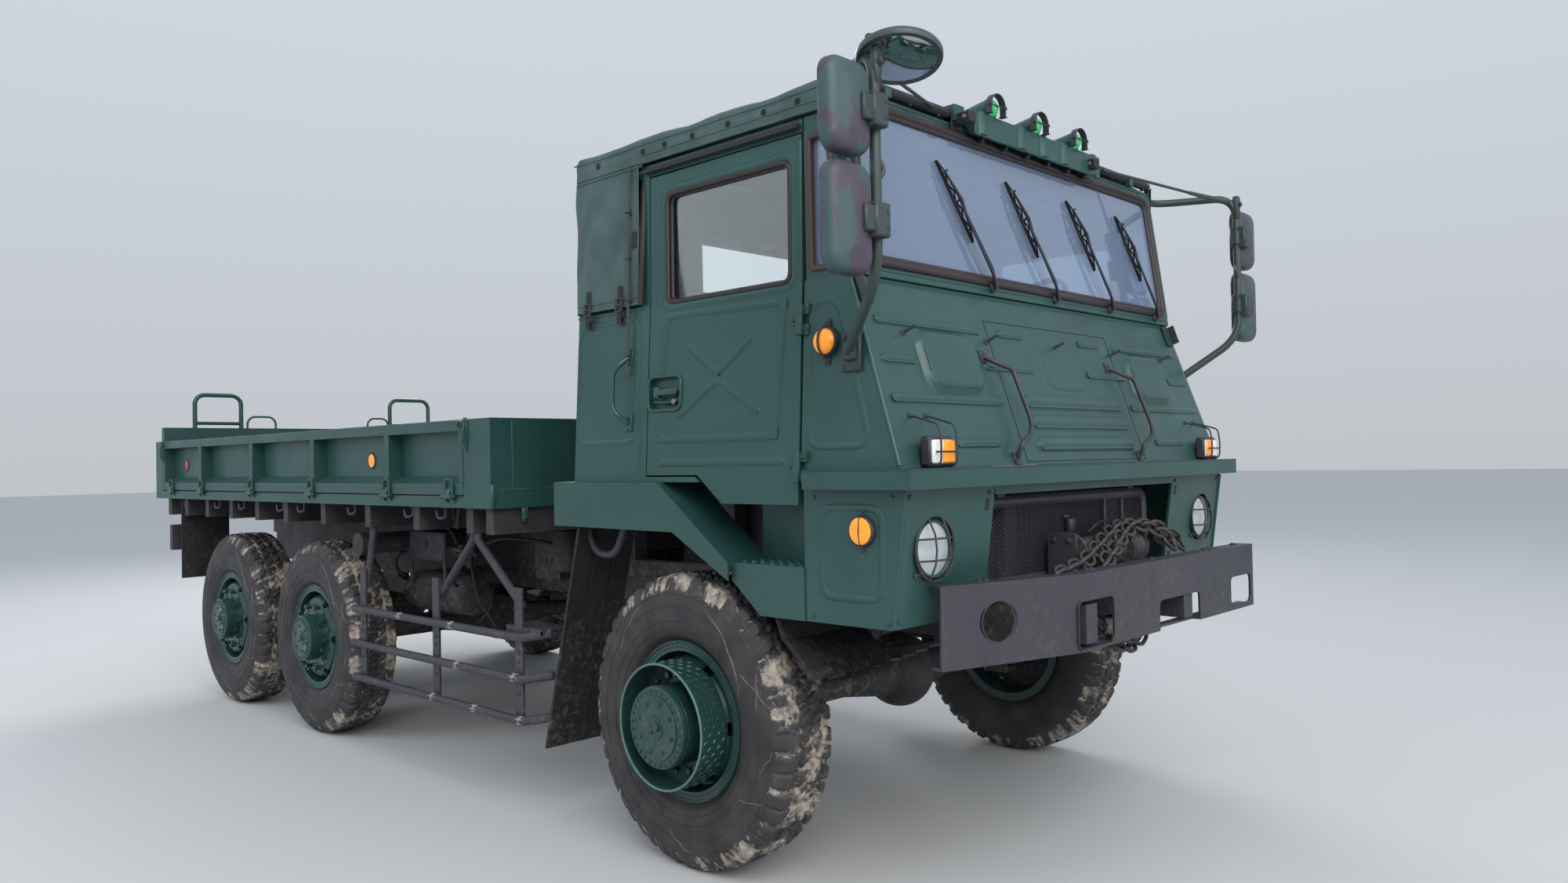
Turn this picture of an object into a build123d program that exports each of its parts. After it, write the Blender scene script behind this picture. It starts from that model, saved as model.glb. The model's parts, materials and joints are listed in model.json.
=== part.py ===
from build123d import *
import os
from math import atan2, degrees

os.makedirs("parts", exist_ok=True)

# A six-wheel drop-side cargo truck with a flat-fronted forward cab.
# Millimetres. X is across the truck with its left side at +X, Y runs towards the rear, Z is up.
# The origin is on the ground under the middle of the truck, which faces -Y.

# How far the truck reaches from its front axle, and the axles' stations
front_reach = 1228
bed_length = 4525
bed_start = 1230
tailgate_gap = 5
tailgate_thickness = 56
gate_hinge_radius = 11
gate_hinge_stand = 15
wheelbase = 3166
tandem_spacing = 1254
tailgate_hinge_reach = bed_start + bed_length + tailgate_gap + tailgate_thickness + gate_hinge_stand
rear_reach = tailgate_hinge_reach + gate_hinge_radius
front_axle_y = (front_reach - rear_reach) / 2
mid_axle_y = front_axle_y + wheelbase
rear_axle_y = mid_axle_y + tandem_spacing

# The gap at which a piece lies on its seat
seat_gap = 0.3

# Tyres
tyre_radius = 542.5
tyre_width = 286
tyre_face_x = 1226
tyre_centre_x = tyre_face_x - tyre_width / 2
bead_radius = 262
bead_inset = 46
shoulder_drop = 40
shoulder_inset = 22

# Wheels
flange_radius = 295
flange_plate = 11
rim_plate = 9
disc_flange_x = 1195
disc_flange_radius = 190
hand_hole_radius = 25
hand_hole_circle = 222
hand_hole_count = 6
nut_circle = 176
nut_radius = 13
nut_height = 34
nut_count = 10
front_hub_radius = 147
front_hub_x = 1330
rear_hub_radius = 126
rear_hub_x = 1275
hub_inner_x = 1076
hub_boss_radius = 42
step_ring_radius = 228
step_ring_plate = 7
step_ring_x = 1310
axle_z = tyre_radius

# Steering
kingpin_x = 1000
kingpin_radius = 26
knuckle_radius = 74
yoke_gap = 4

# Frame rails
rail_outer_x = 430
rail_width = 78
rail_web = 8
rail_top_z = 1010
rail_bottom_z = 815
rail_front_y = front_axle_y - 1080
rail_rear_y = front_axle_y + 5640
crossmember_height = 120
crossmember_width = 70

# Cab shell
cab_sill_x = 1196
cab_belt_x = 1160
cab_roof_x = 1152
cab_floor_z = 1400
cab_floor_plate = 30
cab_sill_z = 1440
cab_belt_z = 2092
cab_header_z = 2640
cab_rear_y = front_axle_y + 652
cab_wall = 42
door_front_y = front_axle_y - 606
door_rear_y = front_axle_y + 196
door_gap = 6
door_step_y = front_axle_y - 96
door_low_y = front_axle_y - 230
door_low_z = 1345
door_glass_inset = 30
glass_thickness = 6
post_width = 46

# Sloping front and its ledge
nose_top_y = front_axle_y - 806
nose_foot_y = front_axle_y - 1022
nose_foot_z = 1462
nose_lean = (nose_top_y - nose_foot_y) / (cab_belt_z - nose_foot_z)
ledge_x = 1236
ledge_front_y = front_axle_y - 1092
ledge_rear_y = front_axle_y - 650
ledge_bottom_z = 1398
ledge_depth = 62
skirt_x = 1192
skirt_top_y = front_axle_y - 1034
skirt_bottom_y = front_axle_y - 976
skirt_rear_y = front_axle_y - 618
skirt_bottom_z = 964
skirt_plate = 12
grille_bar = 40
opening_half_width = 690
headlamp_x = 1016
headlamp_z = 1206
headlamp_radius = 93
headlamp_hole = 104

# Windscreen
screen_foot_y = front_axle_y - 812
screen_foot_z = 2141
screen_top_y = front_axle_y - 752
screen_top_z = 2686
screen_foot_x = 1112
screen_top_x = 1074
frame_margin = 40

# Canvas roof
roof_front_y = front_axle_y - 700
roof_rear_y = front_axle_y + 668
roof_edge_z = 2646
roof_shoulder_z = 2752
roof_crown_z = 2800
roof_sheet = 14
roof_gap = 0.3
roof_skirt_y = front_axle_y + 240
roof_skirt_z = 2106

# Bumper
bumper_front_y = front_axle_y - front_reach
bumper_half = 1042
bumper_top_z = 1090
bumper_bottom_z = 824
bumper_plate = 10
bumper_flange = 70
bumper_end_flange = 48
bend_x = -466
bend_slope = 0.306

# Cargo bed
bed_front_y = front_axle_y + bed_start
bed_rear_y = bed_front_y + bed_length
bed_half = 1235
bed_base_z = 1301
bed_floor_z = 1358
bed_floor_plate = 22
rave_height = 54
rave_width = 60
gate_top_z = 1708
gate_thickness = 78
gate_front_y = bed_front_y + 232
gate_rear_y = bed_rear_y - 148
gate_gap = 7
gate_skin = 8
gate_top_rail = 52
gate_low_rail = 50
gate_ledge_rise = 38
gate_rib_width = 44
gate_end_post = 40
gate_rib_pitch = 885
gate_rib_count = 4
first_rib_y = front_axle_y + 2206
hinge_z = 1352
hinge_x = bed_half + gate_hinge_stand
hinge_stations_bed = (1578, 2195, 3099, 3964, 4820, 5404)
gate_knuckle = 40
bed_knuckle = 22
tailgate_half = 1178
tailgate_hinge_stations = (-900, -300, 300, 900)
tailgate_top_z = 1815
tailgate_hinge_y = front_axle_y + tailgate_hinge_reach
headboard_thickness = 60
sill_x = 392
cross_sill_height = 118
cross_sill_stations = (1290, 1460, 1960, 2480, 3020, 3531, 3964, 4392, 4820, 5220, 5560)

# Fenders and steps
fender_x = 1221
fender_inner_x = 1010
fender_top_z = 1420
fender_rim_z = 1241
fender_rear_y = front_axle_y + 765
fender_plate = 8
step_top_z = 1140
step_bottom_z = 964

# Mirrors and lamps
mirror_reach = 1560
green_lamp_pitch = 315
green_lamp_radius = 36


def across(y):
    """Plane at station y that faces the front: local x is X and local y is Z."""
    return Plane(origin=(0, y, 0), x_dir=(1, 0, 0), z_dir=(0, -1, 0))


def along(x):
    """Plane at x that faces the left side: local x is Y and local y is Z."""
    return Plane(origin=(x, 0, 0), x_dir=(0, 1, 0), z_dir=(1, 0, 0))


def slab(x, y, z, mode=Mode.ADD):
    """A box between a low and a high limit on each axis, in the open part."""
    with Locations(((x[0] + x[1]) / 2, (y[0] + y[1]) / 2, (z[0] + z[1]) / 2)):
        Box(x[1] - x[0], y[1] - y[0], z[1] - z[0], mode=mode)


def both(x0, x1):
    """The same span across the truck on the right and on the left side."""
    return ((-x1, -x0), (x0, x1))


def plate(plane, points, thickness, mode=Mode.ADD):
    """A flat plate with straight edges that grows from a plane, in the open part."""
    with BuildSketch(plane) as outline:
        with BuildLine():
            Polyline(*points, close=True)
        make_face()
    extrude(outline.sketch, amount=thickness, mode=mode)


def drum(origin, direction, radius, length, mode=Mode.ADD):
    """A cylinder that grows from a point in a direction, in the open part."""
    with Locations(Plane(origin=origin, z_dir=direction)):
        Cylinder(radius, length, align=(Align.CENTER, Align.CENTER, Align.MIN), mode=mode)


def rod(points, radius):
    """A round bar along straight runs, in the open part."""
    with BuildLine() as path:
        Polyline(*points)
    with BuildSketch(Plane(origin=path.line @ 0, z_dir=path.line % 0)) as section:
        Circle(radius)
    sweep(section.sketch, path=path.line, transition=Transition.ROUND)


def bent_rod(points, radius, bend):
    """A round bar along straight runs with rounded bends, in the open part."""
    with BuildLine() as path:
        FilletPolyline(*points, radius=bend)
    with BuildSketch(Plane(origin=path.line @ 0, z_dir=path.line % 0)) as section:
        Circle(radius)
    sweep(section.sketch, path=path.line)


def save(name, shape):
    """Label a finished piece and write it."""
    shape.label = name
    export_step(shape, f"parts/{name}.step")


# Frame rails, cross-members, and the cab and engine mounts on them
crossmember_offsets = (-1030, 1660, 2350, 3160, 4430, 5560)
cab_mount_offsets = (-850, 560)
cab_mount_length = 100
engine_mount_offsets = (-300, 400)
engine_half = 330
with BuildPart() as chassis_frame:
    for side in (-1, 1):
        outer = side * rail_outer_x
        inner = side * (rail_outer_x - rail_width)
        web = side * (rail_outer_x - rail_web)
        channel = (
            (outer, rail_bottom_z),
            (inner, rail_bottom_z),
            (inner, rail_bottom_z + rail_web),
            (web, rail_bottom_z + rail_web),
            (web, rail_top_z - rail_web),
            (inner, rail_top_z - rail_web),
            (inner, rail_top_z),
            (outer, rail_top_z),
        )
        plate(across(rail_rear_y), channel, rail_rear_y - rail_front_y)
    for offset in crossmember_offsets:
        y = front_axle_y + offset
        beam_top_z = rail_top_z - rail_web - seat_gap
        beam = (
            (y - crossmember_width / 2, beam_top_z - crossmember_height),
            (y + crossmember_width / 2, beam_top_z - crossmember_height),
            (y + crossmember_width / 2, beam_top_z - crossmember_height + rail_web),
            (y - crossmember_width / 2 + rail_web, beam_top_z - crossmember_height + rail_web),
            (y - crossmember_width / 2 + rail_web, beam_top_z - rail_web),
            (y + crossmember_width / 2, beam_top_z - rail_web),
            (y + crossmember_width / 2, beam_top_z),
            (y - crossmember_width / 2, beam_top_z),
        )
        beam_half = rail_outer_x - rail_web - seat_gap
        plate(along(-beam_half), beam, 2 * beam_half)
    for x0, x1 in both(rail_outer_x - rail_width, rail_outer_x):
        for offset in cab_mount_offsets:
            y0 = front_axle_y + offset - cab_mount_length / 2
            slab(
                (x0, x1),
                (y0, y0 + cab_mount_length),
                (rail_top_z + seat_gap, cab_floor_z - cab_floor_plate - seat_gap),
            )
    for x0, x1 in both(engine_half + seat_gap, rail_outer_x - rail_web - seat_gap):
        for offset in engine_mount_offsets:
            y = front_axle_y + offset
            slab((x0, x1), (y - 40, y + 40), (rail_bottom_z + 50, rail_bottom_z + 110))
save("chassis_frame", chassis_frame.part)

# Rear tow clevis on the last cross-member
tow_clevis_z = 915
tow_pin_radius = 21
tow_jaw = 34
tow_gap = 60
tow_plate_y = front_axle_y + crossmember_offsets[-1] + crossmember_width / 2 + seat_gap
with BuildPart() as tow_clevis:
    slab((-190, 190), (tow_plate_y, tow_plate_y + 25), (tow_clevis_z - 45, tow_clevis_z + 75))
    for z in (tow_clevis_z - tow_gap / 2 - tow_jaw, tow_clevis_z + tow_gap / 2):
        slab((-60, 60), (tow_plate_y + 20, tow_plate_y + 150), (z, z + tow_jaw))
    with Locations((0, tow_plate_y + 100, tow_clevis_z)):
        Cylinder(tow_pin_radius, 3 * tow_gap, mode=Mode.SUBTRACT)
save("tow_clevis", tow_clevis.part)

# Bumper: a channel, its right end bent back, with tow openings and a notch
with BuildPart() as front_bumper:
    with BuildSketch(Plane.XY.offset(bumper_bottom_z)):
        with BuildLine():
            bend_end = (-bumper_half, bumper_front_y + (bumper_half + bend_x) * bend_slope)
            Polyline(
                (bumper_half, bumper_front_y + bumper_flange),
                (bumper_half, bumper_front_y),
                (bend_x, bumper_front_y),
                bend_end,
                (bend_end[0] + 14, bend_end[1] + bumper_end_flange),
                (bend_x + 14, bumper_front_y + bumper_flange),
                close=True,
            )
        make_face()
    extrude(amount=bumper_top_z - bumper_bottom_z)
    with BuildSketch(Plane.XY.offset(bumper_bottom_z + bumper_plate)):
        with BuildLine():
            Polyline(
                (bumper_half + 1, bumper_front_y + bumper_flange + 80),
                (bumper_half + 1, bumper_front_y + bumper_plate),
                (bend_x, bumper_front_y + bumper_plate),
                (bend_end[0] - 1, bend_end[1] + bumper_plate),
                (bend_end[0] - 1, bend_end[1] + bumper_flange + 80),
                (bend_x + 14, bumper_front_y + bumper_flange + 80),
                close=True,
            )
        make_face()
    extrude(amount=bumper_top_z - bumper_bottom_z - 2 * bumper_plate, mode=Mode.SUBTRACT)
    with BuildSketch(across(bumper_front_y + bumper_plate / 2)):
        with Locations((-370, 915)):
            RectangleRounded(255, 165, 34)
        with Locations((300, 855)):
            RectangleRounded(370, 170, 24)
        with Locations((905, 905)):
            RectangleRounded(220, 122, 30)
    extrude(amount=3 * bumper_plate, both=True, mode=Mode.SUBTRACT)
    with Locations(Plane(origin=(-820, bumper_front_y + 110, 962), z_dir=(0.29, -0.957, 0))):
        Cylinder(66, 300, mode=Mode.SUBTRACT)
    for x0, x1 in both(rail_outer_x - rail_width, rail_outer_x):
        slab(
            (x0, x1),
            (bumper_front_y + bumper_plate, rail_front_y - seat_gap),
            (rail_bottom_z + 30, rail_top_z - 30),
        )
save("front_bumper", front_bumper.part)

# Winch between the rails behind the bumper
winch_front_y = front_axle_y - 1070
winch_rear_y = front_axle_y - 955
winch_half = 222
winch_cheek = 12
winch_drum_radius = 55
with BuildPart() as winch:
    drum(
        (-winch_half + 2, (winch_front_y + winch_rear_y) / 2, rail_top_z + 2 * winch_drum_radius),
        (1, 0, 0),
        winch_drum_radius,
        2 * winch_half - 4,
    )
    for x0, x1 in both(winch_half - winch_cheek, winch_half):
        slab((x0, x1), (winch_front_y, winch_rear_y), (rail_top_z + seat_gap, rail_top_z + 195))
    slab(
        (-winch_half, winch_half),
        (winch_front_y, winch_rear_y),
        (rail_top_z + seat_gap, rail_top_z + 14),
    )
    for x0, x1 in both(winch_half - 1, rail_outer_x):
        slab((x0, x1), (winch_front_y, winch_front_y + 20), (rail_top_z + seat_gap, rail_top_z + 60))
save("winch", winch.part)

# Driven axles: a banjo housing that tapers to its tubes
axle_tube_radius = 62
bowl_radius = 165
neck_radius = 104
spring_seat = 96
pinion_x = 90
pinion_reach = 240
pinion_box = 280
yoke_half = 62
yoke_height = 132
yoke_plate = 26
rear_tube_x = 905
spindle_radius = 44
rear_spindle_x = 1130


def axle_housing(station, bowl_x, tube_x):
    """Tubes, tapered necks and round bowl of a driven axle, in the open part."""
    with BuildSketch(Plane(origin=(0, station, axle_z), x_dir=(1, 0, 0), z_dir=(0, -1, 0))) as half:
        with BuildLine() as outline:
            Polyline(
                (-tube_x, 0),
                (-tube_x, axle_tube_radius),
                (bowl_x - 400, axle_tube_radius),
                (bowl_x - 120, neck_radius),
            )
            ThreePointArc(
                (bowl_x - 120, neck_radius),
                (bowl_x, bowl_radius),
                (bowl_x + 120, neck_radius),
            )
            Polyline(
                (bowl_x + 120, neck_radius),
                (bowl_x + 400, axle_tube_radius),
                (tube_x, axle_tube_radius),
                (tube_x, 0),
                (-tube_x, 0),
            )
        make_face(outline.edges())
    revolve(half.sketch, axis=Axis((0, station, axle_z), (1, 0, 0)))


with BuildPart() as front_axle:
    axle_housing(front_axle_y, pinion_x, kingpin_x - 105)
    drum((pinion_x, front_axle_y, axle_z + 10), (0, 1, 0), 70, pinion_reach)
    for x0, x1 in both(kingpin_x - 130, kingpin_x - 100):
        slab(
            (x0, x1),
            (front_axle_y - yoke_half, front_axle_y + yoke_half),
            (axle_z - yoke_height, axle_z + yoke_height),
        )
    for z in (axle_z - yoke_height, axle_z + yoke_height - yoke_plate):
        for x0, x1 in both(kingpin_x - 130, kingpin_x + 36):
            slab((x0, x1), (front_axle_y - yoke_half, front_axle_y + yoke_half), (z, z + yoke_plate))
    for x0, x1 in both(340, 450):
        slab((x0, x1), (front_axle_y - 52, front_axle_y + 52), (axle_z + 40, axle_z + spring_seat))
    for side in (-1, 1):
        with Locations((side * kingpin_x, front_axle_y, axle_z)):
            Cylinder(kingpin_radius + seat_gap, 3 * yoke_height, mode=Mode.SUBTRACT)
save("front_axle", front_axle.part)

# Steering knuckles, each with its kingpin, spindle and arm
spindle_end_x = 1250
for side, name in ((-1, "knuckle_right"), (1, "knuckle_left")):
    with BuildPart() as knuckle:
        with Locations((side * kingpin_x, front_axle_y, axle_z)):
            Cylinder(knuckle_radius, 2 * (yoke_height - yoke_plate - yoke_gap))
            Cylinder(kingpin_radius, 2 * yoke_height)
        drum(
            (side * (kingpin_x + 40), front_axle_y, axle_z),
            (side, 0, 0),
            spindle_radius,
            spindle_end_x - kingpin_x - 40,
        )
        x0, x1 = sorted((side * (kingpin_x - 10), side * (kingpin_x + 30)))
        slab((x0, x1), (front_axle_y, front_axle_y + 210), (axle_z - 60, axle_z - 20))
    save(name, knuckle.part)

# Two driven rear axles with their spindles and spring seats
with BuildPart() as rear_axles:
    for station in (mid_axle_y, rear_axle_y):
        axle_housing(station, 0, rear_tube_x)
        drum((-rear_spindle_x, station, axle_z), (1, 0, 0), spindle_radius, 2 * rear_spindle_x)
        slab((-75, 75), (station - pinion_box, station), (axle_z - 20, axle_z + 130))
        for x0, x1 in both(345, 470):
            slab((x0, x1), (station - 60, station + 60), (axle_z + 40, axle_z + spring_seat))
save("rear_axles", rear_axles.part)

# Leaf springs: one pack over each end of the front axle, one rocking pack each side at the rear
leaf_width = 76
leaf_thickness = 11
front_leaves = 7
rear_leaves = 9
front_spring_reach = 620
front_spring_bow = 88
rear_spring_reach = tandem_spacing / 2 + 40
rear_spring_bow = 44
leaf_step = 64
bogie_y = mid_axle_y + tandem_spacing / 2


def leaf(centre_y, middle_z, bow, reach, long_reach, thickness):
    """One bowed leaf of a spring on its side, in the open sketch; a negative bow droops."""
    radius = (long_reach**2 + bow**2) / (2 * abs(bow))
    sign = 1 if bow > 0 else -1

    def rise(distance):
        return sign * (radius - (radius**2 - distance**2) ** 0.5)

    with BuildLine() as outline:
        ThreePointArc(
            (centre_y - reach, middle_z + rise(reach)),
            (centre_y, middle_z),
            (centre_y + reach, middle_z + rise(reach)),
        )
        Polyline(
            (centre_y + reach, middle_z + rise(reach)),
            (centre_y + reach, middle_z + rise(reach) + thickness),
        )
        ThreePointArc(
            (centre_y + reach, middle_z + rise(reach) + thickness),
            (centre_y, middle_z + thickness),
            (centre_y - reach, middle_z + rise(reach) + thickness),
        )
        Polyline(
            (centre_y - reach, middle_z + rise(reach) + thickness),
            (centre_y - reach, middle_z + rise(reach)),
        )
    make_face(outline.edges())


with BuildPart() as springs:
    front_spring_z = axle_z + spring_seat + seat_gap
    rear_spring_z = axle_z + spring_seat + seat_gap + rear_spring_bow
    rear_spring_top = rear_spring_z + rear_leaves * leaf_thickness
    front_eye_z = front_spring_z + front_leaves * leaf_thickness + front_spring_bow
    for x0, x1 in both(rail_outer_x - leaf_width, rail_outer_x):
        for index in range(front_leaves):
            with BuildSketch(along(x0)) as profile:
                leaf(
                    front_axle_y,
                    front_spring_z + index * leaf_thickness,
                    front_spring_bow,
                    front_spring_reach - (front_leaves - 1 - index) * leaf_step,
                    front_spring_reach,
                    leaf_thickness,
                )
            extrude(profile.sketch, amount=leaf_width)
        for end in (-1, 1):
            eye_y = front_axle_y + end * (front_spring_reach - leaf_thickness)
            slab(
                (x0, x1),
                (eye_y - 30, eye_y + 30),
                (front_eye_z - leaf_thickness - 6, rail_bottom_z - seat_gap),
            )
        for index in range(rear_leaves):
            with BuildSketch(along(x0)) as profile:
                leaf(
                    bogie_y,
                    rear_spring_z + index * leaf_thickness,
                    -rear_spring_bow,
                    rear_spring_reach - index * leaf_step,
                    rear_spring_reach,
                    leaf_thickness,
                )
            extrude(profile.sketch, amount=leaf_width)
        slab(
            (x0, x1),
            (bogie_y - 110, bogie_y + 110),
            (rear_spring_top - leaf_thickness, rail_bottom_z - seat_gap),
        )
save("springs", springs.part)

# Gearbox, transfer case and the shafts to the three axles
gearbox_rear_y = front_axle_y + 1160
transfer_front_y = front_axle_y + 1460
transfer_rear_y = front_axle_y + 1860
engine_rear_y = front_axle_y + 660
transfer_top_z = rail_top_z - rail_web - crossmember_height - 2 * seat_gap
shaft_radius = 38
with BuildPart() as driveline:
    slab((-170, 170), (engine_rear_y + seat_gap, gearbox_rear_y), (790, 1150))
    slab((-230, 260), (transfer_front_y, transfer_rear_y), (600, transfer_top_z))
    drum((0, gearbox_rear_y, 825), (0, 1, 0), shaft_radius, transfer_front_y - gearbox_rear_y)
    drum((pinion_x, transfer_front_y, 640), (0, -1, 0), 60, 70)
    rod(
        ((pinion_x, transfer_front_y - 40, 640), (pinion_x, front_axle_y + pinion_reach + 45, axle_z + 12)),
        shaft_radius,
    )
    drum((pinion_x, front_axle_y + pinion_reach + seat_gap, axle_z + 10), (0, 1, 0), 56, 50)
    drum((0, transfer_rear_y, 700), (0, 1, 0), 60, 60)
    rod(((0, transfer_rear_y + 40, 700), (0, mid_axle_y - pinion_box - 50, axle_z + 60)), shaft_radius)
    drum((0, mid_axle_y - pinion_box - 60, axle_z + 60), (0, 1, 0), 56, 60 - seat_gap)
    drum((0, mid_axle_y + bowl_radius + seat_gap, axle_z + 60), (0, 1, 0), 56, 60)
    rod(
        ((0, mid_axle_y + bowl_radius + 40, axle_z + 60), (0, rear_axle_y - pinion_box - 40, axle_z + 60)),
        shaft_radius,
    )
    drum((0, rear_axle_y - pinion_box - 60, axle_z + 60), (0, 1, 0), 56, 60 - seat_gap)
save("driveline", driveline.part)

# Engine, one plain block between the rails
with BuildPart() as engine_block:
    slab((-engine_half, engine_half), (front_axle_y - 560, engine_rear_y), (790, 1340))
save("engine_block", engine_block.part)


def cab_section(inset, low_z, high_z):
    """Half-and-half section of the cab with its sides leaning in, in the open sketch."""
    lean = (cab_sill_x - cab_belt_x) / (cab_belt_z - cab_sill_z)
    low_x = cab_sill_x - (low_z - cab_sill_z) * lean - inset
    belt = cab_belt_x - inset
    top = cab_roof_x - inset
    with BuildLine() as outline:
        Polyline(
            (-low_x, low_z),
            (low_x, low_z),
            (belt, cab_belt_z),
            (top, high_z),
            (-top, high_z),
            (-belt, cab_belt_z),
            close=True,
        )
    make_face(outline.edges())


# Cab tub: floor, rear wall, quarter panels, posts and header rails
with BuildPart() as cab_body:
    with BuildSketch(across(cab_rear_y)):
        cab_section(0, cab_floor_z - cab_floor_plate, cab_header_z)
    extrude(amount=cab_rear_y - door_front_y)
    with BuildSketch(across(cab_rear_y - cab_wall)):
        cab_section(cab_wall, cab_floor_z, cab_header_z - post_width)
    extrude(amount=cab_rear_y - cab_wall - door_front_y + 1, mode=Mode.SUBTRACT)
    slab(
        (-cab_roof_x + cab_wall + 8, cab_roof_x - cab_wall - 8),
        (door_front_y + post_width, cab_rear_y - cab_wall),
        (cab_header_z - post_width - 1, cab_header_z + 1),
        mode=Mode.SUBTRACT,
    )
    door_opening = (
        (door_front_y - 1, cab_header_z - post_width),
        (door_front_y - 1, door_low_z),
        (door_low_y + 2 * door_gap, door_low_z),
        (door_step_y + 2 * door_gap, cab_sill_z),
        (door_rear_y, cab_sill_z),
        (door_rear_y, cab_header_z - post_width),
    )
    quarter_opening = (
        (door_rear_y + post_width, cab_belt_z),
        (cab_rear_y - post_width, cab_belt_z),
        (cab_rear_y - post_width, cab_header_z - post_width),
        (door_rear_y + post_width, cab_header_z - post_width),
    )
    for side in (-1, 1):
        for opening in (door_opening, quarter_opening):
            plate(along(side * (cab_sill_x + 50)), opening, -side * (cab_wall + 110), Mode.SUBTRACT)
    slab((-520, 520), (cab_rear_y - cab_wall - 1, cab_rear_y + 1), (2190, 2520), mode=Mode.SUBTRACT)
    for x0, x1 in both(fender_inner_x - seat_gap, cab_sill_x + 20):
        slab(
            (x0, x1),
            (door_front_y, cab_rear_y + 1),
            (cab_floor_z - cab_floor_plate - 1, fender_top_z + seat_gap),
            mode=Mode.SUBTRACT,
        )
    for x0, x1 in both(fender_inner_x - 18, fender_inner_x - seat_gap):
        slab((x0, x1), (door_front_y, cab_rear_y), (cab_floor_z - cab_floor_plate, fender_top_z + 1))
    slab(
        (-ledge_x + ledge_depth + seat_gap, ledge_x - ledge_depth - seat_gap),
        (skirt_top_y + grille_bar + seat_gap, door_front_y),
        (cab_floor_z - cab_floor_plate, cab_floor_z),
    )
    slab(
        (-cab_sill_x - 20, cab_sill_x + 20),
        (ledge_front_y, cab_rear_y + 1),
        (cab_floor_z, cab_floor_z + seat_gap),
        mode=Mode.SUBTRACT,
    )
save("cab_body", cab_body.part)

# Nose: sloping front and the side panels ahead of the doors, one folded shell
nose_plate = 30
nose_plane = Plane(
    origin=(0, nose_foot_y, nose_foot_z),
    x_dir=(1, 0, 0),
    z_dir=(0, nose_foot_z - cab_belt_z, nose_top_y - nose_foot_y),
)
nose_pads = (
    # across, up the slope, width, height, rise
    (-745, 376, 310, 196, 20),
    (745, 376, 310, 196, 20),
    (23, 405, 314, 200, 3),
    (26, 243, 733, 48, 10),
    (26, 162, 733, 48, 10),
    (26, 77, 733, 48, 10),
)
nose_bead_width = 28
nose_bead_rise = 7
nose_beads = (
    # across on either side, up the slope, length
    (805, 511, 600),
    (298, 511, 171),
    (1036, 373, 171),
    (370, 373, 330),
    (815, 236, 640),
    (735, 82, 244),
)
hinge_stations = (1470, 1960)
hinge_knuckle = 34
hinge_pin_radius = 14
hinge_lean = (cab_sill_x - cab_belt_x) / (cab_belt_z - cab_sill_z)
hinge_stand = hinge_pin_radius + 1.5
hinge_leaf = 38
hinge_line_y = door_front_y


def hinge_parts(side, toward, spans):
    """Hinge knuckles with their leaves, on the panel toward the front (-1) or the rear (1)."""
    for station in hinge_stations:
        for start, end in spans:
            base_z = station + start
            skin_x = cab_sill_x - (base_z - cab_sill_z) * hinge_lean
            barrel_z = base_z + hinge_stand * hinge_lean
            drum(
                (side * (skin_x + hinge_stand), hinge_line_y, barrel_z),
                (-side * hinge_lean, 0, 1),
                hinge_pin_radius,
                end - start,
            )
            leaf_plane = Plane(
                origin=(side * skin_x, hinge_line_y, base_z),
                x_dir=(0, side, 0),
                z_dir=(side, 0, hinge_lean),
            )
            with Locations(leaf_plane):
                with Locations((min(0, side * toward * hinge_leaf), 0, -3)):
                    Box(hinge_leaf, end - start, hinge_stand, align=(Align.MIN, Align.MIN, Align.MIN))


with BuildPart() as nose_panel:
    with BuildSketch(across(door_front_y - door_gap)):
        cab_section(0, nose_foot_z, cab_belt_z)
    extrude(amount=door_front_y - door_gap - nose_foot_y)
    wedge = (
        (door_front_y, nose_foot_z - 1),
        (nose_foot_y, nose_foot_z - 1),
        (nose_foot_y, nose_foot_z),
        (nose_top_y, cab_belt_z),
        (door_front_y, cab_belt_z),
    )
    plate(along(-cab_sill_x - 100), wedge, 2 * cab_sill_x + 200, Mode.INTERSECT)
    hollow = (
        (door_front_y + 1, nose_foot_z - 1),
        (nose_foot_y + nose_plate, nose_foot_z - 1),
        (nose_top_y + nose_plate, cab_belt_z - nose_plate),
        (door_front_y + 1, cab_belt_z - nose_plate),
    )
    plate(along(nose_plate - cab_belt_x), hollow, 2 * (cab_belt_x - nose_plate), Mode.SUBTRACT)
    for x, up, width, height, rise in nose_pads:
        with BuildSketch(nose_plane) as pad:
            with Locations((x, up)):
                RectangleRounded(width, height, height / 3)
        extrude(pad.sketch, amount=rise)
    for side in (-1, 1):
        for x, up, length in nose_beads:
            with BuildSketch(nose_plane) as bead:
                with Locations((side * x, up)):
                    SlotOverall(length, nose_bead_width)
            extrude(bead.sketch, amount=nose_bead_rise)
        hinge_parts(
            side,
            -1,
            (
                (-1.5 * hinge_knuckle, -0.5 * hinge_knuckle - seat_gap),
                (0.5 * hinge_knuckle + seat_gap, 1.5 * hinge_knuckle),
            ),
        )
save("nose_panel", nose_panel.part)

# Ledge under the nose
with BuildPart() as front_ledge:
    slab((-ledge_x, ledge_x), (ledge_front_y, ledge_rear_y), (ledge_bottom_z, nose_foot_z - seat_gap))
    slab(
        (-ledge_x + ledge_depth, ledge_x - ledge_depth),
        (ledge_front_y + ledge_depth, ledge_rear_y + 1),
        (ledge_bottom_z - 1, nose_foot_z + 1),
        mode=Mode.SUBTRACT,
    )
save("front_ledge", front_ledge.part)

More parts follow.
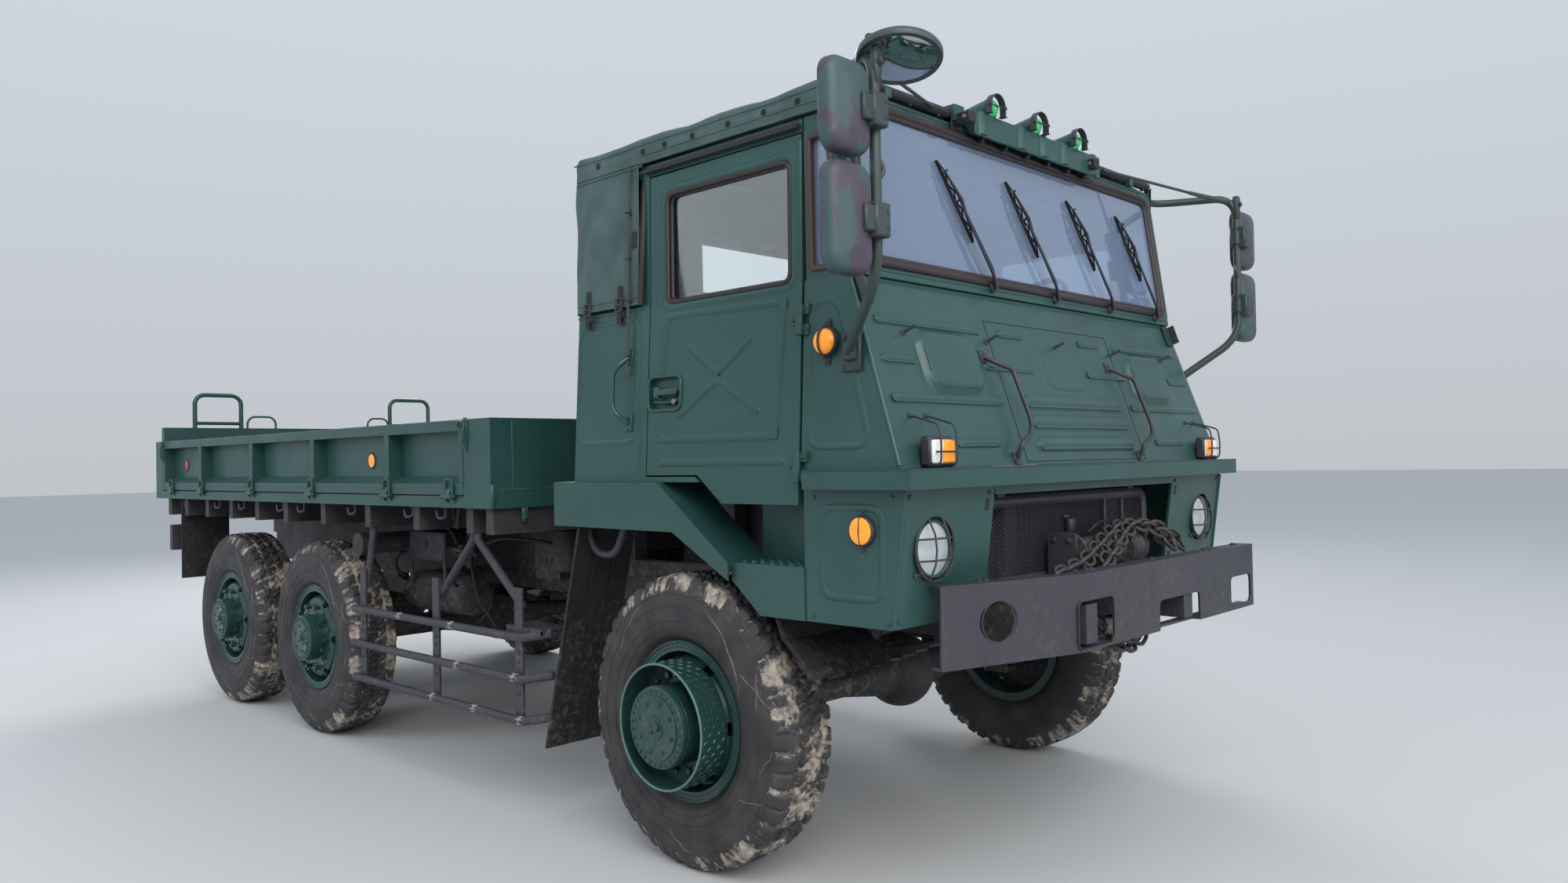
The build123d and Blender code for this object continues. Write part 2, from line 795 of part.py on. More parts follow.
# Lower skirt: corner panels with the headlamp holes
with BuildPart() as lower_skirt:
    for side in (-1, 1):
        with BuildSketch(along(side * skirt_x)):
            with BuildLine():
                Polyline(
                    (skirt_rear_y, ledge_bottom_z - seat_gap),
                    (skirt_top_y, ledge_bottom_z - seat_gap),
                    (skirt_bottom_y, skirt_bottom_z),
                    (skirt_rear_y, skirt_bottom_z),
                    close=True,
                )
            make_face()
        extrude(amount=-side * skirt_plate)
        with BuildSketch(along(side * skirt_x)):
            with BuildLine():
                Polyline(
                    (skirt_top_y, ledge_bottom_z - seat_gap),
                    (skirt_top_y + skirt_plate, ledge_bottom_z - seat_gap),
                    (skirt_bottom_y + skirt_plate, skirt_bottom_z),
                    (skirt_bottom_y, skirt_bottom_z),
                    close=True,
                )
            make_face()
        extrude(amount=-side * (skirt_x - opening_half_width))
        drum(
            (side * headlamp_x, skirt_top_y - 100, headlamp_z),
            (0, 1, 0),
            headlamp_hole,
            200,
            Mode.SUBTRACT,
        )
    slab(
        (-opening_half_width, opening_half_width),
        (skirt_top_y, skirt_top_y + grille_bar),
        (ledge_bottom_z - 32, ledge_bottom_z - seat_gap),
    )
save("lower_skirt", lower_skirt.part)

# Headlamps: round housings set in the skirt, each on a hanger from the cab floor
with BuildPart() as headlamps:
    for side in (-1, 1):
        drum(
            (side * headlamp_x, skirt_bottom_y - 28, headlamp_z),
            (0, 1, 0),
            headlamp_radius,
            96,
        )
        slab(
            (side * headlamp_x - 20, side * headlamp_x + 20),
            (skirt_bottom_y + 60, skirt_bottom_y + 90),
            (headlamp_z, cab_floor_z - cab_floor_plate - seat_gap),
        )
save("headlamps", headlamps.part)

# Radiator grille: a frame with upright and level bars
grille_half = 640
grille_y = front_axle_y - 930
grille_bars = 24
grille_rows = 5
grille_low_z = 1020
grille_top_z = 1352
with BuildPart() as grille:
    slab((-grille_half, grille_half), (grille_y - 12, grille_y + 12), (grille_low_z, grille_top_z))
    slab(
        (-grille_half + 28, grille_half - 28),
        (grille_y - 13, grille_y + 13),
        (grille_low_z + 28, grille_top_z - 28),
        mode=Mode.SUBTRACT,
    )
    for bar in range(1, grille_bars):
        x = -grille_half + 2 * grille_half * bar / grille_bars
        slab((x - 4, x + 4), (grille_y - 6, grille_y + 2), (grille_low_z + 20, grille_top_z - 20))
    for row in range(1, grille_rows):
        z = grille_low_z + (grille_top_z - grille_low_z) * row / grille_rows
        slab((-grille_half + 20, grille_half - 20), (grille_y - 8, grille_y), (z - 4, z + 4))
    for x0, x1 in both(rail_outer_x - rail_width, rail_outer_x):
        slab((x0, x1), (grille_y - 12, grille_y + 12), (rail_top_z + seat_gap, grille_low_z))
save("grille", grille.part)


# Plane of the windscreen and the sizes worked out from its corners
screen_rise = screen_top_z - screen_foot_z
screen_lean = screen_top_y - screen_foot_y
screen_slope = (screen_rise**2 + screen_lean**2) ** 0.5


def screen_outline(grow, foot):
    """Windscreen outline on its leaning plane, grown by a margin and a foot, in the open sketch."""
    with BuildLine() as outline:
        Polyline(
            (-screen_foot_x - grow, -foot),
            (screen_foot_x + grow, -foot),
            (screen_top_x + grow, screen_slope + grow),
            (-screen_top_x - grow, screen_slope + grow),
            close=True,
        )
    make_face(outline.edges())


screen_plane = Plane(
    origin=(0, screen_foot_y, screen_foot_z),
    x_dir=(1, 0, 0),
    z_dir=(0, -screen_rise, screen_lean),
)

# Windscreen frame on the nose, with the quarter frames that close the corners to the doors
quarter_thickness = 34
quarter_side_x = cab_roof_x
quarter_post = 22
quarter_front = 45
quarter_head = 70


def quarter_outline(inset):
    """Corners of the quarter light's opening, drawn in by an inset."""
    rear_y = door_front_y - door_gap - quarter_post - inset
    low_z = cab_belt_z + quarter_head / 2 + inset
    top_z = cab_header_z - quarter_head - inset
    return (
        (rear_y, low_z),
        (screen_foot_y + quarter_front + inset, low_z),
        (screen_top_y + quarter_front - 10 + inset, top_z),
        (rear_y, top_z),
    )


with BuildPart() as windscreen_frame:
    with BuildSketch(screen_plane.offset(-24)):
        screen_outline(frame_margin, screen_foot_z - cab_belt_z - seat_gap)
    extrude(amount=30)
    with BuildSketch(screen_plane.offset(-25)):
        screen_outline(1, 1)
    extrude(amount=60, mode=Mode.SUBTRACT)
    quarter_frame = (
        (door_front_y - door_gap, cab_belt_z + seat_gap),
        (screen_foot_y + 20, cab_belt_z + seat_gap),
        (screen_top_y + 20, cab_header_z),
        (door_front_y - door_gap, cab_header_z),
    )
    for side in (-1, 1):
        plate(along(side * quarter_side_x), quarter_frame, -side * quarter_thickness)
        plate(
            along(side * (quarter_side_x + 1)),
            quarter_outline(0),
            -side * (quarter_thickness + 2),
            Mode.SUBTRACT,
        )
    slab(
        (-cab_sill_x, cab_sill_x),
        (nose_foot_y, door_front_y),
        (cab_belt_z - 100, cab_belt_z + seat_gap),
        mode=Mode.SUBTRACT,
    )
save("windscreen_frame", windscreen_frame.part)

# Fixed glass: windscreen and the quarter lights ahead of the doors
with BuildPart() as cab_glass:
    with BuildSketch(screen_plane.offset(-8)):
        screen_outline(0, 0)
    extrude(amount=glass_thickness)
    for side in (-1, 1):
        plate(along(side * (quarter_side_x - 14)), quarter_outline(seat_gap), -side * glass_thickness)
save("cab_glass", cab_glass.part)

# Canvas roof: crowned sheet over the cab, closed at the rear and down the quarters
with BuildPart() as canvas_roof:
    for out, rear_y, low_z, mode in (
        (roof_gap + roof_sheet, roof_rear_y, roof_skirt_z, Mode.ADD),
        (roof_gap, roof_rear_y - roof_sheet, roof_skirt_z - 1, Mode.SUBTRACT),
    ):
        drop = roof_gap + roof_sheet - out
        with BuildSketch(across(rear_y)):
            with BuildLine():
                Polyline(
                    (-cab_roof_x - out, roof_shoulder_z - drop),
                    (-cab_roof_x - out, cab_header_z),
                    (-cab_belt_x - out, low_z),
                    (cab_belt_x + out, low_z),
                    (cab_roof_x + out, cab_header_z),
                    (cab_roof_x + out, roof_shoulder_z - drop),
                )
                ThreePointArc(
                    (cab_roof_x + out, roof_shoulder_z - drop),
                    (0, roof_crown_z - drop),
                    (-cab_roof_x - out, roof_shoulder_z - drop),
                )
            make_face()
        extrude(amount=rear_y - roof_front_y, mode=mode)
    slab(
        (-cab_sill_x, cab_sill_x),
        (roof_front_y - 1, roof_skirt_y),
        (roof_skirt_z - 1, roof_edge_z),
        mode=Mode.SUBTRACT,
    )
    slab(
        (-cab_roof_x, cab_roof_x),
        (roof_front_y - 1, roof_front_y + roof_sheet + 1),
        (roof_edge_z - 1, roof_edge_z + 60),
        mode=Mode.SUBTRACT,
    )
    slab((-460, 460), (roof_rear_y - roof_sheet - 1, roof_rear_y + 1), (2230, 2500), mode=Mode.SUBTRACT)
save("canvas_roof", canvas_roof.part)

# Roof light bar on its brackets, with the front rail of the canvas
roof_rail_radius = 17
roof_rail_half = 1105
roof_rail_y = front_axle_y - 752
roof_rail_z = 2757
light_bar_low_x = -430
light_bar_high_x = 520
light_bar_height = 86
light_bar_plate = 8
light_bar_top_z = roof_rail_z + 19
light_bar_flange = 42
frame_top_z = screen_top_z + (frame_margin * screen_rise + 6 * screen_lean) / screen_slope
with BuildPart() as roof_light_bar:
    rod(
        ((-roof_rail_half, roof_rail_y, roof_rail_z), (roof_rail_half, roof_rail_y, roof_rail_z)),
        roof_rail_radius,
    )
    bar_front_y = roof_rail_y - 62
    folded = (
        (bar_front_y, light_bar_top_z - light_bar_height),
        (bar_front_y + light_bar_plate, light_bar_top_z - light_bar_height),
        (bar_front_y + light_bar_plate, light_bar_top_z - light_bar_plate),
        (roof_rail_y + light_bar_flange, light_bar_top_z - light_bar_plate),
        (roof_rail_y + light_bar_flange, light_bar_top_z),
        (bar_front_y, light_bar_top_z),
    )
    plate(along(light_bar_low_x), folded, light_bar_high_x - light_bar_low_x)
    for x in (-380, -105, 60, 225, 470):
        slab(
            (x - 14, x + 14),
            (bar_front_y - 5, bar_front_y),
            (light_bar_top_z - light_bar_height, light_bar_top_z),
        )
    for x in (-900, -490, 445, 900):
        slab(
            (x - 16, x + 16),
            (roof_rail_y - 26, roof_rail_y + 10),
            (frame_top_z + seat_gap, roof_rail_z),
        )
    for x in (-490, 445):
        slab(
            (x - 30, x + 30),
            (roof_rail_y - 34, roof_rail_y + 26),
            (roof_rail_z - 30, roof_rail_z + 30),
        )
save("roof_light_bar", roof_light_bar.part)

# Clearance lamps: three on the roof, a square pair on the ledge, round ones at the sides
square_lamp_x = 1026
square_lamp_half = 62
square_lamp_low_z = nose_foot_z + seat_gap
square_lamp_top_z = 1562
square_lamp_front_y = front_axle_y - 1066
side_lamp_y = front_axle_y - 722
side_lamp_z = 1876
side_lamp_radius = 42
reflector_y = front_axle_y - 868
reflector_z = 1268
reflector_radius = 46
with BuildPart() as marker_lamps:
    for index in (-1, 0, 1):
        x = index * green_lamp_pitch
        lamp_z = light_bar_top_z + green_lamp_radius + 10
        drum((x, roof_rail_y + 32, lamp_z), (0, -1, 0), green_lamp_radius, 78)
        slab(
            (x - 16, x + 16),
            (roof_rail_y - 30, roof_rail_y + 10),
            (light_bar_top_z + seat_gap, lamp_z),
        )
    for side in (-1, 1):
        lens = (
            (square_lamp_front_y, square_lamp_low_z),
            (square_lamp_front_y, square_lamp_top_z),
            (nose_foot_y + (square_lamp_top_z - nose_foot_z) * nose_lean - seat_gap, square_lamp_top_z),
            (nose_foot_y + (square_lamp_low_z - nose_foot_z) * nose_lean - seat_gap, square_lamp_low_z),
        )
        plate(along(side * square_lamp_x - square_lamp_half), lens, 2 * square_lamp_half)
        skin_x = cab_sill_x - (side_lamp_z - cab_sill_z) * hinge_lean
        drum(
            (side * (skin_x + seat_gap), side_lamp_y, side_lamp_z),
            (side, 0, hinge_lean),
            side_lamp_radius,
            42,
        )
        drum(
            (side * (skirt_x + seat_gap), reflector_y, reflector_z),
            (side, 0, 0),
            reflector_radius,
            10,
        )
save("marker_lamps", marker_lamps.part)

# Tail lamps hung below the last cross-sill, each with a row of round lenses
tail_lamp_y = front_axle_y + cross_sill_stations[-1]
tail_lamp_low_z = 930
tail_lamp_top_z = 1110
tail_lamp_inner_x = 930
tail_lamp_outer_x = 1200
with BuildPart() as tail_lamps:
    for x0, x1 in both(tail_lamp_inner_x, tail_lamp_outer_x):
        slab((x0, x1), (tail_lamp_y - 25, tail_lamp_y + 25), (tail_lamp_low_z, tail_lamp_top_z))
        slab(
            (x0 + 90, x1 - 90),
            (tail_lamp_y - 12, tail_lamp_y + 12),
            (tail_lamp_top_z, bed_base_z - cross_sill_height - seat_gap),
        )
        for lens in (-70, 70):
            drum(
                ((x0 + x1) / 2 + lens, tail_lamp_y + 25, (tail_lamp_low_z + tail_lamp_top_z) / 2),
                (0, 1, 0),
                46,
                14,
            )
save("tail_lamps", tail_lamps.part)

# Wipers: four arms across the foot of the windscreen, their pivots on its lower frame
wiper_pivots = (-356, 102, 569, 1005)
wiper_stand = 24
wiper_arm_reach = 170
wiper_blade_length = 340
wiper_sweep = 80
wiper_face = 6 + seat_gap
with BuildPart() as wipers:
    for x in wiper_pivots:
        with Locations(screen_plane.offset(wiper_face)):
            with Locations((x, -frame_margin / 2, 0)):
                Cylinder(13, wiper_stand, align=(Align.CENTER, Align.CENTER, Align.MIN))
        pivot, elbow, low, high = [
            tuple(screen_plane.from_local_coords(Vector(*point)))
            for point in (
                (x, -frame_margin / 2, wiper_face + wiper_stand - 6),
                (x - wiper_sweep, wiper_arm_reach, wiper_face + wiper_stand - 6),
                (x - wiper_sweep + 4, wiper_arm_reach - wiper_blade_length / 3, wiper_face + 12),
                (x - wiper_sweep - 28, wiper_arm_reach + wiper_blade_length * 2 / 3, wiper_face + 12),
            )
        ]
        rod((pivot, elbow), 6)
        rod((low, high), 9)
save("wipers", wipers.part)

# Mirrors on outrigger poles at both front corners, two housings each and a round one on the right
mirror_pole_x = 1352
mirror_pole_y = front_axle_y - 1075
mirror_foot_z = 1834
mirror_arm_z = 2690
mirror_low_z = 2030
mirror_depth = 62
mirror_width = 190
mirror_spans = ((2365, 2640), (2020, 2345))
mirror_tube_radius = 17
convex_centre = (-1250, front_axle_y - 1160, 2690)
convex_facing = (0.3, 0.95, -0.1)
convex_radius = 128
convex_depth = 26
convex_arm_end = (-1290, front_axle_y - 1120, 2700)
frame_side_drop = screen_top_z + frame_margin - mirror_arm_z + mirror_tube_radius
frame_side_lean = (screen_foot_x - screen_top_x) / screen_rise
frame_side_x = screen_top_x + frame_margin + frame_side_drop * frame_side_lean
with BuildPart() as mirrors:
    for side in (-1, 1):
        pole_x = side * mirror_pole_x
        foot_skin = cab_sill_x - (mirror_foot_z - cab_sill_z) * hinge_lean
        foot_y = door_front_y - 224
        rod(
            (
                (side * (foot_skin + 30), foot_y, mirror_foot_z),
                (pole_x, mirror_pole_y, mirror_low_z),
                (pole_x, mirror_pole_y, mirror_arm_z),
                (side * (frame_side_x + 80), roof_rail_y, mirror_arm_z),
                (side * (frame_side_x + seat_gap), roof_rail_y, mirror_arm_z),
            ),
            mirror_tube_radius,
        )
        foot = Plane(
            origin=(side * (foot_skin + seat_gap), foot_y, mirror_foot_z),
            x_dir=(0, 1, 0),
            z_dir=(side, 0, hinge_lean),
        )
        with BuildSketch(foot) as pad:
            RectangleRounded(70, 120, 12)
        extrude(pad.sketch, amount=30)
        for z0, z1 in mirror_spans:
            x0, x1 = sorted((side * (mirror_reach - mirror_width), side * mirror_reach))
            with BuildSketch(across(mirror_pole_y + mirror_depth - 20)) as housing:
                with Locations(((x0 + x1) / 2, (z0 + z1) / 2)):
                    RectangleRounded(x1 - x0, z1 - z0, 28)
            extrude(housing.sketch, amount=mirror_depth)
            slab(
                sorted((pole_x, side * (mirror_reach - mirror_width + 20))),
                (mirror_pole_y - 12, mirror_pole_y + 12),
                ((z0 + z1) / 2 - 15, (z0 + z1) / 2 + 15),
            )
        drum((pole_x, mirror_pole_y, 2150), (0, 0, 1), 26, 60)
        drum((pole_x, mirror_pole_y, 2470), (0, 0, 1), 26, 60)
    drum(convex_centre, convex_facing, convex_radius, convex_depth)
    rod(((-mirror_pole_x, mirror_pole_y, mirror_arm_z - 10), convex_arm_end), 12)
save("mirrors", mirrors.part)


def door_profile(grow, low_z, high_z):
    """Side outline of a door with its cut-off lower rear corner, in the open sketch."""
    with BuildLine() as outline:
        Polyline(
            (door_front_y + door_gap - grow, low_z),
            (door_low_y, low_z),
            (door_step_y, cab_sill_z + door_gap),
            (door_rear_y - door_gap + grow, cab_sill_z + door_gap),
            (door_rear_y - door_gap + grow, high_z),
            (door_front_y + door_gap - grow, high_z),
            close=True,
        )
    make_face(outline.edges())


# Doors with their window openings, pressed beads and hinge knuckles, and the glass that rides in them
window_front_y = front_axle_y - 545
window_rear_y = front_axle_y + 92
window_low_z = 2096
window_top_z = 2508
window_corner = 40
door_thickness = cab_wall - 4
door_top_z = cab_header_z - post_width - door_gap
bead_rise = 5
bead_width = 22
door_beads = (
    # each end's distance behind the front axle and height
    ((89, 2046), (-524, 2032)),
    ((128, 1580), (-490, 1577)),
    ((-524, 2032), (-490, 1577)),
    ((-41, 1919), (-195, 1812)),
    ((-195, 1812), (-358, 1920)),
    ((11, 1667), (-201, 1790)),
    ((-201, 1790), (-400, 1669)),
    ((100, 1494), (-518, 1492)),
)
handle_offset = 95
handle_z = 1754
handle_box = (184, 124, 30)
handle_depth = 20
handle_bar = (120, 26, 10)
door_table = (
    # side, door, its glass
    (-1, "door_right", "door_glass_right"),
    (1, "door_left", "door_glass_left"),
)
for side, name, glass_name in door_table:
    skin = Plane(
        origin=(side * cab_sill_x, front_axle_y, cab_sill_z),
        x_dir=(0, side, 0),
        z_dir=(side, 0, hinge_lean),
    )
    skin_scale = (1 + hinge_lean**2) ** 0.5
    with BuildPart() as door:
        with BuildSketch(across(door_rear_y)):
            cab_section(0, door_low_z, door_top_z)
        extrude(amount=door_rear_y - door_front_y)
        with BuildSketch(across(door_rear_y + 1)):
            cab_section(door_thickness, door_low_z - 1, door_top_z + 1)
        extrude(amount=door_rear_y - door_front_y + 2, mode=Mode.SUBTRACT)
        with BuildSketch(along(side * (cab_belt_x - 160))):
            door_profile(0, door_low_z, door_top_z)
        extrude(amount=side * 260, mode=Mode.INTERSECT)
        with BuildSketch(along(side * (cab_belt_x - 160))):
            with Locations(((window_front_y + window_rear_y) / 2, (window_low_z + window_top_z) / 2)):
                RectangleRounded(
                    window_rear_y - window_front_y,
                    window_top_z - window_low_z,
                    window_corner,
                )
        extrude(amount=side * 260, mode=Mode.SUBTRACT)
        for (y0, z0), (y1, z1) in door_beads:
            rise = (z1 - z0) * skin_scale
            run = side * (y1 - y0)
            centre = (side * (y0 + y1) / 2, ((z0 + z1) / 2 - cab_sill_z) * skin_scale)
            with BuildSketch(skin) as bead:
                with Locations(centre):
                    SlotCenterToCenter(
                        (run**2 + rise**2) ** 0.5,
                        bead_width,
                        rotation=degrees(atan2(rise, run)),
                    )
            extrude(bead.sketch, amount=bead_rise)
        handle_centre = (side * handle_offset, (handle_z - cab_sill_z) * skin_scale)
        with BuildSketch(skin) as pocket:
            with Locations(handle_centre):
                RectangleRounded(*handle_box)
        extrude(pocket.sketch, amount=bead_rise + 1, mode=Mode.SUBTRACT)
        extrude(pocket.sketch, amount=-handle_depth, mode=Mode.SUBTRACT)
        with BuildSketch(skin.offset(-handle_depth)) as bar:
            with Locations(handle_centre):
                RectangleRounded(*handle_bar)
        extrude(bar.sketch, amount=handle_depth - 6)
        hinge_parts(side, 1, ((-hinge_knuckle / 2, hinge_knuckle / 2),))
    save(name, door.part)
    with BuildPart() as door_glass:
        slab(
            sorted(
                (
                    side * (cab_belt_x - door_glass_inset),
                    side * (cab_belt_x - door_glass_inset + glass_thickness),
                )
            ),
            (window_front_y + seat_gap, window_rear_y - seat_gap),
            (window_low_z + seat_gap, window_top_z - seat_gap),
        )
        fillet(door_glass.edges().filter_by(Axis.X), window_corner - seat_gap)
    save(glass_name, door_glass.part)

# Cab interior: two seats, the dash on its legs and the steering column with its wheel
seat_x = 560
seat_half = 240
seat_base_half = 150
seat_front_y = front_axle_y - 60
seat_back_y = front_axle_y + 420
seat_back_depth = 120
seat_base_z = 1560
seat_top_z = 1700
seat_back_z = 2240
dash_half = 1050
dash_leg_x = 900
dash_front_y = front_axle_y - 760
dash_rear_y = front_axle_y - 640
dash_low_z = 1860
dash_top_z = 2040
column_radius = 24
wheel_y = front_axle_y - 420
wheel_z = 2110
wheel_radius = 225
wheel_rim = 13
wheel_tilt = (0, 230, 210)
with BuildPart() as cab_interior:
    for x in (-seat_x, seat_x):
        slab(
            (x - seat_half, x + seat_half),
            (seat_front_y, seat_back_y - seat_gap),
            (seat_base_z + seat_gap, seat_top_z),
        )
        slab(
            (x - seat_base_half, x + seat_base_half),
            (seat_front_y + 80, seat_back_y - 80),
            (cab_floor_z + 2 * seat_gap, seat_base_z),
        )
        slab(
            (x - seat_half, x + seat_half),
            (seat_back_y, seat_back_y + seat_back_depth),
            (seat_top_z - 80, seat_back_z),
        )
    slab((-dash_half, dash_half), (dash_front_y, dash_rear_y), (dash_low_z, dash_top_z))
    for x in (-dash_leg_x, dash_leg_x):
        slab(
            (x - 30, x + 30),
            (dash_front_y + 20, dash_rear_y - 20),
            (cab_floor_z + 2 * seat_gap, dash_low_z - seat_gap),
        )
    rod(((seat_x, dash_rear_y - 10, dash_low_z + 40), (seat_x, wheel_y, wheel_z)), column_radius)
    with Locations(Plane(origin=(seat_x, wheel_y, wheel_z), z_dir=wheel_tilt)):
        Torus(wheel_radius, wheel_rim)
        Box(2 * wheel_radius - wheel_rim, 30, 16)
save("cab_interior", cab_interior.part)

# Fenders with their side flange, and the steps in front of them
fender_flat_y = front_axle_y + 100
fender_low_y = front_axle_y - 276
step_front_y = skirt_rear_y
with BuildPart() as fenders:
    for side in (-1, 1):
        with BuildSketch(along(side * fender_x)):
            with BuildLine():
                Polyline(
                    (fender_rear_y, fender_rim_z),
                    (fender_rear_y, fender_top_z),
                    (fender_flat_y, fender_top_z),
                    (fender_low_y, step_top_z),
                    (fender_low_y, 1076),
                    (front_axle_y + 20, fender_rim_z - 4),
                    close=True,
                )
            make_face()
        extrude(amount=-side * fender_plate)
        with BuildSketch(along(side * fender_x)):
            with BuildLine():
                Polyline(
                    (fender_rear_y, fender_top_z - fender_plate),
                    (fender_rear_y, fender_top_z),
                    (fender_flat_y, fender_top_z),
                    (fender_low_y, step_top_z),
                    (fender_low_y, step_top_z - fender_plate - 4),
                    (fender_flat_y - 4, fender_top_z - fender_plate),
                    close=True,
                )
            make_face()
        extrude(amount=-side * (fender_x - fender_inner_x))
        with BuildSketch(along(side * (skirt_x + 6))):
            with BuildLine():
                Polyline(
                    (fender_low_y, step_top_z),
                    (step_front_y, step_top_z),
                    (step_front_y, step_bottom_z),
                    (front_axle_y - 412, step_bottom_z),
                    (fender_low_y, 1076),
                    close=True,
                )
            make_face()
        extrude(amount=-side * fender_plate)
        slab(
            sorted((side * (skirt_x + 6), side * fender_inner_x)),
            (step_front_y, fender_low_y),
            (step_top_z - fender_plate, step_top_z),
        )
        slab(
            sorted((side * (fender_inner_x - 8), side * fender_inner_x)),
            (step_front_y, fender_low_y + 30),
            (step_top_z - fender_plate, cab_floor_z - cab_floor_plate - seat_gap),
        )
save("fenders", fenders.part)

# Mudflaps: ahead of and behind the front wheels, and behind the rear ones
flap_thickness = 8
flap_outer_x = 1200
flap_inner_x = 905
flap_top_y = front_axle_y + 578
flap_low_y = front_axle_y + 878
flap_low_z = 295
flap_slope = (flap_low_y - flap_top_y) / (fender_top_z - fender_plate - flap_low_z)
front_flap = (
    # station and height down the flap ahead of the front wheels
    (front_axle_y - 466, step_top_z - fender_plate - seat_gap),
    (front_axle_y - 466, 954),
    (front_axle_y - 494, 889),
    (front_axle_y - 552, 842),
    (front_axle_y - 616, 765),
)
front_flap_outer_x = 1180
front_flap_width = 420
rear_flap_y = front_axle_y + 5290
rear_flap_low_z = 745
with BuildPart() as mudflaps:
    for side in (-1, 1):
        top_z = fender_top_z - fender_plate - seat_gap
        shoulder_z = cab_floor_z - cab_floor_plate - 10
        shoulder_y = flap_top_y + (top_z - shoulder_z) * flap_slope
        for low, high, inner in (
            ((flap_low_y, flap_low_z), (shoulder_y, shoulder_z), flap_inner_x),
            ((shoulder_y, shoulder_z), (flap_top_y, top_z), fender_inner_x + 8),
        ):
            outline = (
                low,
                high,
                (high[0] + flap_thickness, high[1]),
                (low[0] + flap_thickness, low[1]),
            )
            plate(along(side * flap_outer_x), outline, -side * (flap_outer_x - inner))
        outline = front_flap + tuple((y - flap_thickness, z) for y, z in reversed(front_flap))
        plate(along(side * front_flap_outer_x), outline, -side * front_flap_width)
        slab(
            sorted((side * 900, side * (bed_half - 20))),
            (rear_flap_y, rear_flap_y + flap_thickness),
            (rear_flap_low_z, bed_base_z - seat_gap),
        )
save("mudflaps", mudflaps.part)

# Air tank with the valve plate over it on the right, fuel tank on the left
air_tank_y = front_axle_y + 2180
air_tank_x = -760
air_tank_z = 800
air_tank_radius = 105
air_tank_length = 570
with BuildPart() as tanks:
    drum((air_tank_x, air_tank_y, air_tank_z), (0, 1, 0), air_tank_radius, air_tank_length)
    for strap in (120, 460):
        slab(
            (air_tank_x, -rail_outer_x - seat_gap),
            (air_tank_y + strap - 20, air_tank_y + strap + 20),
            (air_tank_z + 80, air_tank_z + 112),
        )
    plate_x = air_tank_x - air_tank_radius
    slab(
        (plate_x - 4, plate_x + 4),
        (air_tank_y + 110, air_tank_y + 500),
        (air_tank_z + 185, air_tank_z + 335),
    )
    for leg in (110, 475):
        slab(
            (plate_x - 4, plate_x + 4),
            (air_tank_y + leg, air_tank_y + leg + 25),
            (air_tank_z, air_tank_z + 190),
        )
    with BuildSketch(Plane.XZ.offset(-(front_axle_y + 2350))) as fuel:
        with Locations((740, 850)):
            RectangleRounded(480, 420, 90)
    extrude(fuel.sketch, amount=1050)
    for offset in (1500, 2150):
        y = front_axle_y + offset
        slab((rail_outer_x + seat_gap, 520), (y - 25, y + 25), (850, 900))
save("tanks", tanks.part)

# Exhaust: a tail pipe out to the right behind the tank, on its bracket
exhaust_y = front_axle_y + 2790
exhaust_z = 1075
exhaust_radius = 58
exhaust_end_x = -1110
with BuildPart() as exhaust:
    drum(
        (exhaust_end_x, exhaust_y, exhaust_z),
        (1, 0, 0),
        exhaust_radius,
        -exhaust_end_x - rail_outer_x - 2,
    )
    slab(
        (-rail_outer_x - 40, -rail_outer_x - seat_gap),
        (exhaust_y - 25, exhaust_y + 25),
        (rail_top_z - 70, exhaust_z - 30),
    )
    drum((exhaust_end_x - 6, exhaust_y, exhaust_z), (1, 0, 0), exhaust_radius + 6, 30)
save("exhaust", exhaust.part)

# Side guards: three tubes on flat posts on each side, hung on paired tubes from the cross-sills
guard_x = 1222
guard_radius = 19
guard_levels = (750, 570, 392)
guard_front_y = front_axle_y + 890
guard_bend_y = front_axle_y + 1020
guard_rear_y = mid_axle_y - tyre_radius - 16
post_plate = 10
post_width_y = 60
hanger_radius = 18
hanger_stub = 30
post_top_z = 960
guard_hangers = (
    # top and post stations behind the front axle
    (1440, 1075),
    (1480, 1790),
    (2480, 2550),
)
with BuildPart() as side_guards:
    for side in (-1, 1):
        for z in guard_levels:
            bent_rod(
                (
                    (side * guard_x, guard_rear_y, z),
                    (side * guard_x, guard_bend_y, z),
                    (side * (guard_x - 70), guard_front_y, z + 25),
                ),
                guard_radius,
                60,
            )
        post_outer = guard_x - guard_radius - seat_gap
        hanger_x = side * (post_outer - post_plate - hanger_radius - seat_gap)
        sill_z = bed_base_z - cross_sill_height - seat_gap
        for top, post in guard_hangers:
            post_y = front_axle_y + post
            slab(
                sorted((side * (post_outer - post_plate), side * post_outer)),
                (post_y - post_width_y / 2, post_y + post_width_y / 2),
                (guard_levels[-1] - guard_radius, post_top_z),
            )
            rod(
                (
                    (hanger_x, front_axle_y + top, sill_z),
                    (hanger_x, front_axle_y + top, sill_z - hanger_stub),
                    (hanger_x, post_y, post_top_z - 90),
                ),
                hanger_radius,
            )
save("side_guards", side_guards.part)

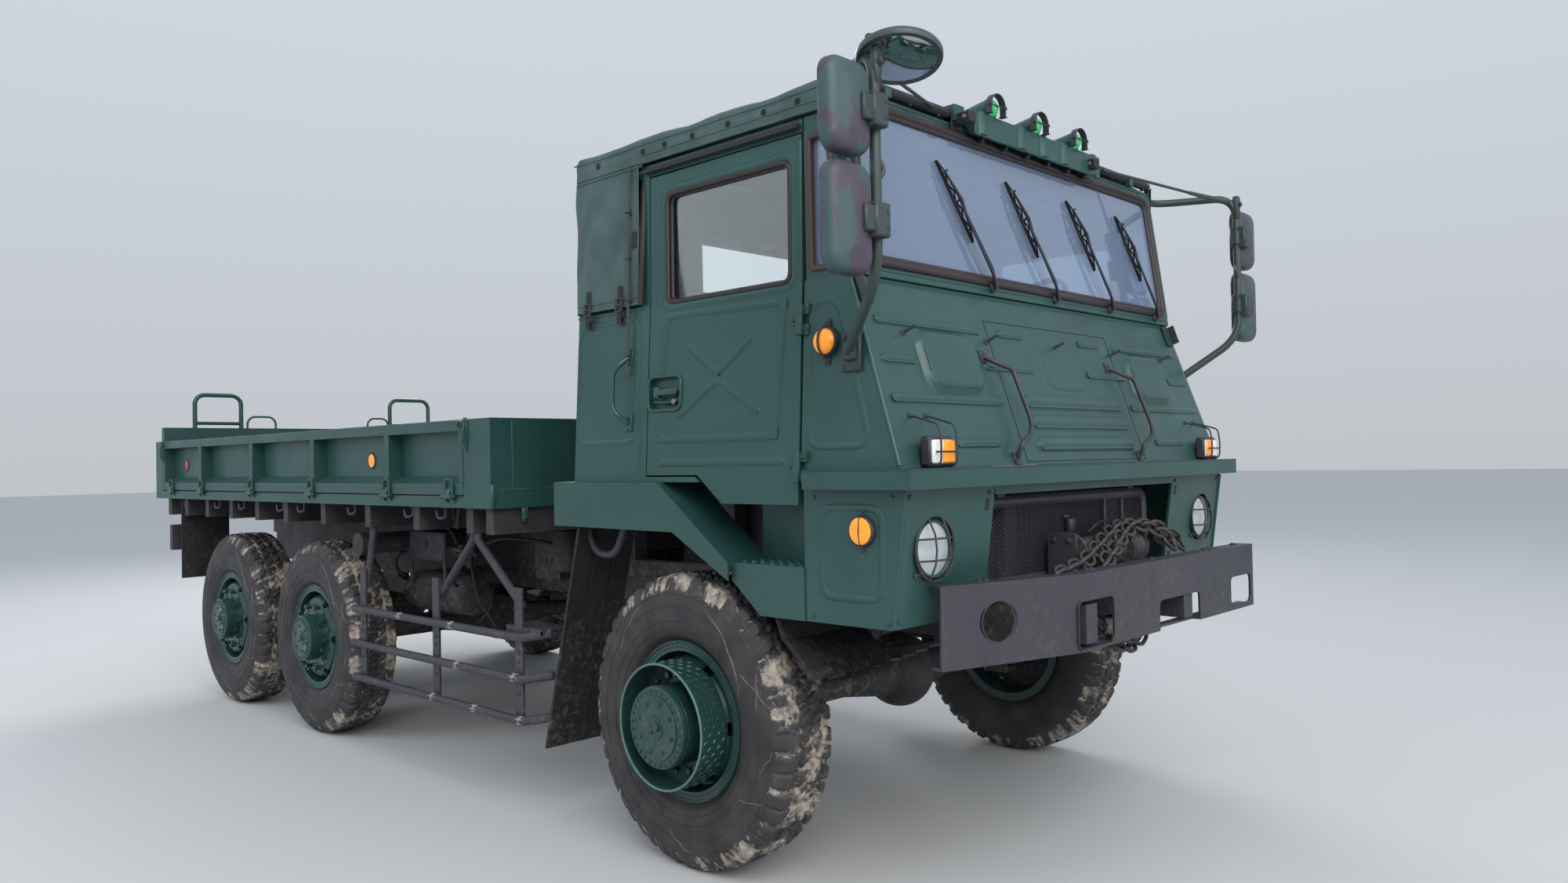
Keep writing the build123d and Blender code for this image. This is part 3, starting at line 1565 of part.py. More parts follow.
# Cargo bed: floor with its side raves and corner posts, headboard, and the sills beneath
rear_rail = 50
deck_low_z = bed_floor_z - bed_floor_plate
rave_top_z = bed_base_z + rave_height
gate_low_z = rave_top_z + gate_gap
board_rear_y = bed_front_y + headboard_thickness
with BuildPart() as cargo_bed:
    slab(
        (-bed_half + rave_width + seat_gap, bed_half - rave_width - seat_gap),
        (board_rear_y + seat_gap, bed_rear_y - rear_rail - seat_gap),
        (deck_low_z, bed_floor_z),
    )
    slab(
        (-bed_half + rave_width + seat_gap, bed_half - rave_width - seat_gap),
        (bed_rear_y - rear_rail, bed_rear_y),
        (bed_base_z, bed_floor_z),
    )
    slab((-bed_half, bed_half), (bed_front_y, board_rear_y), (bed_base_z, gate_top_z))
    for x0, x1 in both(bed_half - rave_width, bed_half):
        slab((x0, x1), (board_rear_y + seat_gap, bed_rear_y), (bed_base_z, rave_top_z))
    post_spans = (
        (board_rear_y + seat_gap, gate_front_y - gate_gap),
        (gate_rear_y + gate_gap, bed_rear_y),
    )
    for x0, x1 in both(bed_half - rave_width, bed_half):
        for y0, y1 in post_spans:
            slab((x0, x1), (y0, y1), (rave_top_z + seat_gap, gate_top_z))
    for side in (-1, 1):
        leaf_outline = (
            (side * (bed_half - 4), bed_base_z + 12),
            (side * hinge_x, hinge_z - 12),
            (side * hinge_x, hinge_z),
            (side * (bed_half - 4), hinge_z - 4),
        )
        for station in hinge_stations_bed:
            y = front_axle_y + station
            for start in (-gate_knuckle / 2 - seat_gap - bed_knuckle, gate_knuckle / 2 + seat_gap):
                drum((side * hinge_x, y + start, hinge_z), (0, 1, 0), gate_hinge_radius, bed_knuckle)
                plate(across(y + start + bed_knuckle), leaf_outline, bed_knuckle)
    for x in tailgate_hinge_stations:
        for start in (-gate_knuckle / 2 - seat_gap - bed_knuckle, gate_knuckle / 2 + seat_gap):
            drum((x + start, tailgate_hinge_y, hinge_z), (1, 0, 0), gate_hinge_radius, bed_knuckle)
            slab(
                (x + start, x + start + bed_knuckle),
                (bed_rear_y - 4, tailgate_hinge_y),
                (hinge_z - 24, hinge_z),
            )
save("cargo_bed", cargo_bed.part)

# Sills under the bed: a pair along the frame and cross-sills out to the raves
with BuildPart() as bed_sills:
    for station in cross_sill_stations:
        y = front_axle_y + station
        slab(
            (-bed_half + rave_width / 2, bed_half - rave_width / 2),
            (y - 30, y + 30),
            (bed_base_z - cross_sill_height, bed_base_z - seat_gap),
        )
    for x0, x1 in both(sill_x - 38, sill_x + 38):
        slab(
            (x0, x1),
            (bed_front_y, bed_rear_y - 60),
            (rail_top_z + seat_gap, bed_base_z - cross_sill_height - seat_gap),
        )
save("bed_sills", bed_sills.part)

# Drop sides: a pressed skin in a frame with upright ribs
for side, name in ((-1, "side_gate_right"), (1, "side_gate_left")):
    with BuildPart() as side_gate:
        x0, x1 = sorted((side * (bed_half - gate_thickness), side * bed_half))
        slab((x0, x1), (gate_front_y, gate_rear_y), (gate_low_z, gate_top_z))
        rib_edges = [gate_front_y + gate_end_post]
        for rib in range(gate_rib_count):
            rib_y = first_rib_y + rib * gate_rib_pitch
            rib_edges += [rib_y - gate_rib_width / 2, rib_y + gate_rib_width / 2]
        rib_edges.append(gate_rear_y - gate_end_post)
        ledge_z = gate_low_z + gate_low_rail
        recess = (
            (side * (bed_half + 1), ledge_z),
            (side * (bed_half - gate_thickness + gate_skin), ledge_z + gate_ledge_rise),
            (side * (bed_half - gate_thickness + gate_skin), gate_top_z - gate_top_rail),
            (side * (bed_half + 1), gate_top_z - gate_top_rail),
        )
        for y0, y1 in zip(rib_edges[0::2], rib_edges[1::2]):
            plate(across(y1), recess, y1 - y0, Mode.SUBTRACT)
        leaf_outline = (
            (side * (bed_half - 4), gate_low_z),
            (side * (bed_half + 3), gate_low_z),
            (side * (hinge_x - 9), hinge_z),
            (side * (hinge_x + 5), hinge_z),
            (side * (hinge_x + 5), gate_low_z + 8),
            (side * (bed_half - 4), gate_low_z + 44),
        )
        for station in hinge_stations_bed:
            y = front_axle_y + station
            drum(
                (side * hinge_x, y - gate_knuckle / 2, hinge_z),
                (0, 1, 0),
                gate_hinge_radius,
                gate_knuckle,
            )
            plate(across(y + gate_knuckle / 2), leaf_outline, gate_knuckle)
    save(name, side_gate.part)

# Tailgate with its pressed panels and two tube hoops that serve as steps when it hangs down
hoop_top_z = 2080
hoop_radius = 16
hoop_bar_rise = 36
tailgate_panels = 4
tailgate_rim = 46
tailgate_skin = 8
with BuildPart() as tailgate:
    inner_y = bed_rear_y + tailgate_gap
    outer_y = inner_y + tailgate_thickness
    slab((-tailgate_half, tailgate_half), (inner_y, outer_y), (gate_low_z, tailgate_top_z))
    panel = (2 * tailgate_half - tailgate_rim) / tailgate_panels
    for index in range(tailgate_panels):
        x = -tailgate_half + tailgate_rim + index * panel
        slab(
            (x, x + panel - tailgate_rim),
            (inner_y + tailgate_skin, outer_y + 1),
            (gate_low_z + tailgate_rim, tailgate_top_z - tailgate_rim),
            mode=Mode.SUBTRACT,
        )
    hoop_y = inner_y + tailgate_thickness / 2
    for x0, x1 in ((-976, -614), (561, 944)):
        bent_rod(
            (
                (x0 + hoop_radius, hoop_y, tailgate_top_z - 10),
                (x0 + hoop_radius, hoop_y, hoop_top_z - hoop_radius),
                (x1 - hoop_radius, hoop_y, hoop_top_z - hoop_radius),
                (x1 - hoop_radius, hoop_y, tailgate_top_z - 10),
            ),
            hoop_radius,
            70,
        )
        bar_z = tailgate_top_z + hoop_bar_rise
        rod(((x0 + hoop_radius, hoop_y, bar_z), (x1 - hoop_radius, hoop_y, bar_z)), hoop_radius - 3)
    for x0, x1 in ((-583, -370), (380, 560)):
        bent_rod(
            (
                (x0, hoop_y, tailgate_top_z - 10),
                (x0, hoop_y, tailgate_top_z + 90),
                (x1, hoop_y, tailgate_top_z + 90),
                (x1, hoop_y, tailgate_top_z - 10),
            ),
            8,
            60,
        )
    for x in tailgate_hinge_stations:
        drum(
            (x - gate_knuckle / 2, tailgate_hinge_y, hinge_z),
            (1, 0, 0),
            gate_hinge_radius,
            gate_knuckle,
        )
        leaf_outline = (
            (outer_y - 4, gate_low_z),
            (outer_y + 3, gate_low_z),
            (tailgate_hinge_y - 9, hinge_z),
            (tailgate_hinge_y + 5, hinge_z),
            (tailgate_hinge_y + 5, gate_low_z + 8),
            (outer_y - 4, gate_low_z + 44),
        )
        plate(along(x - gate_knuckle / 2), leaf_outline, gate_knuckle)
save("tailgate", tailgate.part)

# Tyre about its own middle with X as its axle
half_width = tyre_width / 2
tyre_middle_r = (bead_radius + tyre_radius) / 2
tyre_half = (
    # from the middle, radius
    (half_width - bead_inset, bead_radius),
    (half_width - bead_inset, flange_radius + 3),
    (half_width - 14, flange_radius + 26),
    (half_width, tyre_middle_r - 8),
    (half_width - 4, tyre_middle_r + 50),
    (half_width - shoulder_inset, tyre_radius - shoulder_drop),
    (half_width - shoulder_inset - 30, tyre_radius),
)
wheel_plane = Plane(origin=(0, 0, 0), x_dir=(1, 0, 0), z_dir=(0, -1, 0))
axle_line = Axis((0, 0, 0), (1, 0, 0))
with BuildPart() as tyre:
    with BuildSketch(wheel_plane) as section:
        with BuildLine() as outline:
            Polyline(*tyre_half, *[(-x, r) for x, r in reversed(tyre_half)], close=True)
        make_face(outline.edges())
    revolve(section.sketch, axis=axle_line)

# Wheel halves that all six share: rim, dished disc with hand holes, and the hub with its nuts
rim_inner_r = bead_radius - seat_gap - rim_plate
flange_x = disc_flange_x - tyre_centre_x
flange_in_x = half_width - bead_inset + seat_gap
hub_start_x = hub_inner_x - tyre_centre_x
disc_face = Plane(origin=(flange_x, 0, 0), x_dir=(0, 0, 1), z_dir=(1, 0, 0))


def wheel_part(hub_radius, hub_face_x, spindle_x, ringed):
    """A wheel about its own middle, outer face toward +X."""
    with BuildPart() as wheel:
        with BuildSketch(wheel_plane) as section:
            with BuildLine() as outline:
                Polyline(
                    (flange_x - rim_plate, 100),
                    (flange_x, 100),
                    (flange_x, disc_flange_radius),
                    (flange_x - 12, disc_flange_radius + 25),
                    (flange_x - 36, disc_flange_radius + 40),
                    (40, rim_inner_r - 8),
                    (30, rim_inner_r + 1),
                    (14, rim_inner_r + 1),
                    (32, rim_inner_r - 16),
                    (flange_x - 42, disc_flange_radius + 32),
                    (flange_x - 20, disc_flange_radius + 20),
                    (flange_x - rim_plate, disc_flange_radius - 4),
                    close=True,
                )
            make_face(outline.edges())
            with BuildLine() as barrel:
                Polyline(
                    (-flange_in_x - flange_plate, flange_radius),
                    (-flange_in_x, flange_radius),
                    (-flange_in_x, bead_radius - seat_gap),
                    (flange_in_x, bead_radius - seat_gap),
                    (flange_in_x, flange_radius),
                    (flange_in_x + flange_plate, flange_radius),
                    (flange_in_x + flange_plate, bead_radius - 6),
                    (flange_in_x - 12, rim_inner_r),
                    (-flange_in_x + 12, rim_inner_r),
                    (-flange_in_x - flange_plate, bead_radius - 6),
                    close=True,
                )
            make_face(barrel.edges())
        revolve(section.sketch, axis=axle_line)
        with BuildSketch(disc_face.offset(-90)) as hand_holes:
            with PolarLocations(hand_hole_circle, hand_hole_count, start_angle=30):
                Circle(hand_hole_radius)
        extrude(hand_holes.sketch, amount=100, mode=Mode.SUBTRACT)
        drum((hub_start_x, 0, 0), (1, 0, 0), hub_radius - 12, flange_x - hub_start_x)
        drum(
            (flange_x - rim_plate, 0, 0),
            (1, 0, 0),
            hub_radius,
            hub_face_x - tyre_centre_x - flange_x + rim_plate,
        )
        chamfer(wheel.edges().group_by(Axis.X)[-1], 6)
        drum((hub_face_x - tyre_centre_x - 6, 0, 0), (1, 0, 0), hub_boss_radius, 12)
        drum(
            (hub_start_x - 1, 0, 0),
            (1, 0, 0),
            spindle_radius + seat_gap,
            spindle_x - hub_inner_x + 9,
            Mode.SUBTRACT,
        )
        with BuildSketch(disc_face.offset(-1)) as nuts:
            with PolarLocations(nut_circle, nut_count, start_angle=18):
                RegularPolygon(nut_radius, 6)
        extrude(nuts.sketch, amount=nut_height)
        if ringed:
            ring_x = flange_x + 8
            with BuildSketch(wheel_plane) as ring:
                with BuildLine() as outline:
                    Polyline(
                        (flange_x - 1, disc_flange_radius - 8),
                        (ring_x, disc_flange_radius - 8),
                        (ring_x, step_ring_radius - step_ring_plate),
                        (step_ring_x - tyre_centre_x, step_ring_radius - step_ring_plate),
                        (step_ring_x - tyre_centre_x, step_ring_radius),
                        (flange_x - 1, step_ring_radius),
                        close=True,
                    )
                make_face(outline.edges())
            revolve(ring.sketch, axis=axle_line)
    return wheel.part


front_wheel = wheel_part(front_hub_radius, front_hub_x, spindle_end_x, True)
rear_wheel = wheel_part(rear_hub_radius, rear_hub_x, rear_spindle_x, False)
wheel_table = (
    # name, side, station, wheel
    ("front_right", -1, front_axle_y, front_wheel),
    ("front_left", 1, front_axle_y, front_wheel),
    ("mid_right", -1, mid_axle_y, rear_wheel),
    ("mid_left", 1, mid_axle_y, rear_wheel),
    ("rear_right", -1, rear_axle_y, rear_wheel),
    ("rear_left", 1, rear_axle_y, rear_wheel),
)
for name, side, station, wheel in wheel_table:
    place = Location((side * tyre_centre_x, station, axle_z), (0, 0, 0 if side > 0 else 180))
    save(f"tyre_{name}", place * tyre.part)
    save(f"wheel_{name}", place * wheel)
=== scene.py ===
import json
import math

import bmesh
import bpy
import numpy as np
from mathutils import Matrix, Vector, noise


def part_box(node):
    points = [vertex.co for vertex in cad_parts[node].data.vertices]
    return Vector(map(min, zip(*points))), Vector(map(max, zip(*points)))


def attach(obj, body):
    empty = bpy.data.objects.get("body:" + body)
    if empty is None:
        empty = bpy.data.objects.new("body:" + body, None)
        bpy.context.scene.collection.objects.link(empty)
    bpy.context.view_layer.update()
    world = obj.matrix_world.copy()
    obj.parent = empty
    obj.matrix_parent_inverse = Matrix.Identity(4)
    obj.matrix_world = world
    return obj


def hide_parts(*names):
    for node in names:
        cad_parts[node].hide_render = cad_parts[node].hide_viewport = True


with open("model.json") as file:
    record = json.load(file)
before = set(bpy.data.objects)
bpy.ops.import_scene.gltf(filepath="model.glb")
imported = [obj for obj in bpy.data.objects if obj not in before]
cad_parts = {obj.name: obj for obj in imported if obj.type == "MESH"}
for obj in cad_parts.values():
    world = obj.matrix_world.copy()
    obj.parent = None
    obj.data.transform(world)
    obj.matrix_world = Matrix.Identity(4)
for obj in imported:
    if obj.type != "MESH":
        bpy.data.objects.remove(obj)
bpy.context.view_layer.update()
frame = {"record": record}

# Places that the solids give, in metres: X across, Y towards the rear, Z up, the truck facing -Y


def span(node):
    """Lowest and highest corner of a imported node."""
    low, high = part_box(node)
    return Vector(low), Vector(high)


def middle(node):
    low, high = span(node)
    return (low + high) / 2


front_y = middle("tyre_front_left").y
bumper_low, bumper_high = span("front_bumper")
sides = ((-1, "right"), (1, "left"))
wheel_names = [f"{row}_{side}" for row in ("front", "mid", "rear") for side in ("right", "left")]

# Cab skin: the sides lean in up to the belt, the nose slopes back to the windscreen
sill_z = 1.44
belt_z = 2.092
sill_x = 1.196
belt_x = 1.16
roof_x = 1.152
header_z = 2.64
side_lean = (sill_x - belt_x) / (belt_z - sill_z)
nose_foot = Vector((0, -1.022, 1.462))
nose_top = Vector((0, -0.806, 2.092))
nose_lean = (nose_top.y - nose_foot.y) / (nose_top.z - nose_foot.z)
nose_out = Vector((0, -1, nose_lean)).normalized()
screen_foot = Vector((0, -0.812, 2.141))
screen_top = Vector((0, -0.752, 2.686))
screen_lean = (screen_top.y - screen_foot.y) / (screen_top.z - screen_foot.z)
screen_out = Vector((0, -1, screen_lean)).normalized()


def on_side(side, offset, z, out=0.0):
    """Point on the cab's side skin, offset metres behind the front axle."""
    if z <= belt_z:
        x = sill_x - (z - sill_z) * side_lean
    else:
        x = belt_x - (z - belt_z) * (belt_x - roof_x) / (header_z - belt_z)
    return Vector((side * (x + out), front_y + offset, z))


def side_out(side):
    return Vector((side, 0, side_lean)).normalized()


def on_nose(x, z, out=0.0):
    y = front_y + nose_foot.y + (z - nose_foot.z) * nose_lean
    return Vector((x, y, z)) + nose_out * out


def on_screen(x, z, out=0.0):
    y = front_y + screen_foot.y + (z - screen_foot.z) * screen_lean
    return Vector((x, y, z)) + screen_out * out


# Colours and materials


def srgb(red, green, blue):
    """Linear colour from the 0-255 numbers of a colour chart."""
    def linear(value):
        value /= 255
        return value / 12.92 if value <= 0.04045 else ((value + 0.055) / 1.055) ** 2.4
    return (linear(red), linear(green), linear(blue), 1.0)


class Nodes:
    """A material's node tree, with short calls for the nodes used here."""

    def __init__(self, name):
        self.material = bpy.data.materials.new(name)
        self.material.use_nodes = True
        self.tree = self.material.node_tree
        self.shader = self.tree.nodes["Principled BSDF"]
        self.coords = self.add("ShaderNodeTexCoord").outputs["Object"]

    def add(self, kind, **values):
        node = self.tree.nodes.new(kind)
        for key, value in values.items():
            setattr(node, key, value)
        return node

    def link(self, source, target):
        self.tree.links.new(source, target)

    def noise(self, scale, detail=4.0, rough=0.55, stretch=None):
        node = self.add("ShaderNodeTexNoise")
        node.inputs["Scale"].default_value = scale
        node.inputs["Detail"].default_value = detail
        node.inputs["Roughness"].default_value = rough
        source = self.coords
        if stretch:
            mapping = self.add("ShaderNodeMapping")
            mapping.inputs["Scale"].default_value = stretch
            self.link(source, mapping.inputs["Vector"])
            source = mapping.outputs["Vector"]
        self.link(source, node.inputs["Vector"])
        return node.outputs["Fac"]

    def ramp(self, source, low, high, bottom=0.0, top=1.0):
        node = self.add("ShaderNodeMapRange")
        for key, value in zip(("From Min", "From Max", "To Min", "To Max"), (low, high, bottom, top)):
            node.inputs[key].default_value = value
        self.link(source, node.inputs["Value"])
        return node.outputs["Result"]

    def math(self, operation, first, second):
        node = self.add("ShaderNodeMath", operation=operation, use_clamp=True)
        for socket, value in zip(node.inputs, (first, second)):
            if isinstance(value, (int, float)):
                socket.default_value = value
            else:
                self.link(value, socket)
        return node.outputs["Value"]

    def height(self):
        node = self.add("ShaderNodeSeparateXYZ")
        self.link(self.coords, node.inputs[0])
        return node.outputs["Z"]

    def attribute(self, name):
        return self.add("ShaderNodeAttribute", attribute_name=name).outputs["Fac"]

    def mix(self, factor, first, second):
        node = self.add("ShaderNodeMix", data_type="RGBA")
        self.link(factor, node.inputs[0])
        for socket, value in ((node.inputs[6], first), (node.inputs[7], second)):
            if isinstance(value, tuple):
                socket.default_value = value
            else:
                self.link(value, socket)
        return node.outputs[2]

    def bump(self, source, strength, distance, edge=0.0):
        node = self.add("ShaderNodeBump")
        node.inputs["Strength"].default_value = strength
        node.inputs["Distance"].default_value = distance
        self.link(source, node.inputs["Height"])
        if edge:
            soft = self.add("ShaderNodeBevel", samples=4)
            soft.inputs["Radius"].default_value = edge
            self.link(soft.outputs["Normal"], node.inputs["Normal"])
        self.link(node.outputs["Normal"], self.shader.inputs["Normal"])

    def set(self, **values):
        for key, value in values.items():
            self.shader.inputs[key.replace("_", " ")].default_value = value


dust = srgb(150, 142, 126)


def paint(name, colour, worn, rough, dusty=0.3, edge=0.002, wave=0.25):
    """Painted sheet metal: a little uneven, dustier low down, its edges softened."""
    nodes = Nodes(name)
    patch = nodes.ramp(nodes.noise(2.6, 6), 0.35, 0.7)
    body = nodes.mix(patch, colour, worn)
    low = nodes.ramp(nodes.height(), 1.35, 0.45)
    speck = nodes.ramp(nodes.noise(34, 8, 0.7), 0.5, 0.72)
    film = nodes.ramp(nodes.noise(3.4, 5), 0.38, 0.68)
    grime = nodes.math("MULTIPLY", nodes.math("ADD", nodes.math("MULTIPLY", low, film), 0.06), speck)
    soiled = nodes.math("MULTIPLY", grime, dusty)
    nodes.link(nodes.mix(soiled, body, dust), nodes.shader.inputs["Base Color"])
    nodes.link(nodes.ramp(nodes.noise(5, 5), 0.3, 0.75, rough - 0.06, rough + 0.12), nodes.shader.inputs["Roughness"])
    nodes.bump(nodes.noise(7, 3), wave, 0.004, edge)
    return nodes.material


def plain(name, colour, rough, metallic=0.0, scale=60, strength=0.1, spread=0.0):
    """One even colour with a slight grain."""
    nodes = Nodes(name)
    grain = nodes.noise(scale, 6)
    if spread:
        pale = tuple(min(1.0, c * (1 + spread)) for c in colour[:3]) + (1.0,)
        nodes.link(nodes.mix(nodes.ramp(grain, 0.35, 0.7), colour, pale), nodes.shader.inputs["Base Color"])
    else:
        nodes.set(Base_Color=colour)
    nodes.set(Roughness=rough, Metallic=metallic)
    nodes.bump(grain, strength, 0.0015)
    return nodes.material


def clear(name, colour, rough=0.02, bend=1.45, passed=1.0):
    """Glass that lets the lamps through to what is behind it."""
    nodes = Nodes(name)
    nodes.set(Base_Color=colour, Roughness=rough, Transmission_Weight=passed, IOR=bend)
    output = nodes.tree.nodes["Material Output"]
    passing = nodes.add("ShaderNodeBsdfTransparent")
    passing.inputs["Color"].default_value = colour
    choice = nodes.add("ShaderNodeMixShader")
    nodes.link(nodes.add("ShaderNodeLightPath").outputs["Is Shadow Ray"], choice.inputs[0])
    nodes.link(nodes.shader.outputs[0], choice.inputs[1])
    nodes.link(passing.outputs[0], choice.inputs[2])
    nodes.link(choice.outputs[0], output.inputs["Surface"])
    return nodes.material


def lens(name, colour, painted_glow):
    """A coloured lamp lens with moulded ribs, its emission a painted glow with no lamp behind it."""
    nodes = Nodes(name)
    nodes.set(Base_Color=colour, Roughness=0.16, Coat_Weight=0.6, Emission_Color=colour, Emission_Strength=painted_glow)
    nodes.bump(nodes.noise(90, 2), 0.15, 0.001)
    return nodes.material


def canvas_cloth():
    """Coarse canvas with a weave, faded along its creases."""
    nodes = Nodes("canvas")
    faded = nodes.ramp(nodes.noise(5, 6, 0.6), 0.35, 0.7)
    colour = nodes.mix(faded, srgb(40, 64, 62), srgb(62, 84, 84))
    nodes.link(colour, nodes.shader.inputs["Base Color"])
    nodes.set(Roughness=0.82, Sheen_Weight=0.15, Sheen_Roughness=0.5)
    nodes.bump(nodes.noise(420, 2), 0.35, 0.0008)
    return nodes.material


def tyre_rubber():
    """Worn rubber, with dried mud where the mesh says that it lies."""
    nodes = Nodes("tyre_rubber")
    rubber = nodes.mix(nodes.ramp(nodes.noise(9, 6), 0.35, 0.7), srgb(38, 36, 38), srgb(60, 57, 58))
    fine = nodes.math("MULTIPLY", nodes.math("ADD", nodes.noise(62, 10, 0.82), -0.5), 2.3)
    cover = nodes.ramp(nodes.math("ADD", nodes.attribute("mud"), fine), 0.4, 0.58)
    mud = nodes.mix(nodes.ramp(nodes.noise(30, 7, 0.7), 0.36, 0.66), srgb(98, 93, 90), srgb(180, 168, 152))
    nodes.link(nodes.mix(cover, rubber, mud), nodes.shader.inputs["Base Color"])
    nodes.link(nodes.ramp(cover, 0.0, 1.0, 0.62, 0.95), nodes.shader.inputs["Roughness"])
    nodes.bump(nodes.noise(70, 8, 0.7), 0.45, 0.004)
    return nodes.material


def patchy_paint():
    """Green overspray flaking off a purple-brown undercoat."""
    nodes = Nodes("mirror_paint")
    blotch = nodes.noise(6.4, 5, 0.6, (1, 1, 0.5))
    shown = nodes.ramp(blotch, 0.505, 0.525)
    nodes.link(nodes.mix(shown, srgb(54, 76, 78), srgb(66, 58, 72)), nodes.shader.inputs["Base Color"])
    nodes.set(Roughness=0.5)
    nodes.bump(blotch, 0.08, 0.002)
    return nodes.material


green = paint("green_paint", srgb(31, 65, 62), srgb(38, 73, 70), 0.34, dusty=0.25)
gloss_green = paint("gloss_green", srgb(26, 57, 53), srgb(34, 66, 62), 0.27, dusty=0.22, edge=0.001, wave=0.1)
dark = paint("dark_paint", srgb(47, 46, 54), srgb(56, 54, 61), 0.5, dusty=0.4)
pole_paint = paint("pole_paint", srgb(38, 51, 50), srgb(50, 62, 61), 0.45, dusty=0.4)
under = paint("underbody", srgb(40, 39, 42), srgb(54, 52, 54), 0.6, dusty=1.0)
black = plain("black_rubber", srgb(26, 25, 26), 0.6)
seal = plain("window_seal", srgb(44, 36, 37), 0.48)
flap = paint("flap_rubber", srgb(22, 21, 24), srgb(32, 31, 34), 0.6, dusty=0.55)
canvas = canvas_cloth()
tyre_skin = tyre_rubber()
mirror_paint = patchy_paint()
silver = plain("mirror_glass", srgb(196, 202, 204), 0.04, 1.0, strength=0.0)
steel = plain("bare_steel", srgb(140, 140, 140), 0.38, 1.0, spread=0.3)
chain_steel = plain("chain_steel", srgb(56, 52, 52), 0.5, 0.3, spread=0.5)
pane = clear("pane", (0.8, 0.86, 0.87, 1))
lamp_pane = clear("lamp_pane", (0.95, 0.96, 0.96, 1), 0.06)
# The windscreen passes 0.7 of the light; the rest shows its blue base colour, a painted reflection of the sky.
screen_pane_painted_sky = clear("screen_pane_painted_sky", (0.36, 0.45, 0.6, 1), 0.03, 1.6, 0.7)
# The last number of each lens below is a painted glow: an emission with no lamp behind it, on lamp lenses and
# reflectors alike.
amber = lens("amber_lens", srgb(246, 150, 30), 0.18)
red = lens("red_lens", srgb(170, 34, 36), 0.05)
green_lens = lens("green_lens", srgb(26, 176, 92), 0.2)
white_lens = lens("white_lens", srgb(226, 228, 226), 0.1)
seat_cloth = plain("seat_cover", srgb(56, 60, 58), 0.8, scale=200, strength=0.3, spread=0.25)
cab_lining = plain("cab_lining", srgb(70, 84, 78), 0.6, spread=0.1)

node_materials = {
    "green_paint": green,
    "dark_paint": under,
    "rubber": flap,
    "tyre": tyre_skin,
    "glass": pane,
    "canvas": canvas,
    "lamp_glass": lamp_pane,
    "amber": amber,
    "seat_fabric": cab_lining,
    "mirror_paint": mirror_paint,
}
special = {
    "cab_glass": screen_pane_painted_sky, "front_bumper": dark, "winch": dark, "side_guards": dark, "roof_light_bar": green,
    "tail_lamps": dark
}
for part in frame["record"]["subparts"]:
    name = part["node"]
    chosen = special.get(name, node_materials[part["material_slot"]])
    if name.startswith("wheel_"):
        chosen = gloss_green
    data = bpy.data.objects[name].data
    data.materials.clear()
    data.materials.append(chosen)


# Shapes


def rounded(path, reach):
    """The path with each inner corner eased by a curve that starts reach metres from it."""
    points = [Vector(p) for p in path]
    eased = [points[0]]
    for before, corner, after in zip(points, points[1:], points[2:]):
        into = before - corner
        away = after - corner
        start = corner + into.normalized() * min(reach, into.length / 2)
        end = corner + away.normalized() * min(reach, away.length / 2)
        for step in range(7):
            t = step / 6
            eased.append(start * (1 - t) ** 2 + corner * 2 * t * (1 - t) + end * t**2)
    eased.append(points[-1])
    return eased


def frames_along(points, closed=False):
    """For each point of a path, two directions across it that turn with it."""
    count = len(points)
    tangents = []
    for index in range(count):
        ahead = points[(index + 1) % count] if closed or index + 1 < count else points[index]
        behind = points[index - 1] if closed or index > 0 else points[index]
        tangents.append((ahead - behind).normalized())
    first = tangents[0].orthogonal().normalized()
    frames = []
    for tangent in tangents:
        first = (first - tangent * first.dot(tangent)).normalized()
        frames.append((first, tangent.cross(first)))
    return frames


def from_axle(path, reach):
    """A rounded path whose points are given from the front axle's line."""
    return rounded([(x, front_y + y, z) for x, y, z in path], reach)


def quads(rows, width, looped=False, round_about=True):
    """Faces between rows of points; looped joins the last row to the first."""
    faces = []
    for row in range(rows if looped else rows - 1):
        low = row * width
        high = (row + 1) % rows * width
        for k in range(width if round_about else width - 1):
            other = (k + 1) % width
            faces.append((low + k, low + other, high + other, high + k))
    return faces


def caps(rows, width):
    """Faces that close the first and the last row."""
    return [tuple(reversed(range(width))), tuple(range((rows - 1) * width, rows * width))]


def stretch(start, end, steps):
    """Evenly spaced values from start to end."""
    return [start + (end - start) * step / steps for step in range(steps + 1)]


def outward_mesh(name, points, faces):
    """A mesh with all its faces turned outward."""
    mesh = bpy.data.meshes.new(name)
    mesh.from_pydata(points, [], faces)
    shell = bmesh.new()
    shell.from_mesh(mesh)
    bmesh.ops.recalc_face_normals(shell, faces=shell.faces)
    shell.to_mesh(mesh)
    shell.free()
    return mesh


def turned_axes(outward):
    """Axes of a box that lies flat on a side of the cab."""
    along = Vector((0, 1, 0))
    return along, outward, along.cross(outward)


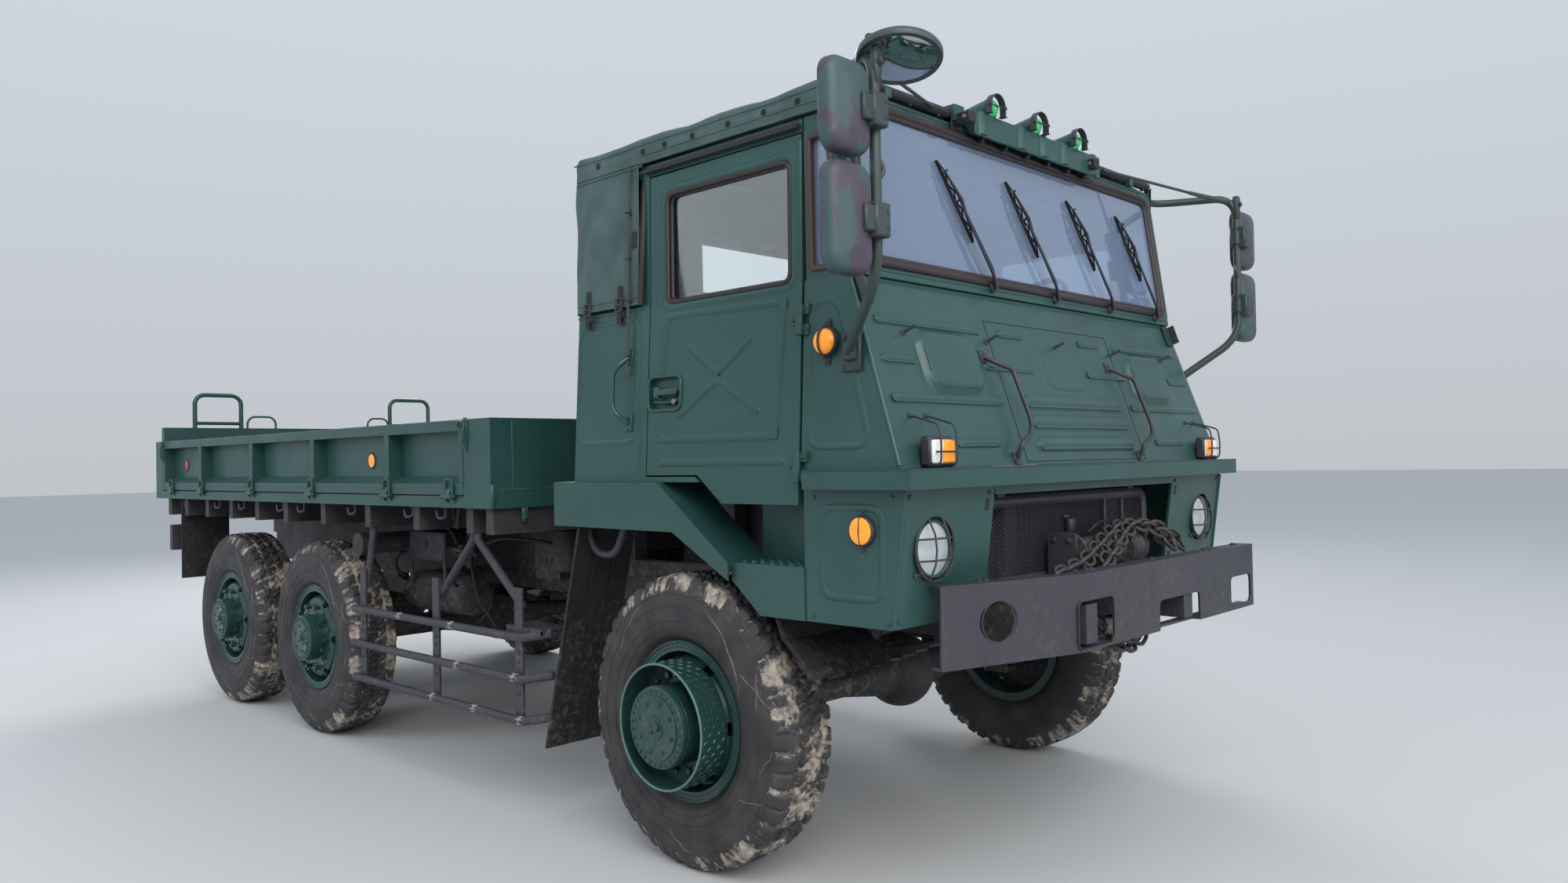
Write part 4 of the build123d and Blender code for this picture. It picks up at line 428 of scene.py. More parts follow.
class Piece:
    """Points and faces gathered for one visible piece."""

    def __init__(self):
        self.points = []
        self.faces = []

    def add(self, points, faces):
        base = len(self.points)
        self.points += [tuple(p) for p in points]
        self.faces += [tuple(base + index for index in face) for face in faces]

    def block(self, centre, size, bevel=0.003, axes=None):
        """A box with its edges bevelled; axes are its three unit directions."""
        centre = Vector(centre)
        axes = axes or (Vector((1, 0, 0)), Vector((0, 1, 0)), Vector((0, 0, 1)))
        bevel = min(bevel, min(size) * 0.3)
        mesh = bmesh.new()
        bmesh.ops.create_cube(mesh, size=1)
        for vert in mesh.verts:
            vert.co = Vector([c * s for c, s in zip(vert.co, size)])
        if bevel > 0:
            bmesh.ops.bevel(mesh, geom=mesh.edges[:], offset=bevel, segments=1, affect="EDGES")
        mesh.verts.index_update()
        points = [centre + axes[0] * v.co.x + axes[1] * v.co.y + axes[2] * v.co.z for v in mesh.verts]
        self.add(points, [[v.index for v in face.verts] for face in mesh.faces])
        mesh.free()

    def slab(self, low, high, bevel=0.003):
        low = Vector(low)
        high = Vector(high)
        size = [abs(b - a) for a, b in zip(low, high)]
        self.block((low + high) / 2, size, bevel)

    def sweep(self, path, radius, sides=10, closed=False, flat=1.0):
        """A tube along a path; flat squeezes it across."""
        points = [Vector(p) for p in path]
        radii = radius if isinstance(radius, (list, tuple)) else [radius] * len(points)
        rings = []
        for point, reach, (across, up) in zip(points, radii, frames_along(points, closed)):
            for side in range(sides):
                turn = 2 * math.pi * side / sides
                rings.append(point + across * math.cos(turn) * reach + up * math.sin(turn) * reach * flat)
        faces = quads(len(points), sides, closed)
        if not closed:
            faces += caps(len(points), sides)
        self.add(rings, faces)

    def rod(self, start, end, radius, sides=16, end_radius=None):
        radii = [radius, radius if end_radius is None else end_radius]
        self.sweep((start, end), radii, sides)

    def lathe(self, origin, axis, profile, sides=48):
        """A turned shape; profile lists distances along the axis and radii."""
        origin = Vector(origin)
        axis = Vector(axis).normalized()
        across = axis.orthogonal().normalized()
        up = axis.cross(across)
        points = []
        for reach, radius in profile:
            for side in range(sides):
                turn = 2 * math.pi * side / sides
                points.append(origin + axis * reach + (across * math.cos(turn) + up * math.sin(turn)) * radius)
        self.add(points, quads(len(profile), sides) + caps(len(profile), sides))

    def disc(self, centre, axis, radius, height, sides=24, edge=0.15):
        """A short cylinder with its outer edge eased."""
        ease = min(height, radius) * edge
        self.lathe(centre, axis, ((0, radius), (height - ease, radius), (height, radius - ease)), sides)

    def bolt(self, centre, axis, radius, height=None):
        """A hexagon head on its washer."""
        height = height or radius * 0.8
        self.disc(centre, axis, radius * 1.35, height * 0.25, 16)
        self.lathe(centre, axis, ((0, radius), (height * 0.85, radius), (height, radius * 0.82)), 6)

    def bead(self, path, outward, width, rise, closed=False):
        """A pressed bead on a surface, half round, its ends running out."""
        points = [Vector(p) for p in path]
        if not closed:
            lead = (points[1] - points[0]).normalized() * width * 0.5
            tail = (points[-1] - points[-2]).normalized() * width * 0.5
            points = [points[0] - lead, points[0] - lead * 0.6] + points + [
                points[-1] + tail * 0.6, points[-1] + tail
            ]
        count = len(points)
        shape = 7
        rings = []
        for index, point in enumerate(points):
            ahead = points[(index + 1) % count] if closed or index + 1 < count else point
            behind = points[index - 1] if closed or index > 0 else point
            cross = (ahead - behind).normalized().cross(outward).normalized()
            scale = 1.0
            if not closed:
                scale = {0: 0.05, 1: 0.75, count - 1: 0.05, count - 2: 0.75}.get(index, 1.0)
            for step in range(shape):
                t = step / (shape - 1) * 2 - 1
                lift = (1 - t**2) ** 1.2 * rise * scale - 0.0006
                rings.append(point + cross * t * width / 2 * scale + outward * lift)
        faces = []
        for row in range(count if closed else count - 1):
            below = row * shape
            above = ((row + 1) % count) * shape
            faces += [(below + s, above + s, above + s + 1, below + s + 1) for s in range(shape - 1)]
        self.add(rings, faces)

    def plate(self, outline, thickness):
        """A flat plate from its outline, thickness as a vector."""
        thickness = Vector(thickness)
        points = [Vector(p) for p in outline]
        faces = caps(2, len(points)) + quads(2, len(points))
        self.add(points + [p + thickness for p in points], faces)

    def build(self, name, material, smooth, body="truck"):
        mesh = outward_mesh(name, self.points, self.faces)
        return dress(bpy.data.objects.new(name, mesh), material, body, smooth)


def dress(piece, material, body, smooth):
    """Link a mesh object, shade it smooth below an angle and set it on its body."""
    bpy.context.scene.collection.objects.link(piece)
    piece.data.materials.append(material)
    piece.data.polygons.foreach_set("use_smooth", [True] * len(piece.data.polygons))
    piece.data.set_sharp_from_angle(angle=math.radians(smooth))
    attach(piece, body)
    return piece


def ring_of(centre, axis, radius, count, start=0.0):
    """Evenly spaced points on a circle round an axis."""
    axis = Vector(axis).normalized()
    across = Vector((0, 0, 1)) if abs(axis.z) < 0.9 else Vector((1, 0, 0))
    across = (across - axis * across.dot(axis)).normalized()
    up = axis.cross(across)
    turns = [start + 2 * math.pi * index / count for index in range(count)]
    return [Vector(centre) + (across * math.cos(t) + up * math.sin(t)) * radius for t in turns]


def loop_on(place, corners, reach, steps=6):
    """A closed path with rounded corners, laid on a surface by place(a, b)."""
    flat = [Vector((a, b, 0)) for a, b in corners]
    count = len(flat)
    path = []
    for index, corner in enumerate(flat):
        start = corner + (flat[index - 1] - corner).normalized() * reach
        end = corner + (flat[(index + 1) % count] - corner).normalized() * reach
        for step in range(steps + 1):
            t = step / steps
            path.append(start * (1 - t) ** 2 + corner * 2 * t * (1 - t) + end * t**2)
    return [place(p.x, p.y) for p in path]


def line_on(place, start, end, steps=8):
    return [place(*(a + (b - a) * step / steps for a, b in zip(start, end))) for step in range(steps + 1)]


# Tyres: carcass, lugs and the mud on them, one mesh per wheel

lug_pitches = 24
cells_per_pitch = 22
tread_reach = 0.5425
groove_depth = 0.017
tread_half = 0.092
tyre_profile = (
    # distance from the tyre's middle, radius
    (0.097, 0.262),
    (0.099, 0.292),
    (0.108, 0.303),
    (0.12, 0.31),
    (0.129, 0.322),
    (0.136, 0.345),
    (0.1405, 0.372),
    (0.1425, 0.398),
    (0.1418, 0.425),
    (0.1385, 0.452),
    (0.1335, 0.474),
    (0.128, 0.49),
)


def wave(value, pitch, size):
    """A triangle wave, as the zigzag grooves follow."""
    return size * (abs((value / pitch) % 1 - 0.5) * 4 - 1)


def notch(distance, half_width, ease):
    """1 inside a groove, 0 outside it, with a sloping wall."""
    return min(1.0, max(0.0, (half_width + ease - abs(distance)) / ease))


def tread_depth(turn, x):
    """How deep the tread is cut at a turn in pitches and a distance across."""
    half_turn = turn + (0.5 if x < 0 else 0.0)
    side = abs(x)
    cut = 0.0
    slant = side * 2.4
    whole = abs((half_turn + slant) % 1 - 0.5)
    if side > 0.052:
        cut = max(cut, notch((0.5 - whole) * 0.142, 0.011, 0.006))
        cut = max(cut, 0.85 * notch(whole * 0.142, 0.0045, 0.004) * min(1.0, (side - 0.052) / 0.01))
    if side < 0.075:
        rib = abs(side - 0.056 - wave(half_turn, 0.5, 0.006))
        cut = max(cut, notch(rib, 0.0055, 0.005))
    if side < 0.056:
        slot = abs((turn * 2 + x * 9) % 1 - 0.5)
        cut = max(cut, 0.9 * notch((0.5 - slot) * 0.071, 0.0055, 0.005))
        cut = max(cut, 0.9 * notch(abs(x - wave(turn, 0.5, 0.01)), 0.0045, 0.005))
        sipe = abs((turn * 2 + 0.5 + x * 9) % 1 - 0.5)
        cut = max(cut, 0.5 * notch((0.5 - sipe) * 0.071, 0.0015, 0.003))
    return cut


def tyre_mesh(name, seed):
    """Tyre about its own middle, its axle along X, with a mud attribute on its points."""
    columns = lug_pitches * cells_per_pitch
    tread = [(x / 1000) for x in range(-90, 91, 5)]
    left = [(-x, r) for x, r in tyre_profile]
    right = [(x, r) for x, r in reversed(tyre_profile)]
    fall = ((0.1245, 0.5), (0.118, 0.511), (0.11, 0.524), (0.101, 0.536))
    rows = left + [(-x, r) for x, r in fall] + [(x, None) for x in tread]
    rows += [(x, r) for x, r in reversed(fall)] + right
    points = np.zeros((columns, len(rows), 3))
    mud = np.zeros((columns, len(rows)))
    for column in range(columns):
        turn = column / cells_per_pitch
        angle = 2 * math.pi * column / columns
        spin = Vector((0, math.cos(angle), math.sin(angle)))
        for row, (x, radius) in enumerate(rows):
            side = abs(x)
            deep = 0.0
            if radius is None:
                deep = tread_depth(turn, x)
                reach = tread_reach - 0.004 * (side / tread_half) ** 3 - groove_depth * deep
            elif radius > 0.488:
                deep = tread_depth(turn, x) * min(1.0, (radius - 0.47) / 0.03)
                reach = radius - groove_depth * 0.9 * deep
            else:
                reach = radius
            spot = Vector((x * 9, spin.y * 5, spin.z * 5)) + Vector((seed * 3.1, 0, 0))
            rough = noise.noise(spot * 1.1)
            fine = noise.noise(spot * 5)
            if radius is None or radius > 0.488:
                packed = max(0.0, rough * 0.5 + 0.35) * (0.35 + 0.65 * deep)
                reach += packed * 0.5 * groove_depth * deep + 0.0012 * fine - 0.0012
                laid = 0.26 + 0.24 * deep + 0.45 * rough + 0.25 * fine
            else:
                near_tread = max(0.0, (radius - 0.44) / 0.05)
                laid = 0.02 + 0.12 * rough + 0.3 * near_tread
            points[column, row] = (x, spin.y * reach, spin.z * reach)
            mud[column, row] = min(1.0, max(0.0, laid))
    width = len(rows)
    faces = []
    for column in range(columns):
        beside = (column + 1) % columns
        for row in range(width):
            over = (row + 1) % width
            faces.append((column * width + row, beside * width + row, beside * width + over, column * width + over))
    mesh = bpy.data.meshes.new(name)
    mesh.from_pydata(points.reshape(-1, 3).tolist(), [], faces)
    layer = mesh.attributes.new("mud", "FLOAT", "POINT")
    layer.data.foreach_set("value", mud.reshape(-1))
    return mesh


def dress_tyres():
    shared = tyre_mesh("tyre", 1)
    for index, wheel in enumerate(wheel_names):
        node = f"tyre_{wheel}"
        mesh = shared.copy()
        place = Matrix.Translation(middle(node)) @ Matrix.Rotation(0.7 * index, 4, "X")
        if wheel.endswith("right"):
            place = place @ Matrix.Rotation(math.pi, 4, "Z")
        mesh.transform(place)
        piece = bpy.data.objects.new(f"tread_{wheel}", mesh)
        dress(piece, tyre_skin, f"wheel_{wheel}", 32)
        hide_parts(node)


dress_tyres()


# Cab sides: beads, seals, handles, hinges and the rear quarters


def side_loop(side, corners, reach, out=0.0):
    return loop_on(lambda a, b: on_side(side, a, b, out), corners, reach)


door_panel = ((0.1065, 1.836), (0.092, 2.046), (-0.524, 2.032), (-0.49, 1.577), (0.128, 1.58), (0.1215, 1.672))
door_strokes = (
    ((-0.041, 1.919), (-0.195, 1.812), (-0.358, 1.92)),
    ((0.011, 1.667), (-0.201, 1.79), (-0.4, 1.669)),
)
door_window = ((0.092, 2.096), (-0.545, 2.096), (-0.545, 2.508), (0.092, 2.508))
handle_spot = (0.095, 1.754)
door_hinge_heights = (1.47, 1.96)


def dress_door(side, word):
    body = f"door_{word}"
    outward = side_out(side)

    def place(a, b, out=0.0):
        return on_side(side, a, b, out)

    pressed = Piece()
    pressed.bead(rounded([place(*spot) for spot in door_panel], 0.05), outward, 0.034, 0.0085)
    for stroke in door_strokes:
        pressed.bead(rounded([place(*spot) for spot in stroke], 0.03), outward, 0.034, 0.0085)
    pressed.bead([place(0.1, 1.494), place(-0.2, 1.493), place(-0.518, 1.492)], outward, 0.034, 0.0085)
    pressed.build(f"door_beads_{word}", green, 60, body)

    frame_edge = Piece()
    wide = ((0.112, 2.076), (-0.565, 2.076), (-0.565, 2.528), (0.112, 2.528))
    frame_edge.bead(side_loop(side, wide, 0.05), outward, 0.03, 0.006, closed=True)
    for offset in (0.15, -0.592):
        frame_edge.bead([place(offset, 2.1), place(offset, 2.35), place(offset, 2.565)], outward, 0.018, 0.005)
    frame_edge.build(f"window_frame_{word}", green, 60, body)

    rubber = Piece()
    rubber.sweep(side_loop(side, door_window, 0.04, -0.003), 0.0095, 8, closed=True)
    inner = ((0.086, 2.102), (-0.539, 2.102), (-0.539, 2.502), (0.086, 2.502))
    rubber.sweep(side_loop(side, inner, 0.036, -0.02), 0.009, 8, closed=True)
    for z in (2.585, 1.452):
        rubber.sweep(
            [place(0.185, z, -0.012), place(-0.2, z, -0.012), place(-0.596 if z > 2 else -0.08, z, -0.012)], 0.006, 6
        )
    rubber.build(f"window_seal_{word}", seal, 60, body)

    handle = Piece()
    y, z = handle_spot
    rim = ((y + 0.094, z - 0.064), (y - 0.094, z - 0.064), (y - 0.094, z + 0.064), (y + 0.094, z + 0.064))
    handle.sweep(side_loop(side, rim, 0.034, 0.002), 0.0065, 8, closed=True)
    axes = turned_axes(outward)
    handle.block(place(y - 0.01, z + 0.004, 0.006), (0.128, 0.014, 0.024), 0.006, axes)
    handle.block(place(y + 0.042, z + 0.004, 0.001), (0.03, 0.024, 0.044), 0.006, axes)
    handle.bead(
        [place(y + 0.06, z - 0.03, -0.006), place(y, z - 0.036, -0.004), place(y - 0.062, z - 0.03, -0.006)], outward,
        0.016, 0.01
    )
    handle.build(f"door_handle_{word}", green, 50, body)

    lock = Piece()
    lock.disc(place(y - 0.052, z - 0.034, -0.016), outward, 0.011, 0.02, 20)
    lock.block(place(y - 0.052, z - 0.034, 0.005), (0.0022, 0.002, 0.01), 0.0003, axes)
    lock.build(f"door_lock_{word}", steel, 40, body)

    fixings = Piece()
    for height in door_hinge_heights:
        for offset in (-0.588, -0.574):
            fixings.bolt(place(offset, height, 0.0135), outward, 0.0052)
    for offset, height in ((-0.572, 2.3), (-0.572, 2.17), (-0.572, 2.43)):
        fixings.disc(place(offset - 0.015, height, 0.001), outward, 0.005, 0.002, 12)
    fixings.build(f"door_fixings_{word}", green, 30, body)


quarter_panel = ((0.641, 1.575), (0.257, 1.575), (0.257, 2.05), (0.641, 2.05))
front_panel = ((-0.642, 1.536), (-0.905, 1.536), (-0.76, 2.017), (-0.642, 2.017))
rear_handle = ((0.31, 1.907), (0.325, 1.872), (0.344, 1.84), (0.344, 1.712), (0.322, 1.68), (0.306, 1.648))
buckles = ((0.564, 2.114), (0.358, 2.114))


def dress_cab_side(side, word):
    outward = side_out(side)

    def place(a, b, out=0.0):
        return on_side(side, a, b, out)

    axes = turned_axes(outward)
    pressed = Piece()
    pressed.bead(side_loop(side, quarter_panel, 0.07), outward, 0.026, 0.006, closed=True)
    pressed.bead(side_loop(side, front_panel, 0.06), outward, 0.026, 0.006, closed=True)
    pressed.bead([place(0.235, 1.46), place(0.235, 1.8), place(0.235, 2.08)], outward, 0.014, 0.004)
    pressed.bead([place(0.22, 2.092), place(0.43, 2.092), place(0.65, 2.092)], outward, 0.016, 0.006)
    pressed.build(f"quarter_beads_{word}", green, 60)

    grip = Piece()
    reaches = (0.006, 0.046, 0.056, 0.056, 0.046, 0.006)
    grip.sweep(rounded([place(a, b, out) for (a, b), out in zip(rear_handle, reaches)], 0.02), 0.0095, 12)
    for a, b in (rear_handle[0], rear_handle[-1]):
        grip.block(place(a, b, 0.003), (0.044, 0.006, 0.064), 0.003, axes)
        for step in (-0.022, 0.022):
            grip.bolt(place(a, b + step, 0.006), outward, 0.0065)
    grip.build(f"grab_handle_{word}", green, 40)

    straps = Piece()
    clasps = Piece()
    for a, b in buckles:
        straps.block(place(a, b + 0.002, 0.021), (0.026, 0.004, 0.15), 0.001, axes)
        straps.block(place(a, b - 0.048, 0.008), (0.026, 0.016, 0.02), 0.002, axes)
        for edge in (-0.019, 0.019):
            clasps.rod(place(a + edge, b - 0.024, 0.026), place(a + edge, b + 0.026, 0.026), 0.0035, 8)
        for level in (-0.024, 0.001, 0.026):
            clasps.rod(place(a - 0.019, b + level, 0.026), place(a + 0.019, b + level, 0.026), 0.0035, 8)
        clasps.block(place(a, b - 0.06, 0.004), (0.036, 0.007, 0.034), 0.002, axes)
        clasps.bolt(place(a, b - 0.066, 0.0075), outward, 0.005)
    straps.block(place(0.262, 2.36, 0.021), (0.03, 0.006, 0.06), 0.002, axes)
    straps.build(f"curtain_straps_{word}", black, 40)
    clasps.build(f"curtain_buckles_{word}", dark, 40)

    rail = Piece()
    for lift, depth in ((2.618, 0.012), (2.61, 0.019)):
        rail.sweep([place(0.225, lift, depth), place(-0.2, lift, depth), place(-0.6, lift, depth)], 0.0062, 6)
    rail.block(place(0.23, 2.33, 0.008), (0.026, 0.014, 0.46), 0.003, axes)
    rail.build(f"drip_rail_{word}", seal, 50)

    light = Piece()
    across = roof_x
    spots = ((-0.634, 2.127), (-0.767, 2.127), (-0.717, 2.57), (-0.634, 2.57))
    edge = loop_on(lambda a, b: Vector((side * (across - 0.001), front_y + a, b)), spots, 0.022)
    light.sweep(edge, 0.012, 8, closed=True)
    light.sweep([p - Vector((side * 0.012, 0, 0)) for p in edge], 0.011, 8, closed=True)
    light.build(f"quarter_light_seal_{word}", plain(f"seal_brown_{word}", srgb(66, 46, 44), 0.5), 60)

    hinge = Piece()
    for height in door_hinge_heights:
        for offset in (-0.624, -0.64):
            for step in (-0.034, 0.034):
                hinge.bolt(place(offset, height + step, 0.0135), outward, 0.0052)
        spine = [place(-0.606, height - 0.052, 0.0155), place(-0.606, height + 0.052, 0.0155)]
        hinge.rod(spine[0], spine[1], 0.0075, 12)
    hinge.build(f"hinge_pins_{word}", green, 30)

    ball = Piece()
    centre = place(-0.722, 1.876, 0.0)
    ball.lathe(centre, outward, ((0.002, 0.047), (0.012, 0.049), (0.022, 0.047)), 32)
    for step in (-0.058, 0.058):
        ball.block(centre + axes[2] * step + outward * 0.005, (0.022, 0.006, 0.034), 0.002, axes)
        ball.bolt(centre + axes[2] * step * 1.12 + outward * 0.008, outward, 0.005)
    strap = [
        centre + axes[2] * step + outward * out for step,
        out in (
            (-0.053, 0.006), (-0.045, 0.034), (-0.022, 0.051), (0, 0.054), (0.022, 0.051), (0.045, 0.034),
            (0.053, 0.006)
        )
    ]
    ball.sweep(strap, 0.0042, 6)
    ball.build(f"side_lamp_ring_{word}", dark, 40)
    glass = Piece()
    dome = [(0.02, 0.043)] + [(0.02 + 0.03 * math.sin(t), 0.043 * math.cos(t)) for t in (0.3, 0.6, 0.9, 1.2, 1.45)]
    glass.lathe(centre, outward, dome, 32)
    glass.build(f"side_lamp_lens_{word}", amber, 60)


for side, word in sides:
    dress_door(side, word)
    dress_cab_side(side, word)


# Twisted line that laces the front edge of the curtain


def twisted_line(piece, start, end, radius, turns, strands=2, steps_per_turn=10):
    start = Vector(start)
    end = Vector(end)
    run = (end - start).normalized()
    across = run.orthogonal().normalized()
    up = run.cross(across)
    total = int(turns * steps_per_turn)
    for strand in range(strands):
        phase = 2 * math.pi * strand / strands
        path = []
        for step in range(total + 1):
            angle = phase + 2 * math.pi * step / steps_per_turn
            path.append(
                start.lerp(end, step / total) + (across * math.cos(angle) + up * math.sin(angle)) * radius * 0.62
            )
        piece.sweep(path, radius * 0.72, 6)


for side, word in sides:
    line = Piece()
    top = on_side(side, 0.29, 2.64, 0.024)
    low = on_side(side, 0.3, 2.115, 0.024)
    foot = on_side(side, 0.306, 1.94, 0.016)
    twisted_line(line, top, low, 0.005, 26)
    twisted_line(line, low, foot, 0.005, 9)
    knot = on_side(side, 0.306, 1.93, 0.014)
    for turn in range(3):
        ring = ring_of(knot + Vector((0, 0, -0.008 * turn)), (0, 0.25, 1), 0.009, 10)
        line.sweep(ring, 0.0042, 6, closed=True)
    line.sweep(
        [
            knot + Vector((0, 0.002, -0.02)), knot + Vector((side * 0.004, 0.006, -0.06)),
            knot + Vector((0, 0.004, -0.095))
        ],
        (0.0045, 0.0045, 0.006), 6
    )
    line.build(f"lacing_line_{word}", plain(f"line_{word}", srgb(66, 70, 62), 0.8, spread=0.4), 50)
    rings = Piece()
    for height in (2.47, 2.29, 2.13):
        rings.sweep(ring_of(on_side(side, 0.294, height, 0.026), (0, 0, 1), 0.0125, 14), 0.0028, 6, closed=True)
        rings.block(on_side(side, 0.294, height, 0.019), (0.004, 0.03, 0.02), 0.0015)
    rings.build(f"line_rings_{word}", dark, 40)


# Nose: beads, ribs, covers, seams, pegs, handles and indicators

nose_bars = (
    # centre across, height, length
    (-0.805, 1.945, 0.594),
    (0.806, 1.945, 0.603),
    (-0.298, 1.945, 0.171),
    (0.301, 1.945, 0.168),
    (-1.036, 1.815, 0.171),
    (1.048, 1.815, 0.171),
    (-0.37, 1.815, 0.33),
    (0.342, 1.815, 0.23),
    (-0.805, 1.686, 0.635),
    (0.837, 1.686, 0.642),
    (-0.72, 1.54, 0.244),
    (0.752, 1.54, 0.243),
)


def nose_height(up):
    """Height of a point that lies up metres along the slope from the nose's foot."""
    return nose_foot.z + up / math.hypot(1, nose_lean)


def pad_on_nose(piece, x, up, width, tall, rise, soft=0.045, grid=26):
    """A soft raised pad pressed in the nose, its shoulders fading into the skin."""
    points = []
    for row in range(grid + 1):
        for column in range(grid + 1):
            a = (column / grid * 2 - 1)
            b = (row / grid * 2 - 1)
            reach_x = a * (width / 2 + soft * 0.35)
            reach_z = b * (tall / 2 + soft * 0.35)
            corner = 0.06
            dx = max(abs(reach_x) - (width / 2 - corner), 0)
            dz = max(abs(reach_z) - (tall / 2 - corner), 0)
            gap = corner - math.hypot(dx, dz)
            t = min(1.0, max(0.0, (gap + soft * 0.35) / (soft * 0.7)))
            lift = rise * t * t * (3 - 2 * t)
            points.append(on_nose(x + reach_x, nose_height(up + reach_z), lift - 0.0008))
    piece.add(points, quads(grid + 1, grid + 1, round_about=False))


def dress_nose():
    pressed = Piece()
    for x, z, length in nose_bars:
        pressed.bead(
            line_on(on_nose, (x - length / 2 + 0.012, z), (x + length / 2 - 0.012, z)), nose_out, 0.036, 0.0105
        )
    for z in (1.692, 1.615, 1.535):
        pressed.bead(line_on(on_nose, (-0.325, z), (0.377, z)), nose_out, 0.064, 0.015)
    pressed.build("nose_beads", green, 60)
    pads = Piece()
    for x, up in ((-0.745, 0.376), (0.745, 0.376)):
        pad_on_nose(pads, x, up, 0.324, 0.21, 0.0225)
    pad_on_nose(pads, 0.023, 0.405, 0.322, 0.208, 0.006, 0.02)
    pads.build("nose_pads", green, 60)

    seams = Piece()
    tall = on_nose(0, 1.99) - on_nose(0, 1.47)
    slope = tall.normalized()
    on_slope = (Vector((1, 0, 0)), nose_out, slope)
    for x in (-0.452, 0.47):
        seams.block(on_nose(x, 1.728, 0.0004), (0.0034, 0.0012, tall.length), 0, on_slope)
    seams.block(on_nose(0.009, 1.989, 0.0004), (0.925, 0.0012, 0.0034), 0, on_slope)
    seams.block(on_nose(0.009, 1.474, 0.0004), (0.925, 0.0012, 0.0034), 0, on_slope)
    seams.build("nose_seams", black, 30)

    pegs = Piece()
    for x, z in ((-0.967, 1.908), (-0.476, 1.909), (-0.002, 1.912), (0.472, 1.912), (0.956, 1.916)):
        base = on_nose(x, z)
        lean = (nose_out + Vector((0.22, 0, 0.12))).normalized()
        pegs.rod(base, base + lean * 0.05, 0.0062, 12, 0.0052)
        pegs.disc(base, nose_out, 0.012, 0.004, 16)
    pegs.build("nose_pegs", dark, 40)

    holds = Piece()
    left = (
        (-0.533, 1.85), (-0.517, 1.812), (-0.446, 1.79), (-0.43, 1.599), (-0.464, 1.552), (-0.527, 1.522),
        (-0.523, 1.484)
    )
    right = (
        (0.404, 1.852), (0.428, 1.814), (0.503, 1.79), (0.52, 1.59), (0.488, 1.548), (0.417, 1.52), (0.418, 1.483)
    )
    outs = (0.006, 0.04, 0.052, 0.052, 0.052, 0.04, 0.006)
    for path in (left, right):
        holds.sweep(rounded([on_nose(x, z, out) for (x, z), out in zip(path, outs)], 0.022), 0.0088, 12)
        for x, z in (path[0], path[-1]):
            holds.block(on_nose(x, z, 0.003), (0.036, 0.006, 0.048), 0.003, on_slope)
            holds.bolt(on_nose(x + 0.01, z + 0.008, 0.006), nose_out, 0.006)
            holds.bolt(on_nose(x - 0.01, z - 0.008, 0.006), nose_out, 0.006)
    holds.build("nose_handles", dark, 40)

    edges = Piece()
    for side in (-1, 1):
        corner = [
            Vector((side * (sill_x - (z - sill_z) * side_lean - 0.006), on_nose(0, z).y + 0.004, z))
            for z in (1.47, 1.62, 1.78, 1.94, 2.08)
        ]
        edges.sweep(corner, 0.0085, 8)
    edges.sweep([on_nose(x, 2.086, -0.004) for x in (-1.15, -0.4, 0.4, 1.15)], 0.01, 8)
    edges.build("nose_edges", green, 60)


indicator_low, indicator_high = 1.47, 1.556


def dress_indicators():
    """Square lamps on the ledge, white toward the side and amber toward the middle, with wire guards."""
    cases = Piece()
    whites = Piece()
    ambers = Piece()
    wires = Piece()
    front = front_y - 1.066
    for side in (-1, 1):
        x = side * 1.026
        cases.slab(
            (x - 0.064, front + 0.004, indicator_low - 0.006), (x + 0.064, front + 0.05, indicator_high + 0.006), 0.01
        )
        whites.slab(
            (x - 0.057 * side, front - 0.002, indicator_low + 0.006),
            (x + 0.057 * side, front + 0.012, indicator_high - 0.006), 0.008
        )
        ambers.slab(
            (x - side * 0.056, front - 0.005, indicator_low + 0.007),
            (x + side * 0.012, front + 0.01, indicator_high - 0.007), 0.006
        )
        for edge in (-0.042, 0.044):
            foot = on_nose(x + edge, 1.628, 0.003)
            wires.sweep(
                rounded(
                    [
                        foot,
                        Vector((x + edge, front - 0.012, 1.598)),
                        Vector((x + edge, front - 0.02, 1.54)),
                        Vector((x + edge, front - 0.018, 1.474)),
                        Vector((x + edge, front + 0.01, 1.4655)),
                    ],
                    0.02,
                ),
                0.0036,
                8,
            )
            wires.disc(foot - nose_out * 0.003, nose_out, 0.009, 0.006, 12)
        wires.sweep(
            [
                Vector((x - 0.06, front - 0.014, 1.512)), Vector((x, front - 0.024, 1.512)),
                Vector((x + 0.06, front - 0.014, 1.512))
            ],
            0.0034, 8
        )
    cases.build("indicator_cases", dark, 40)
    whites.build("indicator_white", white_lens, 40)
    ambers.build("indicator_amber", amber, 40)
    wires.build("indicator_guards", dark, 40)


dress_nose()
dress_indicators()


# Ledge, lower skirt and headlamps

skirt_top = Vector((0, -1.034, 1.398))
skirt_low = Vector((0, -0.976, 0.964))
skirt_lean = (skirt_low.y - skirt_top.y) / (skirt_top.z - skirt_low.z)
skirt_out = Vector((0, -1, -skirt_lean)).normalized()
skirt_side = 1.192
lamp_spot = (1.016, 1.206)
lamp_y = front_y - 1.0
guard_radius = 0.1035


def on_skirt(x, z, out=0.0):
    y = front_y + skirt_top.y + (skirt_top.z - z) * skirt_lean
    return Vector((x, y, z)) + skirt_out * out


def on_skirt_side(side, a, b, out=0.0):
    return Vector((side * (skirt_side + out), front_y + a, b))


